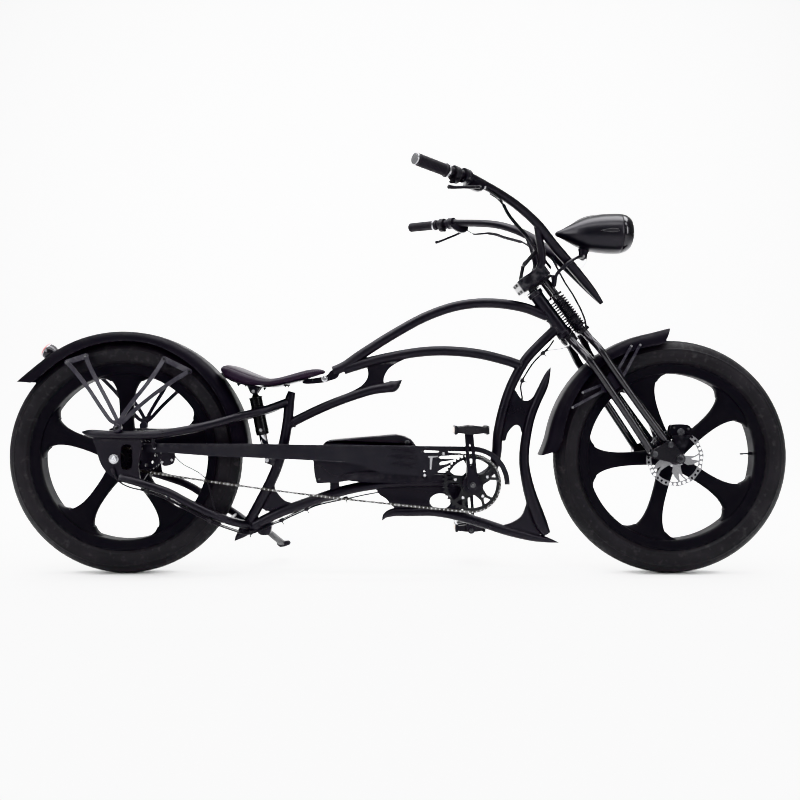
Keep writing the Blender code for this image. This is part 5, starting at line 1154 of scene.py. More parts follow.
# Handlebar
# One bar of swept steel tube, satin black, with a cast clamp for each lever and a bolted plate behind it.
bar_run = [(0.142, -0.314, 1.1765, 0.0138), (0.175, -0.29, 1.175, 0.0138), (0.213, -0.263, 1.1715, 0.0138),
    (0.333, -0.155, 1.14, 0.0138), (0.424, -0.086, 1.09, 0.0145), (0.482, -0.05, 1.033, 0.0155),
    (0.549, -0.023, 0.966, 0.0155), (0.612, -0.009, 0.896, 0.013), (0.648, -0.002, 0.853, 0.007)]
bar_parts = [bent_tube(run, 28, 6) for run in (bar_run, other_side(bar_run))]
for side in (-1, 1):
    grip_way = Vector((-0.098, side * 0.0845, 0.0095)).normalized()
    clamp_spot = Vector((0.19, side * 0.28, 1.1738))
    bar_parts.append(turned([(0.0165, -0.012), (0.0205, -0.0116), (0.0215, -0.0105), (0.0215, -0.0012),
        (0.0206, 0.0), (0.0215, 0.0012), (0.0215, 0.0105), (0.0205, 0.0116), (0.0165, 0.012)], clamp_spot,
        grip_way, 36))
    low, high = sorted((side * 0.2525, side * 0.2702))
    lever_seat = rounded_line([(0.188, 1.166), (0.238, 1.166), (0.248, 1.153), (0.239, 1.138), (0.218, 1.137),
        (0.188, 1.154)], 4)
    bar_parts.append(cut_plate(lever_seat, low, high))
fit("handlebar_tube", together(*bar_parts), satin_black, "steering", ["handlebar"],
    bevel=0.0008)
clamp_screws = []
for side in (-1, 1):
    for forward in (-0.008, 0.008):
        clamp_screws.append(screw((0.192 + forward, side * 0.2935, 1.1625 + forward * 0.1),
            (0.1, side * 0.75, -0.66)))
    clamp_screws.append(screw((0.232, side * 0.2702, 1.144), (0, side, 0), 0.0045, 0.0022, 0.0022))
fit("lever_clamp_screws", together(*clamp_screws), black_screw, "steering")


# Grips
# Soft rubber sleeves with moulded ribs, held by a silver clamp ring inside and a plated plug outside.
grip_rubber = coated("grip_rubber", (0.012, 0.0115, 0.0125), (0.019, 0.018, 0.02), 0.62, grain=1100.0,
    depth=0.00007, bare=(0.05, 0.05, 0.05), rub=0.15, dust=0.05)
silver = coated("anodised_silver", (0.52, 0.52, 0.54), (0.44, 0.44, 0.46), 0.24, metal=1.0, grain=900.0,
    depth=0.00001, bare=(0.7, 0.7, 0.7), rub=0.15, dust=0.05, spread=0.06)
GRIP_LENGTH = 0.1297
for side, place_name in ((-1, "right"), (1, "left")):
    inner_end = Vector((0.144, side * 0.312, 1.1765))
    outer_end = Vector((0.046, side * 0.3965, 1.186))
    grip_way = (outer_end - inner_end).normalized()
    sleeve = [(0.011, 0.001), (0.0172, 0.0012), (0.0174, 0.0095), (0.015, 0.01), (0.015, 0.0164),
        (0.0174, 0.017), (0.0174, 0.024)]
    for rib in range(19):
        start = 0.0252 + rib * 0.005
        sleeve += [(0.0174, start), (0.0174, start + 0.0028), (0.0163, start + 0.0033),
            (0.0163, start + 0.0044)]
    sleeve += [(0.0174, 0.1212), (0.0174, GRIP_LENGTH - 0.003), (0.015, GRIP_LENGTH - 0.0022),
        (0.011, GRIP_LENGTH - 0.0022)]
    fit(f"grip_sleeve_{place_name}", turned(sleeve, inner_end, grip_way, 48), grip_rubber, "steering",
        [f"grip_{place_name}"], sharp=30)
    fit(f"grip_ring_{place_name}", turned([(0.0152, 0.0102), (0.0196, 0.0102), (0.0204, 0.011),
        (0.0204, 0.015), (0.0196, 0.016), (0.0152, 0.016)], inner_end, grip_way, 48), silver, "steering")
    fit(f"grip_plug_{place_name}", turned([(0.011, GRIP_LENGTH - 0.0026), (0.0162, GRIP_LENGTH - 0.0026),
        (0.0166, GRIP_LENGTH - 0.0014), (0.016, GRIP_LENGTH + 0.0004), (0.012, GRIP_LENGTH + 0.0014),
        (0.0001, GRIP_LENGTH + 0.0018)], inner_end, grip_way, 48), silver, "steering")


# Brake levers
# Forged alloy blades, flattened where the fingers pull, each turning on a screw in its clamp plate.
for side, place_name in ((-1, "right"), (1, "left")):
    blade_run = [(0.23, side * 0.2775, 1.144, 0.0048), (0.205, side * 0.3, 1.137, 0.0052),
        (0.18, side * 0.322, 1.131, 0.0052), (0.152, side * 0.345, 1.124, 0.0057),
        (0.138, side * 0.357, 1.1225, 0.0068)]
    knuckle = turned([(0.0001, -0.0042), (0.004, -0.0042), (0.0054, -0.0034), (0.0054, 0.0034),
        (0.004, 0.0042), (0.0001, 0.0042)], (0.23, side * 0.2775, 1.144), (-0.654 * side, -0.757, 0), 24)
    fit(f"brake_lever_blade_{place_name}", together(bent_tube(blade_run, 20, 8), knuckle), satin_black,
        f"brake_lever_{place_name}", [f"brake_lever_{place_name}"])
    pin = turned([(0.0001, -0.005), (0.0024, -0.005), (0.0026, -0.0042), (0.0026, 0.0042), (0.0024, 0.005),
        (0.0001, 0.005)], (0.23, side * 0.2775, 1.144), (-0.654 * side, -0.757, 0), 20)
    fit(f"brake_lever_pin_{place_name}", pin, bright_steel, f"brake_lever_{place_name}")


# Switches on the bar
# A gear shifter pod beside the right grip and a button pad beside the left, each moulded in black plastic
# round the bar.
black_plastic = coated("moulded_black_plastic", (0.012, 0.012, 0.0125), (0.0175, 0.0175, 0.018), 0.46,
    grain=800.0, depth=0.00006, bare=(0.06, 0.06, 0.06), rub=0.15, dust=0.06)
for side, place_name in ((-1, "shifter"), (1, "button_pad")):
    grip_way = Vector((-0.098, side * 0.0845, 0.0095)).normalized()
    pod_spot = Vector((0.152, side * 0.306, 1.176)) - grip_way * 0.0095
    pod = turned([(0.0152, -0.01), (0.0205, -0.0096), (0.0218, -0.008), (0.0218, 0.008), (0.0205, 0.0096),
        (0.0152, 0.01)], pod_spot, grip_way, 36)
    across = grip_way.cross(Vector((0, 0, 1))).normalized() * side
    lift = Vector((0, 0, 1))
    case = []
    for along, half, tall in ((-0.0098, 0.009, 0.004), (-0.0085, 0.0115, 0.006), (0.0085, 0.0115, 0.006),
            (0.0098, 0.009, 0.004)):
        middle = pod_spot + grip_way * along - lift * 0.0215
        case.append(ring_of(middle, across, lift, half * 1.15, tall, 16, 0.5))
    fit(f"{place_name}_case", together(pod, skin(case)), black_plastic, "steering",
        bevel=0.0006)
    if side < 0:
        thumb = pod_spot - lift * 0.023 + across * 0.004
        lever = bent_tube([(*(thumb + grip_way * 0.001), 0.003),
            (*(thumb + grip_way * 0.01 - lift * 0.006), 0.003),
            (*(thumb + grip_way * 0.021 - lift * 0.008), 0.0036),
            (*(thumb + grip_way * 0.027 - lift * 0.006), 0.0016)], 16, 5)
        fit("shifter_thumb_lever", lever, black_plastic, "steering")
    else:
        keys = [turned([(0.0001, 0.0), (0.004, 0.0), (0.004, 0.0012), (0.0034, 0.0018), (0.0001, 0.002)],
            pod_spot + across * 0.0214 * -side + grip_way * along, across * -side, 24)
            for along in (-0.0045, 0.0045)]
        fit("button_pad_keys", together(*keys), grip_rubber, "steering")


# Stem
# A forged block on the steerer with two risers that carry the bar, and two clamp bolts at its back.
stem_body = fork_block((-0.056, -0.0145), (-0.036, 0.066), 0.056)
risers = []
for side in (-1, 1):
    foot = by_fork(-0.046, 0.045, side * 0.044)
    riser = [(*foot, 0.0125), (0.449, side * 0.05, 0.985, 0.0124), (0.438, side * 0.062, 1.045, 0.012),
        (0.426, side * 0.082, 1.088, 0.0118)]
    risers.append(bent_tube(riser, 28, 8))
fit("stem_forging", together(stem_body, *risers), satin_black, "steering", ["stem"],
    bevel=0.0035)
stem_bolts = []
for down in (-0.0475, -0.023):
    for side in (-0.018, 0.018):
        stem_bolts.append(screw(by_fork(down, -0.0362, side), -STEER_FORWARD, 0.0052, 0.004, 0.0026))
fit("stem_bolts", together(*stem_bolts), black_screw, "steering")
top_cap = turned([(0.0001, 0.0), (0.017, 0.0), (0.017, 0.0012), (0.015, 0.0024), (0.006, 0.0026),
    (0.006, 0.0006), (0.0001, 0.0006)], by_fork(-0.056, 0.0), -STEER_DOWN, 40)
fit("steerer_top_cap", together(top_cap, screw(by_fork(-0.0564, 0.0), -STEER_DOWN, 0.0045, 0.0022, 0.0024)),
    bright_steel, "steering")


# Display
# A small sealed screen on a leg from the stem, tipped towards the rider, with three keys under its glass.
DISPLAY_TILT = Matrix.Translation((0.4189, 0.0, 0.9964)) @ Matrix.Rotation(radians(-49.3), 4, "Y")


def slab(half_long, half_wide, low, high, round_by=0.006, place=DISPLAY_TILT, shift=0.0):
    """A flat-lying rounded slab, set into place by a matrix."""
    rings = []
    for inset, level in ((0.0012, low), (0.0, low + 0.0012), (0.0, high - 0.0012), (0.0012, high)):
        ring = []
        for quarter, (x, y) in enumerate(((1, 1), (-1, 1), (-1, -1), (1, -1))):
            for step in range(6):
                angle = radians(90) * (quarter + step / 5)
                ring.append(place @ Vector((shift + x * (half_long - round_by)
                    + (round_by - inset) * cos(angle),
                    y * (half_wide - round_by) + (round_by - inset) * sin(angle), level)))
        rings.append(ring)
    return skin(rings)


display_leg = bent_tube([(*by_fork(-0.055, -0.012), 0.0068), (0.4, 0.0, 0.977, 0.0066),
    (0.415, 0.0, 0.99, 0.0066)], 20, 4)
fit("display_case", together(slab(0.0355, 0.03, -0.007, 0.0062), display_leg), black_plastic, "steering",
    ["display"], sharp=50)
screen, screen_tree, screen_shader, screen_place = new_finish("display_screen",
    {"Coat Weight": 1.0, "Coat Roughness": 0.02, "Specular IOR Level": 0.6})
smudge = noisy(screen_tree, screen_place, 70.0, 6.0)
screen_tree.links.new(blended(screen_tree, ramped(screen_tree, smudge, 0.4, 0.7), (0.006, 0.008, 0.01),
    (0.014, 0.017, 0.02)), screen_shader.inputs["Base Color"])
screen_tree.links.new(ramped(screen_tree, smudge, 0.3, 0.8, 0.05, 0.16), screen_shader.inputs["Roughness"])
fit("display_glass", slab(0.024, 0.026, 0.0062, 0.0071, 0.003, shift=0.007), screen, "steering")
key_row = [slab(0.0035, 0.006, 0.0062, 0.0073, 0.0028, DISPLAY_TILT @ Matrix.Translation((-0.024, side, 0.0)))
    for side in (-0.016, 0.0, 0.016)]
fit("display_keys", together(*key_row), grip_rubber, "steering")


# Headlight
# A spun teardrop shell in satin black with a crest on top and a sunk teardrop in each side. A rounded bezel
# holds the clear lens over a plated reflector and lamp, and a bent arm bolts the shell to the fork crown.
HEADLIGHT_LEVEL = 1.074
light_centre = Vector((0.0, 0.0, HEADLIGHT_LEVEL))
shell_line = [(0.0001, 0.4984), (0.0045, 0.499), (0.0085, 0.503), (0.013, 0.514), (0.0185, 0.5245),
    (0.0238, 0.534), (0.032, 0.5487), (0.04, 0.563), (0.047, 0.5778), (0.053, 0.5945), (0.0573, 0.612),
    (0.0603, 0.63), (0.0625, 0.647), (0.0639, 0.665), (0.0645, 0.685), (0.0643, 0.696), (0.0638, 0.701),
    (0.0628, 0.703)]
shell_inside = [(0.06, 0.703), (0.057, 0.69), (0.054, 0.65), (0.045, 0.608), (0.028, 0.565), (0.0001, 0.545)]
light_paint = coated("headlight_paint", (0.0055, 0.0055, 0.0062), (0.008, 0.008, 0.0088), 0.32, coat=0.12,
    grain=240.0, depth=0.00002, rub=0.1, dust=0.05, spread=0.05)
fit("headlight_bullet", turned(shell_line + shell_inside, light_centre, (1, 0, 0), 96), light_paint,
    "steering", ["headlight_shell"], sharp=35)


def shell_reach(x):
    """The shell's radius at a distance along the bike."""
    for (near, start), (far, end) in zip(shell_line, shell_line[1:]):
        if start <= x <= end:
            return near + (far - near) * (x - start) / (end - start)
    return shell_line[-1][0]


def on_shell(x, height, side, proud):
    """A point on the shell's flank at a height above its axis."""
    reach = shell_reach(x) + proud
    return Vector((x, side * sqrt(reach ** 2 - height ** 2), HEADLIGHT_LEVEL + height))


crest_rows = curved([(0.548, 0.0006, 0.0008, 0), (0.56, 0.0024, 0.0024, 0), (0.58, 0.0042, 0.0042, 0),
    (0.605, 0.0044, 0.0052, 0), (0.635, 0.0034, 0.005, 0), (0.665, 0.0018, 0.0036, 0),
    (0.69, 0.0005, 0.0012, 0)], 3)
crest = []
for x, tall, half, _ in crest_rows:
    seat = HEADLIGHT_LEVEL + shell_reach(x) - 0.0008
    crest.append(ring_of(Vector((x, 0, seat)), Vector((0, 1, 0)), Vector((0, 0, 1)), half, max(tall, 0.0002),
        16))
fit("headlight_crest", skin(crest), light_paint, "steering", sharp=60)

slot_lips = []
slot_floors = []
for side in (-1, 1):
    lip = []
    for step in range(40):
        turn = 2 * pi * step / 40
        share = 0.5 + 0.5 * cos(turn)
        lip.append((0.628 + 0.058 * share, -0.0025 + 0.0078 * sin(turn) * share ** 0.7))
    rings = []
    for index, (x, height) in enumerate(lip):
        before, after = lip[index - 1], lip[(index + 1) % 40]
        way = Vector((after[0] - before[0], 0, after[1] - before[1])).normalized()
        outward = Vector((0, side, 0))
        across = way.cross(outward)
        middle = on_shell(x, height, side, 0.0002)
        rings.append(ring_of(middle, outward, across, 0.0008, 0.0011, 8))
    slot_lips.append(skin(rings, loop=True))
    rows = [[on_shell(0.657 + (x - 0.657) * near, -0.0025 + (height + 0.0025) * near, side, proud)
        for x, height in lip] for near, proud in ((0.97, -0.001), (0.97, 0.0003), (0.5, 0.0003),
        (0.02, 0.0003))]
    slot_floors.append(skin(rows))
fit("headlight_slot_lips", together(*slot_lips), gloss_black, "steering", sharp=70)
fit("headlight_slot_floors", together(*slot_floors), black_plastic, "steering")

bezel_ring = turned([(0.06, 0.7036), (0.063, 0.7036), (0.0634, 0.7048), (0.063, 0.71), (0.0612, 0.7175),
    (0.0578, 0.7248), (0.0535, 0.731), (0.0498, 0.735), (0.048, 0.736), (0.0468, 0.7352), (0.0466, 0.733),
    (0.05, 0.728), (0.054, 0.72), (0.056, 0.71)], light_centre, (1, 0, 0), 96, hollow=True)
fit("headlight_bezel", bezel_ring, gloss_black, "steering", sharp=50)
reflector = turned([(0.054, 0.715), (0.044, 0.696), (0.027, 0.68), (0.008, 0.673), (0.0001, 0.673),
    (0.0001, 0.672), (0.0085, 0.672), (0.028, 0.679), (0.045, 0.695), (0.055, 0.7148)], light_centre,
    (1, 0, 0), 64)
fit("headlight_reflector", reflector, silver, "steering")
lamp_bulb = turned([(0.0001, 0.6725), (0.0075, 0.6725), (0.0085, 0.68), (0.0085, 0.696), (0.006, 0.702),
    (0.0001, 0.704)], light_centre, (1, 0, 0), 28)
ivory = coated("lamp_ivory", (0.62, 0.58, 0.42), (0.7, 0.67, 0.52), 0.3, grain=500.0, dust=0.02, rub=0.0)
fit("headlight_lamp", lamp_bulb, ivory, "steering")
glass, glass_tree, glass_shader, glass_place = new_finish("lens_glass",
    {"Transmission Weight": 0.9, "IOR": 1.48, "Coat Weight": 0.5})
haze = noisy(glass_tree, glass_place, 60.0, 6.0)
glass_tree.links.new(blended(glass_tree, ramped(glass_tree, haze, 0.3, 0.7), (0.8, 0.83, 0.85),
    (0.88, 0.9, 0.91)), glass_shader.inputs["Base Color"])
glass_tree.links.new(ramped(glass_tree, haze, 0.35, 0.8, 0.03, 0.12), glass_shader.inputs["Roughness"])
lens_face = [(0.0472, 0.731), (0.0464, 0.7344), (0.038, 0.741), (0.027, 0.7456), (0.014, 0.7483),
    (0.0001, 0.749), (0.0001, 0.746), (0.014, 0.7453), (0.027, 0.7425), (0.037, 0.7382), (0.045, 0.731)]
fit("headlight_lens_glass", turned(lens_face, light_centre, (1, 0, 0), 96), glass, "steering",
    ["headlight_lens"], sharp=50)
bracket_start = by_fork(-0.009, 0.0665) + Vector((0.002, -0.043, 0))
bracket_run = [(*bracket_start, 0.0054), (0.487, -0.05, 0.901, 0.006), (0.493, -0.052, 0.9356, 0.006),
    (0.515, -0.056, 0.96, 0.006), (0.533, -0.058, 0.975, 0.0055), (0.562, -0.044, 0.992, 0.0055),
    (0.585, -0.01, 0.999, 0.0055)]
cup_rows = []
for level, reach_x, reach_y, shift in ((0.992, 0.008, 0.006, -0.003), (0.994, 0.012, 0.009, -0.002),
        (1.004, 0.0138, 0.011, -0.001), (1.016, 0.017, 0.0125, 0.002), (1.026, 0.022, 0.014, 0.005)):
    cup_rows.append(ring_of(Vector((0.588 + shift, 0, level)), Vector((1, 0, 0)), Vector((0, 1, 0)), reach_x,
        reach_y, 32))
fit("headlight_arm", together(bent_tube(bracket_run, 20, 6), skin(cup_rows)), satin_black, "steering",
    ["headlight_bracket"], bevel=0.0006)
fit("headlight_arm_bolt", together(hex_nut((0.588, 0.0, 0.993), (0, 0, -1), 0.0065, 0.005),
    hex_nut((0.5865, -0.01, 1.001), (0, -1, 0), 0.0055, 0.0045)), bright_steel, "steering")
light_wire = [(0.6, -0.008, 1.018, 0.0013), (0.598, -0.012, 0.998, 0.0013), (0.593, -0.018, 0.982, 0.0013),
    (0.584, -0.0215, 0.968, 0.0013), (0.57, -0.026, 0.958, 0.0013)]
fit("headlight_wire", bent_tube(light_wire, 12, 6), grip_rubber, "steering")


# Cranks
# Forged steel arms on a square spindle, black, with an open slot down each arm and a bolt at each end.
CRANK_LEAN = radians(4.4)
right_pedal = Vector((0.215881, -0.166, 0.459496))
left_pedal = Vector((0.242119, 0.166, 0.118504))
crank_parts = []
crank_bolts = []
for side, end in ((-1, right_pedal), (1, left_pedal)):
    along = Vector((end.x - BRACKET.x, 0, end.z - BRACKET.z))
    reach = along.length
    along.normalize()
    across = Vector((along.z, 0, -along.x))
    outline = [(-0.018, 0.0001), (-0.0165, 0.0075), (-0.011, 0.0145), (0.0, 0.018), (0.014, 0.0172),
        (0.034, 0.016), (0.08, 0.0148), (0.125, 0.014), (0.148, 0.0138), (0.16, 0.0138), (reach, 0.0135),
        (reach + 0.0095, 0.0098), (reach + 0.0132, 0.003)]
    edge = [BRACKET + along * out + across * half for out, half in outline]
    edge += [BRACKET + along * out - across * half for out, half in reversed(outline)]
    slot = [BRACKET + along * (0.052 + 0.03 * (1 - cos(2 * pi * step / 24)) * 0.5 * 2.4)
        + across * 0.0036 * sin(2 * pi * step / 24) for step in range(24)]
    low, high = sorted((side * 0.088, side * 0.102))
    crank_parts.append(cut_plate([(point.x, point.z) for point in edge], low, high,
        [[(point.x, point.z) for point in slot]]))
    crank_bolts.append(screw((BRACKET.x, side * 0.102, BRACKET.z), (0, side, 0), 0.0082, 0.0022, 0.0044))
    crank_bolts.append(turned([(0.0001, 0.0), (0.0072, 0.0), (0.0072, 0.0014), (0.0056, 0.0022),
        (0.004, 0.0022), (0.004, 0.0004), (0.0001, 0.0004)], (end.x, side * 0.0878, end.z), (0, -side, 0),
        32))
spindle = turned([(0.0084, -0.0885), (0.0084, 0.0885)], BRACKET, segments=32)
crank_boss = turned([(0.009, -0.0886), (0.03, -0.088), (0.03, -0.066), (0.029, -0.0616), (0.009, -0.0616)],
    BRACKET, segments=48, hollow=True)
left_collar = turned([(0.0088, 0.041), (0.015, 0.041), (0.016, 0.042), (0.016, 0.0885), (0.0088, 0.0885)],
    BRACKET, segments=36, hollow=True)
fit("crank_arms", together(*crank_parts, spindle, crank_boss, left_collar), satin_black, "cranks",
    ["cranks"], bevel=0.0022)
fit("crank_bolts", together(*crank_bolts), dark_bolt, "cranks")


# Chainring
# One stamped steel ring of 44 teeth on a five-armed spider with forked cut-outs between its arms.
CHAIN_PITCH = 0.0127
CHAINRING_TEETH = 44
CHAIN_PLANE = -0.06


def toothed_edge(centre, teeth, tall=0.0028, root=0.0042, phase=0.0):
    """The side view of a sprocket's teeth as x, z points."""
    radius = CHAIN_PITCH / (2 * sin(pi / teeth))
    line = []
    for tooth in range(teeth):
        for share, lift in ((0.0, tall), (0.07, tall * 0.8), (0.2, -root * 0.15), (0.34, -root * 0.85),
                (0.5, -root), (0.66, -root * 0.85), (0.8, -root * 0.15), (0.93, tall * 0.8)):
            angle = phase + 2 * pi * (tooth + share) / teeth
            line.append((centre.x + (radius + lift) * cos(angle), centre.z + (radius + lift) * sin(angle)))
    return line


ring_windows = []
for arm in range(5):
    middle = radians(90) + CRANK_LEAN + 2 * pi * (arm + 0.5) / 5
    gap_line = [(0.0755, -0.36 + 0.72 * step / 8) for step in range(9)]
    gap_line += [(0.06, 0.4), (0.048, 0.3), (0.038, 0.14), (0.038, -0.14), (0.048, -0.3), (0.06, -0.4)]
    fork_line = [(0.0755, -0.13), (0.0757, 0.0), (0.0755, 0.13), (0.062, 0.05), (0.06, 0.0), (0.062, -0.05)]
    for line, about in ((gap_line, middle), (fork_line, middle + pi / 5)):
        ring_windows.append([spun(BRACKET, radius, about + turn) for radius, turn in line])
ring_bore = [(BRACKET.x + 0.0095 * cos(-2 * pi * step / 36), BRACKET.z + 0.0095 * sin(-2 * pi * step / 36))
    for step in range(36)]
ring_plate = cut_plate(toothed_edge(BRACKET, CHAINRING_TEETH), CHAIN_PLANE - 0.001, CHAIN_PLANE + 0.001,
    [*ring_windows, ring_bore])
ring_bolts = []
for arm in range(5):
    angle = radians(90) + CRANK_LEAN + 2 * pi * arm / 5
    spot = BRACKET + Vector((0.052 * cos(angle), CHAIN_PLANE - 0.001, 0.052 * sin(angle)))
    ring_bolts.append(screw(spot, (0, -1, 0), 0.0044, 0.002, 0.0022))
ring_steel = coated("dark_ring_steel", (0.022, 0.022, 0.024), (0.036, 0.036, 0.038), 0.42, metal=0.6,
    grain=700.0, depth=0.00001, bare=(0.35, 0.35, 0.36), rub=0.5, dust=0.1)
fit("chainring_plate", ring_plate, ring_steel, "cranks", ["chainring"], bevel=0.0003)
fit("chainring_bolts", together(*ring_bolts), bright_steel, "cranks")


# Rear sprocket
# A small hardened sprocket of 15 teeth on the wheel's hub, dark with chain oil.
SPROCKET_TEETH = 15
rear_bore = [(REAR_AXLE.x + 0.0085 * cos(-2 * pi * step / 32),
    REAR_AXLE.z + 0.0085 * sin(-2 * pi * step / 32)) for step in range(32)]
sprocket_plate = cut_plate(toothed_edge(REAR_AXLE, SPROCKET_TEETH), CHAIN_PLANE - 0.001, CHAIN_PLANE + 0.001,
    [rear_bore])
sprocket_hub = turned([(0.0086, -0.0638), (0.0155, -0.0638), (0.0165, -0.0628), (0.0165, -0.047),
    (0.0086, -0.0466)], REAR_AXLE, segments=40, hollow=True)
fit("rear_sprocket_teeth", together(sprocket_plate, sprocket_hub), ring_steel, "rear_sprocket",
    ["rear_sprocket"], bevel=0.0003)


# Chain idler
# A black toothed cover and an idler block ahead of the axle, behind the chain, with two bright screws and the
# shifter's casing running back from it.
idler_centre = Vector((-0.779, 0.0, 0.375))
idler_edge = []
for tooth in range(26):
    for share, reach in ((0.0, 0.0468), (0.35, 0.047), (0.5, 0.044), (0.85, 0.0442)):
        idler_edge.append(spun(idler_centre, reach, 2 * pi * (tooth + share) / 26))
idler_holes = [round_hole(spun(idler_centre, 0.03, 2 * pi * step / 8), 0.006) for step in range(8)]
idler_arm = bent_tube([(-0.779, -0.0515, 0.335, 0.0042), (-0.779, -0.056, 0.3185, 0.0042),
    (-0.779, -0.075, 0.309, 0.0042), (-0.779, -0.098, 0.301, 0.0042)], 20, 6)
idler_block = cut_plate(rounded_line([(-0.734, 0.38), (-0.72, 0.386), (-0.695, 0.383), (-0.692, 0.36),
    (-0.702, 0.346), (-0.73, 0.343)], 3), -0.0545, -0.0475)
idler_strap = cut_plate([(-0.76, 0.36), (-0.76, 0.348), (-0.715, 0.35), (-0.715, 0.362)], -0.0535, -0.0485)
fit("idler_cover", together(cut_plate(idler_edge, -0.055, -0.049, idler_holes), idler_arm, idler_block,
    idler_strap), satin_black, "frame", bevel=0.0005)
fit("idler_screws", together(*(screw((x, -0.0545, z), (0, -1, 0), 0.0042, 0.0026, 0.002)
    for x, z in ((-0.731, 0.354), (-0.7005, 0.361)))), bright_steel, "frame")


# Chain
# A roller chain of stamped side plates, pins and rollers, every link laid along the two straight runs and
# the two wraps of its teeth; the lower run hangs a little.
def chain_route():
    """Joint centres round both sprockets, one pitch apart."""
    front = CHAIN_PITCH / (2 * sin(pi / CHAINRING_TEETH))
    back = CHAIN_PITCH / (2 * sin(pi / SPROCKET_TEETH))
    gap = BRACKET - REAR_AXLE
    heading = atan2(gap.z, gap.x)
    lean = acos((front - back) / gap.length)
    line = []
    for step in range(400):
        angle = heading + lean - 2 * lean * step / 400
        line.append(Vector((BRACKET.x + front * cos(angle), CHAIN_PLANE, BRACKET.z + front * sin(angle))))
    low_start = Vector((BRACKET.x + front * cos(heading - lean), CHAIN_PLANE,
        BRACKET.z + front * sin(heading - lean)))
    low_end = Vector((REAR_AXLE.x + back * cos(heading - lean), CHAIN_PLANE,
        REAR_AXLE.z + back * sin(heading - lean)))
    for step in range(800):
        share = step / 800
        line.append(low_start.lerp(low_end, share) - Vector((0, 0, 0.01 * sin(pi * share))))
    for step in range(300):
        angle = heading - lean - (2 * pi - 2 * lean) * step / 300
        line.append(Vector((REAR_AXLE.x + back * cos(angle), CHAIN_PLANE, REAR_AXLE.z + back * sin(angle))))
    top_start = Vector((REAR_AXLE.x + back * cos(heading + lean), CHAIN_PLANE,
        REAR_AXLE.z + back * sin(heading + lean)))
    for step in range(800):
        line.append(top_start.lerp(line[0], step / 800))
    line.append(line[0])
    lengths = [0.0]
    for start, end in zip(line, line[1:]):
        lengths.append(lengths[-1] + (end - start).length)
    links = 2 * round(lengths[-1] / CHAIN_PITCH / 2)
    joints = []
    index = 0
    for link in range(links):
        distance = lengths[-1] * link / links
        while lengths[index + 1] < distance:
            index += 1
        share = (distance - lengths[index]) / (lengths[index + 1] - lengths[index])
        joints.append(line[index].lerp(line[index + 1], share))
    return joints


def link_plate(start, end, low, high):
    """A figure-of-eight side plate between two joints."""
    along = (end - start).normalized()
    across = Vector((-along.z, 0, along.x))
    half = 0.004
    edge = []
    for step in range(7):
        angle = radians(110) - radians(220) * step / 6
        edge.append(end + along * half * cos(angle) + across * half * sin(angle))
    edge.append(start.lerp(end, 0.5) - across * half * 0.74)
    for step in range(7):
        angle = radians(-70) - radians(220) * step / 6
        edge.append(start + along * half * cos(angle) + across * half * sin(angle))
    edge.append(start.lerp(end, 0.5) + across * half * 0.74)
    return cut_plate([(point.x, point.z) for point in edge], CHAIN_PLANE + low, CHAIN_PLANE + high)


joints = chain_route()
side_plates = []
pins = []
for number, start in enumerate(joints):
    end = joints[(number + 1) % len(joints)]
    inner = number % 2 == 0
    near, far = (0.0014, 0.0023) if inner else (0.0025, 0.0034)
    side_plates.append(link_plate(start, end, near, far))
    side_plates.append(link_plate(start, end, -far, -near))
    pins.append(turned([(0.0018, -0.0037), (0.0018, 0.0037)], start, segments=10))
    pins.append(turned([(0.003, -0.0013), (0.003, 0.0013)], start, segments=14))
chain_steel = coated("oiled_chain_steel", (0.04, 0.038, 0.036), (0.085, 0.082, 0.078), 0.34, metal=0.85,
    grain=500.0, depth=0.00001, bare=(0.3, 0.3, 0.3), rub=0.5, dust=0.12)
fit("chain_side_plates", together(*side_plates), chain_steel, "frame", ["chain"], sharp=40)
fit("chain_pins_and_rollers", together(*pins), bright_steel, "frame", sharp=50)


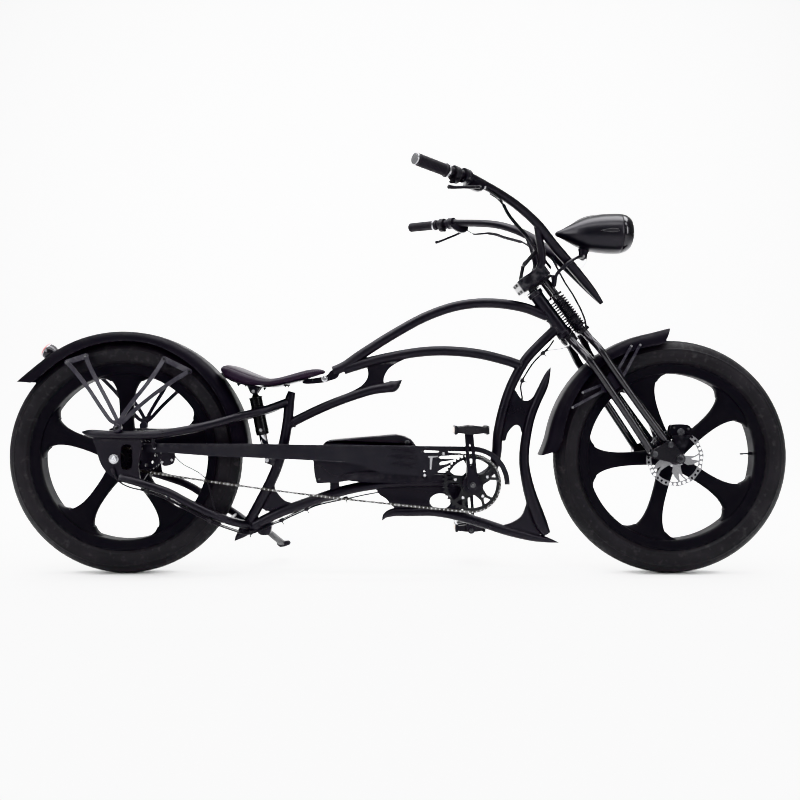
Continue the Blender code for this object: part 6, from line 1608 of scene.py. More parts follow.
# Pedals
# Moulded platform pedals: a cage with open windows, a row of grip studs, end reflectors and a steel spindle.
reflector_amber = coated("pedal_reflector", (0.55, 0.2, 0.02), (0.65, 0.27, 0.04), 0.22, coat=0.6,
    grain=300.0, depth=0.0001, rub=0.0, dust=0.05)
PEDAL_HALF_LONG = 0.051
PEDAL_HALF_WIDTH = 0.0485
PEDAL_HALF_TALL = 0.0125
for body, centre, side in (("pedal_right", right_pedal, -1), ("pedal_left", left_pedal, 1)):
    bars = []
    for low_x, high_x in ((-PEDAL_HALF_LONG, -0.041), (0.041, PEDAL_HALF_LONG)):
        corners = [(centre.x + low_x, centre.z - PEDAL_HALF_TALL),
            (centre.x + high_x, centre.z - PEDAL_HALF_TALL), (centre.x + high_x, centre.z + PEDAL_HALF_TALL),
            (centre.x + low_x, centre.z + PEDAL_HALF_TALL)]
        bars.append(cut_plate(corners, centre.y - PEDAL_HALF_WIDTH, centre.y + PEDAL_HALF_WIDTH))
    for low_y, high_y in ((-PEDAL_HALF_WIDTH, -0.04), (-0.005, 0.005), (0.04, PEDAL_HALF_WIDTH)):
        bars.append(cut_plate([(centre.x - 0.044, centre.z - 0.0085),
            (centre.x - 0.012, centre.z - PEDAL_HALF_TALL), (centre.x + 0.012, centre.z - PEDAL_HALF_TALL),
            (centre.x + 0.044, centre.z - 0.0085), (centre.x + 0.044, centre.z + 0.0085),
            (centre.x + 0.012, centre.z + PEDAL_HALF_TALL), (centre.x - 0.012, centre.z + PEDAL_HALF_TALL),
            (centre.x - 0.044, centre.z + 0.0085)], centre.y + low_y, centre.y + high_y))
        for forward in (-0.015, 0.015):
            bars.append(turned([(0.004, low_y - 0.001), (0.004, high_y + 0.001)],
                centre + Vector((forward, 0, 0)), segments=20))
    barrel = turned([(0.0115, -0.047), (0.012, -0.044), (0.012, 0.044), (0.0115, 0.047)], centre, segments=36)
    fit(f"{body}_cage", together(*bars, barrel), black_plastic, body, [body], bevel=0.0009)
    studs = []
    for forward in (-0.046, 0.046):
        for across in (-0.036, -0.018, 0.0, 0.018, 0.036):
            for face in (-1, 1):
                studs.append(turned([(0.0024, 0.0), (0.0024, 0.0024), (0.0015, 0.0034), (0.0001, 0.0034)],
                    centre + Vector((forward, across, face * 0.0124)), (0, 0, face), 12))
    fit(f"{body}_studs", together(*studs), bright_steel, body)
    plates = []
    for face in (-1, 1):
        plates.append(cut_plate([(centre.x + face * 0.0508, centre.z - 0.0062),
            (centre.x + face * 0.0514, centre.z - 0.0062), (centre.x + face * 0.0514, centre.z + 0.0062),
            (centre.x + face * 0.0508, centre.z + 0.0062)], centre.y - 0.026, centre.y + 0.026))
    fit(f"{body}_reflectors", together(*plates), reflector_amber, body)
    near_end, far_end = sorted((side * (0.1023 - 0.166), side * (0.15 - 0.166)))
    spindle = turned([(0.007, near_end), (0.0075, near_end + 0.001), (0.0075, far_end - 0.001),
        (0.007, far_end)], centre, segments=28)
    fit(f"{body}_spindle", spindle, bright_steel, body)


# Chain guard
# A long pressed-steel guard in near-black enamel with folded edges, two slots, flame-shaped gaps at its front
# and an arc over the chainring. Two rods, a small bracket and three bolts hold it.
GUARD_PLANE = -0.0775
outer_arc = [(BRACKET.x + 0.116 * cos(radians(angle)), BRACKET.z + 0.116 * sin(radians(angle)))
    for angle in [91 - 92.5 * step / 18 for step in range(19)]]
inner_arc = [(BRACKET.x + 0.0985 * cos(radians(angle)), BRACKET.z + 0.0985 * sin(radians(angle)))
    for angle in [-1.5 + 92.5 * step / 18 for step in range(19)]]
tongues = [(0.204, 0.3882), (0.156, 0.3888), (0.154, 0.3872), (0.17, 0.3852), (0.199, 0.3842), (0.176, 0.379),
    (0.156, 0.3752), (0.133, 0.3742), (0.1262, 0.3712), (0.133, 0.3672), (0.15, 0.3668), (0.169, 0.3674),
    (0.183, 0.3672), (0.168, 0.3614), (0.148, 0.3584), (0.133, 0.3566), (0.1285, 0.352), (0.1305, 0.3476),
    (0.144, 0.35), (0.156, 0.3536), (0.169, 0.359), (0.158, 0.345), (0.144, 0.3384), (0.136, 0.3344),
    (0.129, 0.33), (0.118, 0.3226), (0.1105, 0.3188), (0.13, 0.318), (0.142, 0.3168)]
guard_edge = [(-0.7826, 0.388), (-0.7826, 0.4125), (-0.7818, 0.4133), (-0.4539, 0.4133), (-0.2695, 0.4103),
    (0.007, 0.4075), (0.1299, 0.406), *outer_arc, *inner_arc, *tongues, (0.1148, 0.315), (0.0684, 0.3135),
    (0.007, 0.3181), (-0.0391, 0.3196), (-0.079, 0.3319), (-0.1159, 0.3473), (-0.162, 0.355),
    (-0.3002, 0.3627), (-0.4539, 0.3694), (-0.586, 0.3749), (-0.7058, 0.3842)]
guard_slots = [[(0.078, 0.3912), (0.122, 0.39), (0.122, 0.3868), (0.078, 0.387)],
    [(0.08, 0.33), (0.085, 0.327), (0.083, 0.324), (0.079, 0.326)]]
guard_slots = [rounded_line(slot, 4) for slot in guard_slots]
guard_plate = cut_plate(guard_edge, GUARD_PLANE - 0.0014, GUARD_PLANE + 0.002, guard_slots)
top_fold = bent_tube([(-0.78, GUARD_PLANE, 0.4112, 0.002), (-0.4539, GUARD_PLANE, 0.4113, 0.002),
    (-0.2695, GUARD_PLANE, 0.4083, 0.002), (0.007, GUARD_PLANE, 0.4055, 0.002),
    (0.129, GUARD_PLANE, 0.404, 0.002)], 12, 4)
low_fold = bent_tube([(-0.705, GUARD_PLANE, 0.3862, 0.0018), (-0.586, GUARD_PLANE, 0.3769, 0.0018),
    (-0.4539, GUARD_PLANE, 0.3714, 0.0018), (-0.3002, GUARD_PLANE, 0.3647, 0.0018),
    (-0.162, GUARD_PLANE, 0.357, 0.0018)], 12, 4)
ring_fold = bent_tube([(BRACKET.x + 0.114 * cos(radians(angle)), GUARD_PLANE,
    BRACKET.z + 0.114 * sin(radians(angle)), 0.002) for angle in (90, 75, 60, 45, 30, 15, 0)], 12, 5)
guard_rods = [bent_tube([(-0.7467, -0.078, 0.4026, 0.0055), (-0.7467, -0.09, 0.415, 0.0055),
    (-0.7467, -0.102, 0.436, 0.0055)], 20, 6), bent_tube(
    [(0.084, -0.0775, 0.319, 0.006), (0.084, -0.04, 0.306, 0.006), (0.084, -0.004, 0.293, 0.006)], 20, 6)]
guard_grey = coated("guard_enamel", (0.01, 0.01, 0.0112), (0.014, 0.014, 0.0152), 0.44, grain=520.0,
    bare=(0.3, 0.3, 0.31), rub=0.3, dust=0.04)
fit("chain_guard_pressing", together(guard_plate, top_fold, low_fold, ring_fold, *guard_rods), guard_grey,
    "frame", ["chain_guard"], bevel=0.0006)
# Dark flame-shaped plates proud of the guard's outer face: painted shade in the shape of flame gaps, standing
# in for the shaded battery seen through them.
flame_gap_shade_plates = []
for shape in (((-0.03, 0.398), (0.02, 0.3965), (0.062, 0.3935), (0.04, 0.389), (0.055, 0.383), (0.02, 0.387),
        (-0.01, 0.393)), ((-0.034, 0.377), (0.01, 0.379), (0.062, 0.3745), (0.036, 0.37), (0.06, 0.363),
        (0.01, 0.368), (-0.012, 0.373)), ((-0.02, 0.352), (0.012, 0.357), (0.06, 0.352), (0.034, 0.346),
        (0.052, 0.339), (0.014, 0.345), (-0.004, 0.349))):
    flame_gap_shade_plates.append(cut_plate(rounded_line(list(shape), 4), GUARD_PLANE - 0.0026, GUARD_PLANE - 0.0012))
fit("chain_guard_painted_flame_shade", together(*flame_gap_shade_plates), satin_black, "frame", bevel=0.0004)
guard_bracket = cut_plate([(0.093, 0.3752), (0.1237, 0.3752), (0.1237, 0.3724), (0.107, 0.3708),
    (0.105, 0.356), (0.103, 0.334), (0.0985, 0.334), (0.099, 0.369), (0.093, 0.372)], GUARD_PLANE - 0.004,
    GUARD_PLANE - 0.0026)
fit("chain_guard_bracket", guard_bracket, bright_steel, "frame", bevel=0.0004)
guard_bolts = [screw((x, GUARD_PLANE - 0.0014, z), (0, -1, 0), 0.0045, 0.0026, 0.0022)
    for x, z in ((0.1404, 0.382), (0.083, 0.316), (-0.7467, 0.4))]
fit("chain_guard_bolts", together(*guard_bolts), bright_steel, "frame")


# Saddle
# Foam under dark stitched leather: the pad is pressed out by a cloth simulation from a slightly thinner
# blank, then gets a sunk seam down each side with a row of stitches and a welt round its lower edge.
SADDLE_STATIONS = [(-0.554, 0.03, 0.648, 0.64), (-0.55, 0.06, 0.654, 0.6345), (-0.54, 0.084, 0.6575, 0.6255),
    (-0.525, 0.103, 0.658, 0.616), (-0.5, 0.119, 0.652, 0.6045), (-0.47, 0.125, 0.639, 0.5965),
    (-0.44, 0.121, 0.627, 0.592), (-0.41, 0.11, 0.6165, 0.5905), (-0.38, 0.094, 0.6165, 0.593),
    (-0.345, 0.074, 0.6255, 0.6015), (-0.31, 0.057, 0.6365, 0.61), (-0.28, 0.047, 0.644, 0.6165),
    (-0.25, 0.038, 0.647, 0.6255), (-0.235, 0.028, 0.6445, 0.629), (-0.228, 0.012, 0.64, 0.634)]
SADDLE_ROUND = [(0.0, 1.0), (0.35, 0.985), (0.65, 0.93), (0.87, 0.8), (0.985, 0.58), (0.99, 0.4), (0.93, 0.2),
    (0.84, 0.05), (0.8, 0.0), (0.4, 0.0)]
SWELL = 0.0022
STITCH_PITCH = 0.0052
SEAM_START = -0.545
SEAM_LONG = 0.309
SEAM_STEPS = 150

saddle_rows = curved(SADDLE_STATIONS, 4)
pad_rings = []
for x, half, top, bottom in saddle_rows:
    half = max(half - SWELL * 0.5, 0.004)
    tall = max(top - bottom - SWELL, 0.003)
    edge = [(out * half, bottom + 0.0006 + up * tall) for out, up in SADDLE_ROUND]
    edge += [(0.0, bottom + 0.0006)] + [(-out, z) for out, z in reversed(edge[1:])]
    pad_rings.append([Vector((x, across, z)) for across, z in edge])
leather = coated("saddle_leather", (0.017, 0.0125, 0.0185), (0.027, 0.0205, 0.0285), 0.54, grain=520.0,
    depth=0.00011, shine=0.2, bare=(0.06, 0.05, 0.06), rub=0.25, dust=0.04, spread=0.08)
cushion = fit("saddle_cushion_leather", skin(pad_rings), leather, "saddle", ["saddle_cushion"],
    sharp=180)
evener = cushion.modifiers.new("even_mesh", "REMESH")
evener.mode = "VOXEL"
evener.voxel_size = 0.0045
evener.use_smooth_shade = True


def settle(piece):
    """Applies what the modifiers make of a piece to its own mesh."""
    bpy.context.view_layer.update()
    graph = bpy.context.evaluated_depsgraph_get()
    made = bpy.data.meshes.new_from_object(piece.evaluated_get(graph), depsgraph=graph)
    piece.modifiers.clear()
    old = piece.data
    piece.data = made
    if not made.materials:
        made.materials.append(old.materials[0])


settle(cushion)
blank = [vert.co.copy() for vert in cushion.data.vertices]
held = cushion.vertex_groups.new(name="glued_to_the_pan")
for vert in cushion.data.vertices:
    if vert.normal.z < -0.75:
        held.add([vert.index], 1.0, "REPLACE")
cloth = cushion.modifiers.new("stuffing", "CLOTH")
cloth.settings.quality = 5
cloth.settings.mass = 0.3
cloth.settings.tension_stiffness = 15
cloth.settings.compression_stiffness = 15
cloth.settings.bending_stiffness = 2.0
cloth.settings.use_pressure = True
cloth.settings.uniform_pressure_force = 4.0
cloth.settings.vertex_group_mass = "glued_to_the_pan"
cloth.settings.effector_weights.gravity = 0.0
cloth.point_cache.frame_start = 1
cloth.point_cache.frame_end = 20
for frame_number in range(1, 21):
    bpy.context.scene.frame_set(frame_number)
settle(cushion)
bpy.context.scene.frame_set(1)
for vert, start in zip(cushion.data.vertices, blank):
    move = vert.co - start
    if move.length > SWELL:
        vert.co = start + move.normalized() * SWELL
cushion.vertex_groups.clear()
smoother = cushion.modifiers.new("even_out", "SMOOTH")
smoother.factor = 0.5
smoother.iterations = 6
finer = cushion.modifiers.new("finer_mesh", "SUBSURF")
finer.levels = 1
finer.render_levels = 1
settle(cushion)


def saddle_level(x):
    """Half width, top and bottom of the pad at a place along it."""
    for first, second in zip(saddle_rows, saddle_rows[1:]):
        if first.x <= x <= second.x:
            share = (x - first.x) / max(second.x - first.x, 1e-6)
            return first.lerp(second, share)
    return saddle_rows[-1]


cushion_surface = BVHTree.FromObject(cushion, bpy.context.evaluated_depsgraph_get())


def seam_line(out, up, start=SEAM_START, end=-0.236, count=SEAM_STEPS):
    """Points on the pad's own surface along a seam, for its left side."""
    line = []
    for step in range(count + 1):
        x = start + (end - start) * step / count
        _, half, top, bottom = saddle_level(x)
        aim = Vector((x, half * out, bottom + (top - bottom) * up))
        middle = Vector((x, 0.0, bottom + (top - bottom) * 0.45))
        away = (aim - middle).normalized()
        spot, normal, _, _ = cushion_surface.ray_cast(aim + away * 0.03, -away)
        if spot:
            line.append((spot, normal))
    return line


side_seam = seam_line(0.9, 0.76)
seam_points = [spot for spot, _ in side_seam]
for vert in cushion.data.vertices:
    spot = Vector((vert.co.x, abs(vert.co.y), vert.co.z))
    if spot.x < -0.548 or spot.x > -0.233:
        continue
    first = int((spot.x - SEAM_START) / SEAM_LONG * SEAM_STEPS)
    near = seam_points[max(0, first - 5):first + 6]
    gap = min(((point - spot).length for point in near), default=1.0)
    if gap < 0.006:
        vert.co -= vert.normal * 0.0013 * (1 - gap / 0.006) ** 1.5
cushion.data.shade_smooth()

stitches = []
for side in (-1, 1):
    for offset in (-0.0042, 0.0042):
        travelled = 0.0
        for (start, normal), (end, _) in zip(side_seam, side_seam[1:]):
            travelled += (end - start).length
            if travelled < STITCH_PITCH:
                continue
            travelled = 0.0
            along = (end - start).normalized()
            beside = normal.cross(along).normalized()
            spot, _, _, _ = cushion_surface.find_nearest(start + beside * offset)
            spot = spot + normal * 0.0001
            tips = [spot - along * 0.0016 - normal * 0.0005, spot, spot + along * 0.0016 - normal * 0.0005]
            stitches.append(bent_tube([(tip.x, side * tip.y, tip.z, 0.00038) for tip in tips], 6, 2))
thread = coated("waxed_thread", (0.055, 0.045, 0.058), (0.08, 0.068, 0.082), 0.55, grain=2500.0,
    depth=0.00002, rub=0.0, dust=0.02)
fit("saddle_stitches", together(*stitches), thread, "saddle", sharp=180)
welt_line = seam_line(0.955, 0.28, -0.552, -0.229)
welts = []
for side in (-1, 1):
    rows = [(spot.x, side * (spot.y - 0.0004), spot.z, 0.0014) for spot, _ in welt_line[::5]]
    welts.append(bent_tube(rows, 10, 3))
fit("saddle_welt", together(*welts), leather, "saddle", sharp=180)


# Saddle pan
# A pressed steel pan under the foam with the hinge and damper brackets welded on and four studs below.
SHOCK_TOP = Vector((-0.4551, 0.0, 0.5745))
SHOCK_BOTTOM = Vector((-0.4122, 0.0, 0.3564))
pan_rings = []
for x, half, top, bottom in saddle_rows[4:-12]:
    wide = half * 0.74
    upper = bottom - 0.0008
    pan_rings.append([Vector((x, across * wide, upper + lift))
        for across, lift in ((0.5, 0.0), (1.0, 0.0), (1.0, -0.0035), (0.94, -0.0035), (0.9, -0.0022),
        (0.4, -0.0022), (0.34, -0.0035), (-0.34, -0.0035), (-0.4, -0.0022), (-0.9, -0.0022), (-0.94, -0.0035),
        (-1.0, -0.0035), (-1.0, 0.0), (-0.5, 0.0))])
pan_brackets = []
for low in (-0.0155, 0.0115):
    pan_brackets.append(cut_plate(rounded_line([(-0.3, 0.606), (-0.281, 0.613), (-0.238, 0.621),
        (-0.219, 0.621), (-0.217, 0.61), (-0.23, 0.603), (-0.27, 0.598), (-0.299, 0.598)], 3), low,
        low + 0.004))
for low in (-0.016, 0.012):
    pan_brackets.append(cut_plate([(SHOCK_TOP.x - 0.022, 0.5925), (SHOCK_TOP.x - 0.011, 0.569),
        (SHOCK_TOP.x - 0.006, 0.5655), (SHOCK_TOP.x + 0.006, 0.5655), (SHOCK_TOP.x + 0.011, 0.569),
        (SHOCK_TOP.x + 0.026, 0.59)], low, low + 0.004))
fit("saddle_pan_pressing", together(skin(pan_rings), *pan_brackets), satin_black, "saddle",
    ["saddle_pan"], bevel=0.0006)
under_bolts = []
for x, across in ((-0.494, 0.052), (-0.432, 0.052), (-0.352, 0.03), (-0.268, 0.018)):
    _, half, top, bottom = saddle_level(x)
    for side in (-1, 1):
        under_bolts.append(hex_nut((x, side * across, bottom - 0.0042), (0, 0, -1), 0.0062, 0.005))
        under_bolts.append(turned([(0.003, 0.0), (0.003, 0.008), (0.0022, 0.009), (0.0001, 0.0092)],
            (x, side * across, bottom - 0.0045), (0, 0, -1), 16))
fit("saddle_pan_studs", together(*under_bolts), black_screw, "saddle")
hinge_bolt = []
for side in (-1, 1):
    face = Vector((-0.231, side * 0.0155, 0.614))
    hinge_bolt.append(turned([(0.0001, 0.0), (0.0095, 0.0), (0.0095, 0.001), (0.0086, 0.0014),
        (0.0001, 0.0014)], face, (0, side, 0), 32))
    hinge_bolt.append(screw(face + Vector((0, side * 0.0014, 0)), (0, side, 0), 0.0062, 0.0034, 0.003))
fit("saddle_hinge_bolt", together(*hinge_bolt), bright_steel, "saddle")


# Saddle damper
# An upright gas damper hung from the saddle: a black anodised upper body with machined rings and a side
# reservoir slides down a thick plated rod, whose eye is bolted between two lugs on the seat strut.
damper_way = (SHOCK_BOTTOM - SHOCK_TOP).normalized()
damper_long = (SHOCK_BOTTOM - SHOCK_TOP).length
damper_body = [(0.006, 0.006), (0.0085, 0.007), (0.01, 0.012), (0.014, 0.016), (0.0185, 0.0175),
    (0.0226, 0.0185), (0.0232, 0.0192), (0.0232, 0.0222), (0.0226, 0.023), (0.0205, 0.0236), (0.0205, 0.025)]
for groove in range(4):
    start = 0.0262 + groove * 0.0052
    damper_body += [(0.0212, start), (0.0212, start + 0.003), (0.0202, start + 0.0034),
        (0.0202, start + 0.0048)]
damper_body += [(0.0212, 0.048), (0.0212, 0.086), (0.0206, 0.0866), (0.0206, 0.0884), (0.0212, 0.089),
    (0.0212, 0.119), (0.022, 0.1196), (0.022, 0.129), (0.0212, 0.1296), (0.0212, 0.138), (0.02, 0.1408),
    (0.015, 0.141), (0.0147, 0.14), (0.0147, 0.103), (0.0001, 0.102)]
top_eye = turned([(0.0001, -0.0112), (0.0088, -0.0112), (0.0095, -0.0105), (0.0095, 0.0105), (0.0088, 0.0112),
    (0.0001, 0.0112)], SHOCK_TOP, segments=32)
reservoir_foot = SHOCK_TOP + Vector((0.0, 0.024, 0.0))
reservoir = turned([(0.0001, 0.0335), (0.01, 0.0335), (0.0118, 0.035), (0.0118, 0.044), (0.0112, 0.0444),
    (0.0112, 0.046), (0.0118, 0.0464), (0.0118, 0.101), (0.0104, 0.1034), (0.005, 0.104), (0.0001, 0.104)],
    reservoir_foot, damper_way, 36)
neck_spot = SHOCK_TOP + damper_way * 0.056
neck = bent_tube([(*(neck_spot + Vector((0, 0.012, 0))), 0.0065),
    (*(neck_spot + Vector((0, 0.026, 0))), 0.0065)], 20, 2)
anodised_black = coated("anodised_black", (0.006, 0.006, 0.0066), (0.01, 0.01, 0.0108), 0.26, metal=0.3,
    grain=900.0, depth=0.00001, bare=(0.3, 0.3, 0.31), rub=0.4, dust=0.03)
fit("damper_body", together(turned(damper_body, SHOCK_TOP, damper_way, 56), top_eye, reservoir, neck),
    anodised_black, "shock_upper", ["shock_body"], bevel=0.0004, sharp=30)
adjuster = turned([(0.0001, 0.0), (0.005, 0.0), (0.0054, 0.0006), (0.0054, 0.004), (0.0048, 0.0046),
    (0.0001, 0.0046)], SHOCK_TOP + damper_way * 0.124 + Vector((0, -0.0216, 0)), (0, -1, 0), 24)
fit("damper_adjuster", adjuster, bright_steel, "shock_upper")
damper_rod = turned([(0.0001, 0.118), (0.014, 0.118), (0.014, damper_long - 0.025),
    (0.0128, damper_long - 0.0225), (0.0092, damper_long - 0.015), (0.009, damper_long - 0.004),
    (0.0001, damper_long - 0.003)], SHOCK_TOP, damper_way, 56)
bottom_eye = turned([(0.0001, -0.0107), (0.0092, -0.0107), (0.01, -0.0099), (0.01, 0.0099), (0.0092, 0.0107),
    (0.0001, 0.0107)], SHOCK_BOTTOM, segments=32)
chrome = coated("hard_chrome", (0.66, 0.66, 0.68), (0.58, 0.58, 0.6), 0.08, metal=1.0, grain=1200.0,
    depth=0.000004, bare=(0.75, 0.75, 0.77), rub=0.1, dust=0.08, spread=0.04)
fit("damper_rod", together(damper_rod, bottom_eye), chrome, "frame", ["shock_shaft"])
damper_bolts = [screw(SHOCK_BOTTOM + Vector((0, side * 0.015, 0)), (0, side, 0), 0.0062, 0.0042, 0.003)
    for side in (-1, 1)]
fit("damper_lower_bolt", together(*damper_bolts), bright_steel, "frame")
top_bolts = [screw(SHOCK_TOP + Vector((0, side * 0.016, 0)), (0, side, 0), 0.006, 0.004, 0.003)
    for side in (-1, 1)]
fit("damper_upper_bolt", together(*top_bolts), bright_steel, "saddle")


# Battery
# A moulded case that rests on the rail on two feet, with raised creases, a lid, screws, a lock, a cap over
# the charge socket, a bright bracket at its front end and a black tray plate beside it.
case_edge = [(-0.2666, 0.4), (-0.2655, 0.38), (-0.2619, 0.3294), (-0.26, 0.312), (-0.2541, 0.2875),
    (-0.2515, 0.2862), (-0.23, 0.2872), (-0.1795, 0.2905), (-0.1111, 0.3014), (0.007, 0.3123),
    (0.066, 0.3137), (0.069, 0.3165), (0.069, 0.36), (0.066, 0.382), (0.063, 0.4005)]
case_body = cut_plate(case_edge, -0.045, 0.045)
case_feet = [cut_plate([(-0.215, 0.248), (-0.185, 0.258), (-0.185, 0.296), (-0.215, 0.293)], -0.01, 0.01),
    cut_plate([(0.0, 0.287), (0.03, 0.287), (0.03, 0.316), (0.0, 0.315)], -0.01, 0.01)]
lid_edge = [(-0.238, 0.4012), (0.06, 0.4012), (0.054, 0.4095), (0.0424, 0.4239), (0.0204, 0.4351),
    (-0.0073, 0.4404), (-0.113, 0.432), (-0.2128, 0.4227), (-0.227, 0.417), (-0.2324, 0.4111)]
case_plastic = coated("battery_case_plastic", (0.008, 0.0078, 0.0088), (0.012, 0.0118, 0.013), 0.36,
    grain=900.0, depth=0.00006, bare=(0.07, 0.07, 0.07), rub=0.25, dust=0.08)
fit("battery_case_moulding", together(case_body, *case_feet), case_plastic, "frame",
    ["battery_case"], bevel=0.0055)
fit("battery_lid_moulding", cut_plate(lid_edge, -0.0428, 0.0428), case_plastic, "frame",
    ["battery_lid"], bevel=0.006)
creases = []
for side in (-1, 1):
    face = side * 0.0447
    creases.append(bent_tube([(-0.258, face, 0.344, 0.0006), (-0.24, face, 0.342, 0.0012),
        (-0.205, face, 0.315, 0.0013), (-0.16, face, 0.313, 0.0013), (-0.06, face, 0.33, 0.0013),
        (0.05, face, 0.338, 0.0012), (0.064, face, 0.339, 0.0006)], 12, 6))
    creases.append(bent_tube([(-0.258, face, 0.39, 0.0008), (-0.14, face, 0.3905, 0.0012),
        (0.058, face, 0.39, 0.0008)], 12, 6))
fit("battery_creases", together(*creases), case_plastic, "frame", sharp=60)
case_screws = []
for side in (-1, 1):
    for x, z in ((-0.245, 0.3), (-0.252, 0.383), (-0.1, 0.32), (0.054, 0.326), (0.052, 0.384)):
        case_screws.append(screw((x, side * 0.0448, z), (0, side, 0), 0.0036, 0.0012, 0.0018))
tray = cut_plate(rounded_line([(-0.14, 0.293), (0.148, 0.293), (0.15, 0.3215), (-0.138, 0.3215)], 4), -0.05,
    -0.0465)
fit("battery_tray", tray, satin_black, "frame", bevel=0.0006)
fit("battery_screws", together(*case_screws), dark_bolt, "frame")
socket_cap = turned([(0.0001, 0.0), (0.0105, 0.0), (0.0105, 0.0014), (0.0092, 0.0026), (0.0001, 0.0028)],
    (-0.22, -0.0447, 0.365), (0, -1, 0), 32)
fit("battery_socket_cap", together(socket_cap, cut_plate(
    [(-0.2325, 0.3625), (-0.229, 0.3625), (-0.229, 0.3675), (-0.2325, 0.3675)], -0.0462, -0.0445)),
    grip_rubber, "frame", bevel=0.0005)
lock = turned([(0.0001, 0.0), (0.0085, 0.0), (0.0085, 0.0014), (0.0075, 0.002), (0.0016, 0.002),
    (0.0016, 0.0006), (0.0001, 0.0006)], (0.03, -0.0425, 0.413), (0, -1, 0), 32)
fit("battery_lock", lock, dark_bolt, "frame")
holder = [cut_plate([(0.07, 0.375), (0.087, 0.369), (0.089, 0.374), (0.081, 0.39), (0.069, 0.4),
    (0.066, 0.39)], low, low + 0.003) for low in (-0.03, 0.027)]
fit("battery_end_bracket", together(*holder), bright_steel, "frame", bevel=0.0006)


# Kickstand
# A stout bent steel leg with a wedge-toed rubber foot. Its hip turns on a bolt in the lug under the rail.
STAND_PIVOT = Vector((-0.426, 0.0438, 0.128))
STAND_AXIS = Vector((0.0, 0.41, 0.91)).normalized()
stand_hip = turned([(0.0001, -0.01), (0.0088, -0.01), (0.01, -0.0088), (0.01, 0.0088), (0.0088, 0.01),
    (0.0001, 0.01)], STAND_PIVOT, STAND_AXIS, 36)
stand_leg = bent_tube([(*STAND_PIVOT, 0.008), (-0.422, 0.062, 0.119, 0.0098), (-0.416, 0.095, 0.103, 0.0116),
    (-0.408, 0.14, 0.082, 0.0118), (-0.398, 0.205, 0.053, 0.0118)], 28, 8)
fit("kickstand_leg", together(stand_hip, stand_leg), satin_black, "kickstand", ["kickstand"])
foot_way = Vector((0.006, 0.065, -0.031)).normalized()
stand_foot = turned([(0.0118, 0.0), (0.0134, 0.0004), (0.0141, 0.0026), (0.0141, 0.005), (0.0133, 0.0056),
    (0.0133, 0.0076), (0.0143, 0.0082), (0.0146, 0.011), (0.0137, 0.0117), (0.0139, 0.014), (0.0146, 0.016),
    (0.014, 0.023), (0.011, 0.0262), (0.0001, 0.0268)], (-0.404, 0.186, 0.0615), foot_way, 36)
toe_rows = [(-0.404, 0.202, 0.053, 0.0125), (-0.394, 0.204, 0.052, 0.0118), (-0.384, 0.2045, 0.0535, 0.0098),
    (-0.375, 0.2045, 0.0555, 0.0082), (-0.3705, 0.2045, 0.0565, 0.004)]
fit("kickstand_foot", together(stand_foot, bent_tube(toe_rows, 28, 6)), grip_rubber, "kickstand")
stand_bolt = [screw(STAND_PIVOT + STAND_AXIS * side * 0.0098, STAND_AXIS * side, 0.0052, 0.0034, 0.0026)
    for side in (-1, 1)]
fit("kickstand_bolt", together(*stand_bolt), bright_steel, "kickstand")


# Brake calipers
# Cast two-part bodies that straddle the rotors, with socket bolts and, at the front, a turned piston cover.
# The front one stands on the right rocker and the rear one on the left dropout plate.
front_rotor_slot_top = 0.462
caliper_x = 0.872
caliper_z = 0.448
front_cheeks = [cut_plate(rounded_line([(caliper_x - 0.033, caliper_z - 0.018),
    (caliper_x - 0.03, caliper_z + 0.018), (caliper_x - 0.014, caliper_z + 0.0238),
    (caliper_x + 0.018, caliper_z + 0.0238), (caliper_x + 0.033, caliper_z + 0.012),
    (caliper_x + 0.033, caliper_z - 0.014), (caliper_x + 0.012, caliper_z - 0.0218),
    (caliper_x - 0.016, caliper_z - 0.0218)], 3), low, high)
    for low, high in ((-0.072, -0.0577), (-0.0523, -0.044))]
front_bridge = cut_plate([(caliper_x - 0.026, front_rotor_slot_top),
    (caliper_x + 0.026, front_rotor_slot_top), (caliper_x + 0.022, caliper_z + 0.0236),
    (caliper_x - 0.024, caliper_z + 0.0236)], -0.0715, -0.0445)
front_hanger = cut_plate([(caliper_x - 0.03, caliper_z - 0.01), (caliper_x + 0.024, caliper_z - 0.01),
    (0.87, 0.374), (0.85, 0.374)], -0.0897, -0.0712)
fit("front_caliper_casting", together(*front_cheeks, front_bridge, front_hanger), cast_black, "rockers",
    ["front_caliper"], bevel=0.0018)
caliper_bolts = []
for forward, up in ((-0.022, 0.014), (0.022, 0.01), (-0.02, -0.014), (0.02, -0.014)):
    caliper_bolts.append(screw((caliper_x + forward, -0.072, caliper_z + up), (0, -1, 0), 0.0042, 0.003,
        0.0022))
piston_cover = turned([(0.0001, 0.0), (0.0118, 0.0), (0.0118, 0.0016), (0.0106, 0.0026), (0.003, 0.0026),
    (0.003, 0.001), (0.0001, 0.001)], (caliper_x, -0.0718, caliper_z), (0, -1, 0), 36)
fit("front_caliper_bolts", together(*caliper_bolts, piston_cover), dark_bolt, "rockers")
rear_cheeks = [cut_plate(rounded_line([(-0.8235, 0.402), (-0.82, 0.3985), (-0.78, 0.3985), (-0.7765, 0.406),
    (-0.7765, 0.434), (-0.785, 0.4415), (-0.816, 0.4415), (-0.8235, 0.434)], 3), low, high)
    for low, high in ((0.0475, 0.0523), (0.0577, 0.068))]
rear_bridge = cut_plate([(-0.805, 0.426), (-0.78, 0.415), (-0.78, 0.439), (-0.814, 0.441)], 0.048, 0.0675)
rear_foot = cut_plate([(-0.82, 0.41), (-0.79, 0.41), (-0.79, 0.425), (-0.82, 0.425)], 0.066, 0.1027)
fit("rear_caliper_casting", together(*rear_cheeks, rear_bridge, rear_foot), cast_black, "frame",
    ["rear_caliper"], bevel=0.0016)
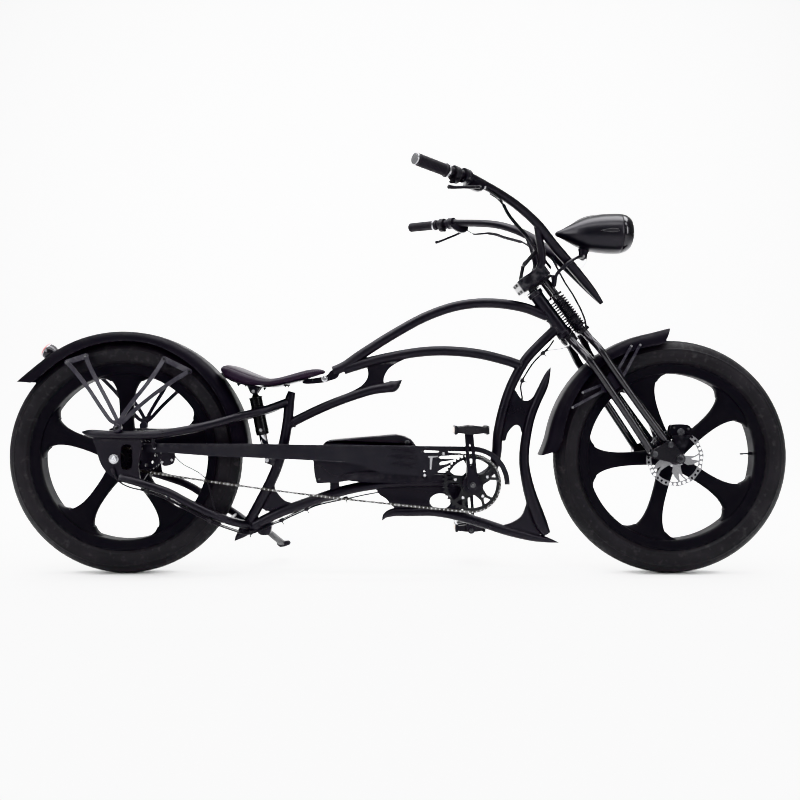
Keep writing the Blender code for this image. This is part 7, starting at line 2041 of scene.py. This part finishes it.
rear_caliper_bolts = [screw((x, 0.068, z), (0, 1, 0), 0.004, 0.0026, 0.0022)
    for x, z in ((-0.815, 0.434), (-0.785, 0.434), (-0.784, 0.405))]
fit("rear_caliper_bolts", together(*rear_caliper_bolts), bright_steel, "frame")


# Cables
# Black outer casings for the brakes, the shifter and the motor, clipped to the frame as they go. One runs
# between frame and steering, and those off the bar run between it and the fork.
casing = coated("cable_casing", (0.0065, 0.0065, 0.007), (0.01, 0.01, 0.0105), 0.36, grain=1500.0,
    depth=0.00004, bare=(0.05, 0.05, 0.05), rub=0.1, dust=0.03)


def casing_run(points, thick=0.0026):
    """One casing through x, y, z points."""
    return bent_tube([(*point, thick) for point in points], 16, 8)


def beside(points, across=0.0, up=0.0):
    """The same route moved sideways and upwards."""
    return [(x, y + across, z + up) for x, y, z in points]


down_tube_run = [(0.496, 0.003, 0.7376), (0.48, 0.001, 0.7145), (0.461, 0.0, 0.6965), (0.4294, 0.0, 0.664),
    (0.406, 0.0, 0.628), (0.395, 0.001, 0.608), (0.391, 0.004, 0.589), (0.394, 0.009, 0.568),
    (0.396, 0.012, 0.548), (0.378, 0.0135, 0.529), (0.352, 0.016, 0.508), (0.332, 0.0205, 0.478),
    (0.32, 0.0205, 0.43), (0.315, 0.02, 0.39)]
fit("rear_brake_casing", casing_run(down_tube_run, 0.0036), casing, "frame", ["rear_brake_cable"])
fit("shifter_casing", casing_run(beside(down_tube_run[2:10], 0.0045, -0.0022), 0.0022), casing, "frame")
head_tube_run = [(0.561, -0.031, 0.722), (0.542, -0.02, 0.716), (0.51, -0.01, 0.708), (0.48, -0.001, 0.7045),
    (0.461, 0.0045, 0.6943)]
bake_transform(fit("fork_side_casing", casing_run(head_tube_run, 0.0018), casing, None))
idler_run = [(-0.695, -0.051, 0.382), (-0.6884, -0.056, 0.3701), (-0.664, -0.062, 0.3487),
    (-0.6335, -0.066, 0.3335), (-0.606, -0.07, 0.3182), (-0.585, -0.074, 0.295), (-0.57, -0.079, 0.245),
    (-0.562, -0.08, 0.208)]
fit("idler_casing", casing_run(idler_run, 0.0022), casing, "frame")
fit("idler_ferrule", bent_tube([(-0.61, -0.0694, 0.3206, 0.0032), (-0.599, -0.0712, 0.3125, 0.0032)], 16, 2),
    bright_steel, "frame")
low_run = [(0.315, 0.02, 0.39), (0.306, 0.021, 0.346), (0.282, 0.022, 0.308), (0.25, 0.024, 0.264),
    (0.21, 0.01, 0.252), (0.12, 0.008, 0.253), (0.04, 0.008, 0.257), (-0.06, 0.006, 0.253),
    (-0.1645, 0.0, 0.233), (-0.247, 0.0, 0.215), (-0.2893, 0.0, 0.199), (-0.3424, 0.0, 0.1755),
    (-0.3687, 0.0, 0.1627), (-0.397, 0.0, 0.152), (-0.43, -0.003, 0.137), (-0.47, -0.025, 0.126),
    (-0.52, -0.066, 0.148), (-0.575, -0.089, 0.176), (-0.64, -0.102, 0.213), (-0.7, -0.108, 0.247),
    (-0.76, -0.111, 0.27), (-0.81, -0.112, 0.283), (-0.842, -0.113, 0.3), (-0.858, -0.113, 0.326)]
fit("motor_lead", casing_run(low_run, 0.003), casing, "frame")
fit("gear_casing", casing_run(beside(low_run[8:20], 0.0, 0.0058), 0.002), casing, "frame")
motor_boot = turned([(0.0001, 0.0), (0.005, 0.0), (0.0055, 0.003), (0.0055, 0.016), (0.0045, 0.019),
    (0.0001, 0.019)], (-0.857, -0.113, 0.323), (-0.35, 0.0, 0.94), 24)
fit("motor_lead_boot", motor_boot, grip_rubber, "frame")
clips = []
for x, y, z, dx, dz in ((0.461, 0.001, 0.696, -0.69, -0.72), (0.3955, 0.002, 0.6085, -0.35, -0.94),
        (-0.2893, 0.0, 0.2015, -0.9, -0.43), (-0.3687, 0.0, 0.1655, -0.9, -0.42),
        (-0.1645, 0.0, 0.235, -0.97, -0.22), (0.04, 0.008, 0.259, -1.0, 0.0),
        (-0.462, -0.022, 0.13, -0.95, 0.1), (-0.76, -0.111, 0.273, -0.93, -0.36),
        (-0.575, -0.089, 0.179, -0.86, -0.5)):
    along = Vector((dx, 0, dz)).normalized()
    up = Vector((-along.z, 0, along.x))
    middle = Vector((x, y, z))
    rings = []
    for shift, reach in ((-0.007, 0.0042), (-0.0062, 0.0056), (0.0062, 0.0056), (0.007, 0.0042)):
        rings.append(ring_of(middle + along * shift, up, Vector((0, 1, 0)), reach * 1.25, reach, 24))
    clips.append(skin(rings))
    clips.append(bent_tube([(*(middle + up * 0.004), 0.0024), (*(middle + up * 0.016), 0.0022)], 12, 2))
fit("cable_clips", together(*clips), black_plastic, "frame")

lever_joints = []
for side in (-1, 1):
    lever_joints.append(turned([(0.0001, 0.0), (0.0034, 0.0), (0.0034, 0.01), (0.0026, 0.013),
        (0.0001, 0.013)], (0.236, side * 0.262, 1.15), (0.95, 0.0, -0.31), 20))
fit("lever_cable_nipples", together(*lever_joints), bright_steel, "steering")
right_bar_run = [(0.24, -0.262, 1.148), (0.264, -0.238, 1.142), (0.294, -0.195, 1.137), (0.313, -0.17, 1.123),
    (0.33, -0.14, 1.106), (0.352, -0.115, 1.088), (0.378, -0.088, 1.07), (0.403, -0.062, 1.052),
    (0.43, -0.046, 1.02), (0.456, -0.042, 0.99), (0.48, -0.04, 0.96)]
left_bar_run = [(0.24, 0.262, 1.148), (0.262, 0.235, 1.128), (0.283, 0.205, 1.122), (0.31, 0.172, 1.117),
    (0.332, 0.15, 1.108), (0.356, 0.13, 1.094), (0.386, 0.106, 1.08), (0.408, 0.09, 1.07),
    (0.432, 0.07, 1.048), (0.458, 0.052, 1.015), (0.48, 0.042, 0.97)]
bar_casings = [casing_run(right_bar_run), casing_run(beside(right_bar_run[1:], 0.006, -0.005), 0.0022),
    casing_run(left_bar_run), casing_run(beside(left_bar_run[1:], -0.005, -0.0052), 0.0022)]
for run in (right_bar_run, left_bar_run):
    sleeve_rows = curved([(*point, 0.0) for point in run[3:8]], 24)
    wraps = []
    for index in range(0, len(sleeve_rows) - 1, 2):
        here = Vector(sleeve_rows[index][:3])
        along = (Vector(sleeve_rows[index + 1][:3]) - here).normalized()
        wraps.append(turned([(0.0052, -0.0012), (0.006, -0.0006), (0.006, 0.0006), (0.0052, 0.0012)],
            here + Vector((0, 0, -0.0024)), along, 16))
    bar_casings += wraps
between_bars_run = [(0.5307, 0.0, 0.9672), (0.5088, 0.0, 0.9547), (0.4962, 0.0, 0.9327),
    (0.4884, 0.0, 0.9045), (0.4931, 0.0, 0.892), (0.5056, 0.0, 0.8841), (0.524, 0.0, 0.856),
    (0.55, 0.0, 0.82), (0.575, 0.0, 0.785), (0.578, 0.0, 0.764)]
straight_run = [(0.4805, -0.032, 0.9955), (0.5025, -0.032, 0.9547), (0.5244, -0.032, 0.9139),
    (0.5433, -0.05, 0.8763), (0.5558, -0.054, 0.8512), (0.57, -0.052, 0.825), (0.585, -0.04, 0.795),
    (0.59, -0.03, 0.775)]
bar_casings += [casing_run(between_bars_run, 0.0045), casing_run(straight_run, 0.0038)]
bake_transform(fit("bar_casings", together(*bar_casings), casing, None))
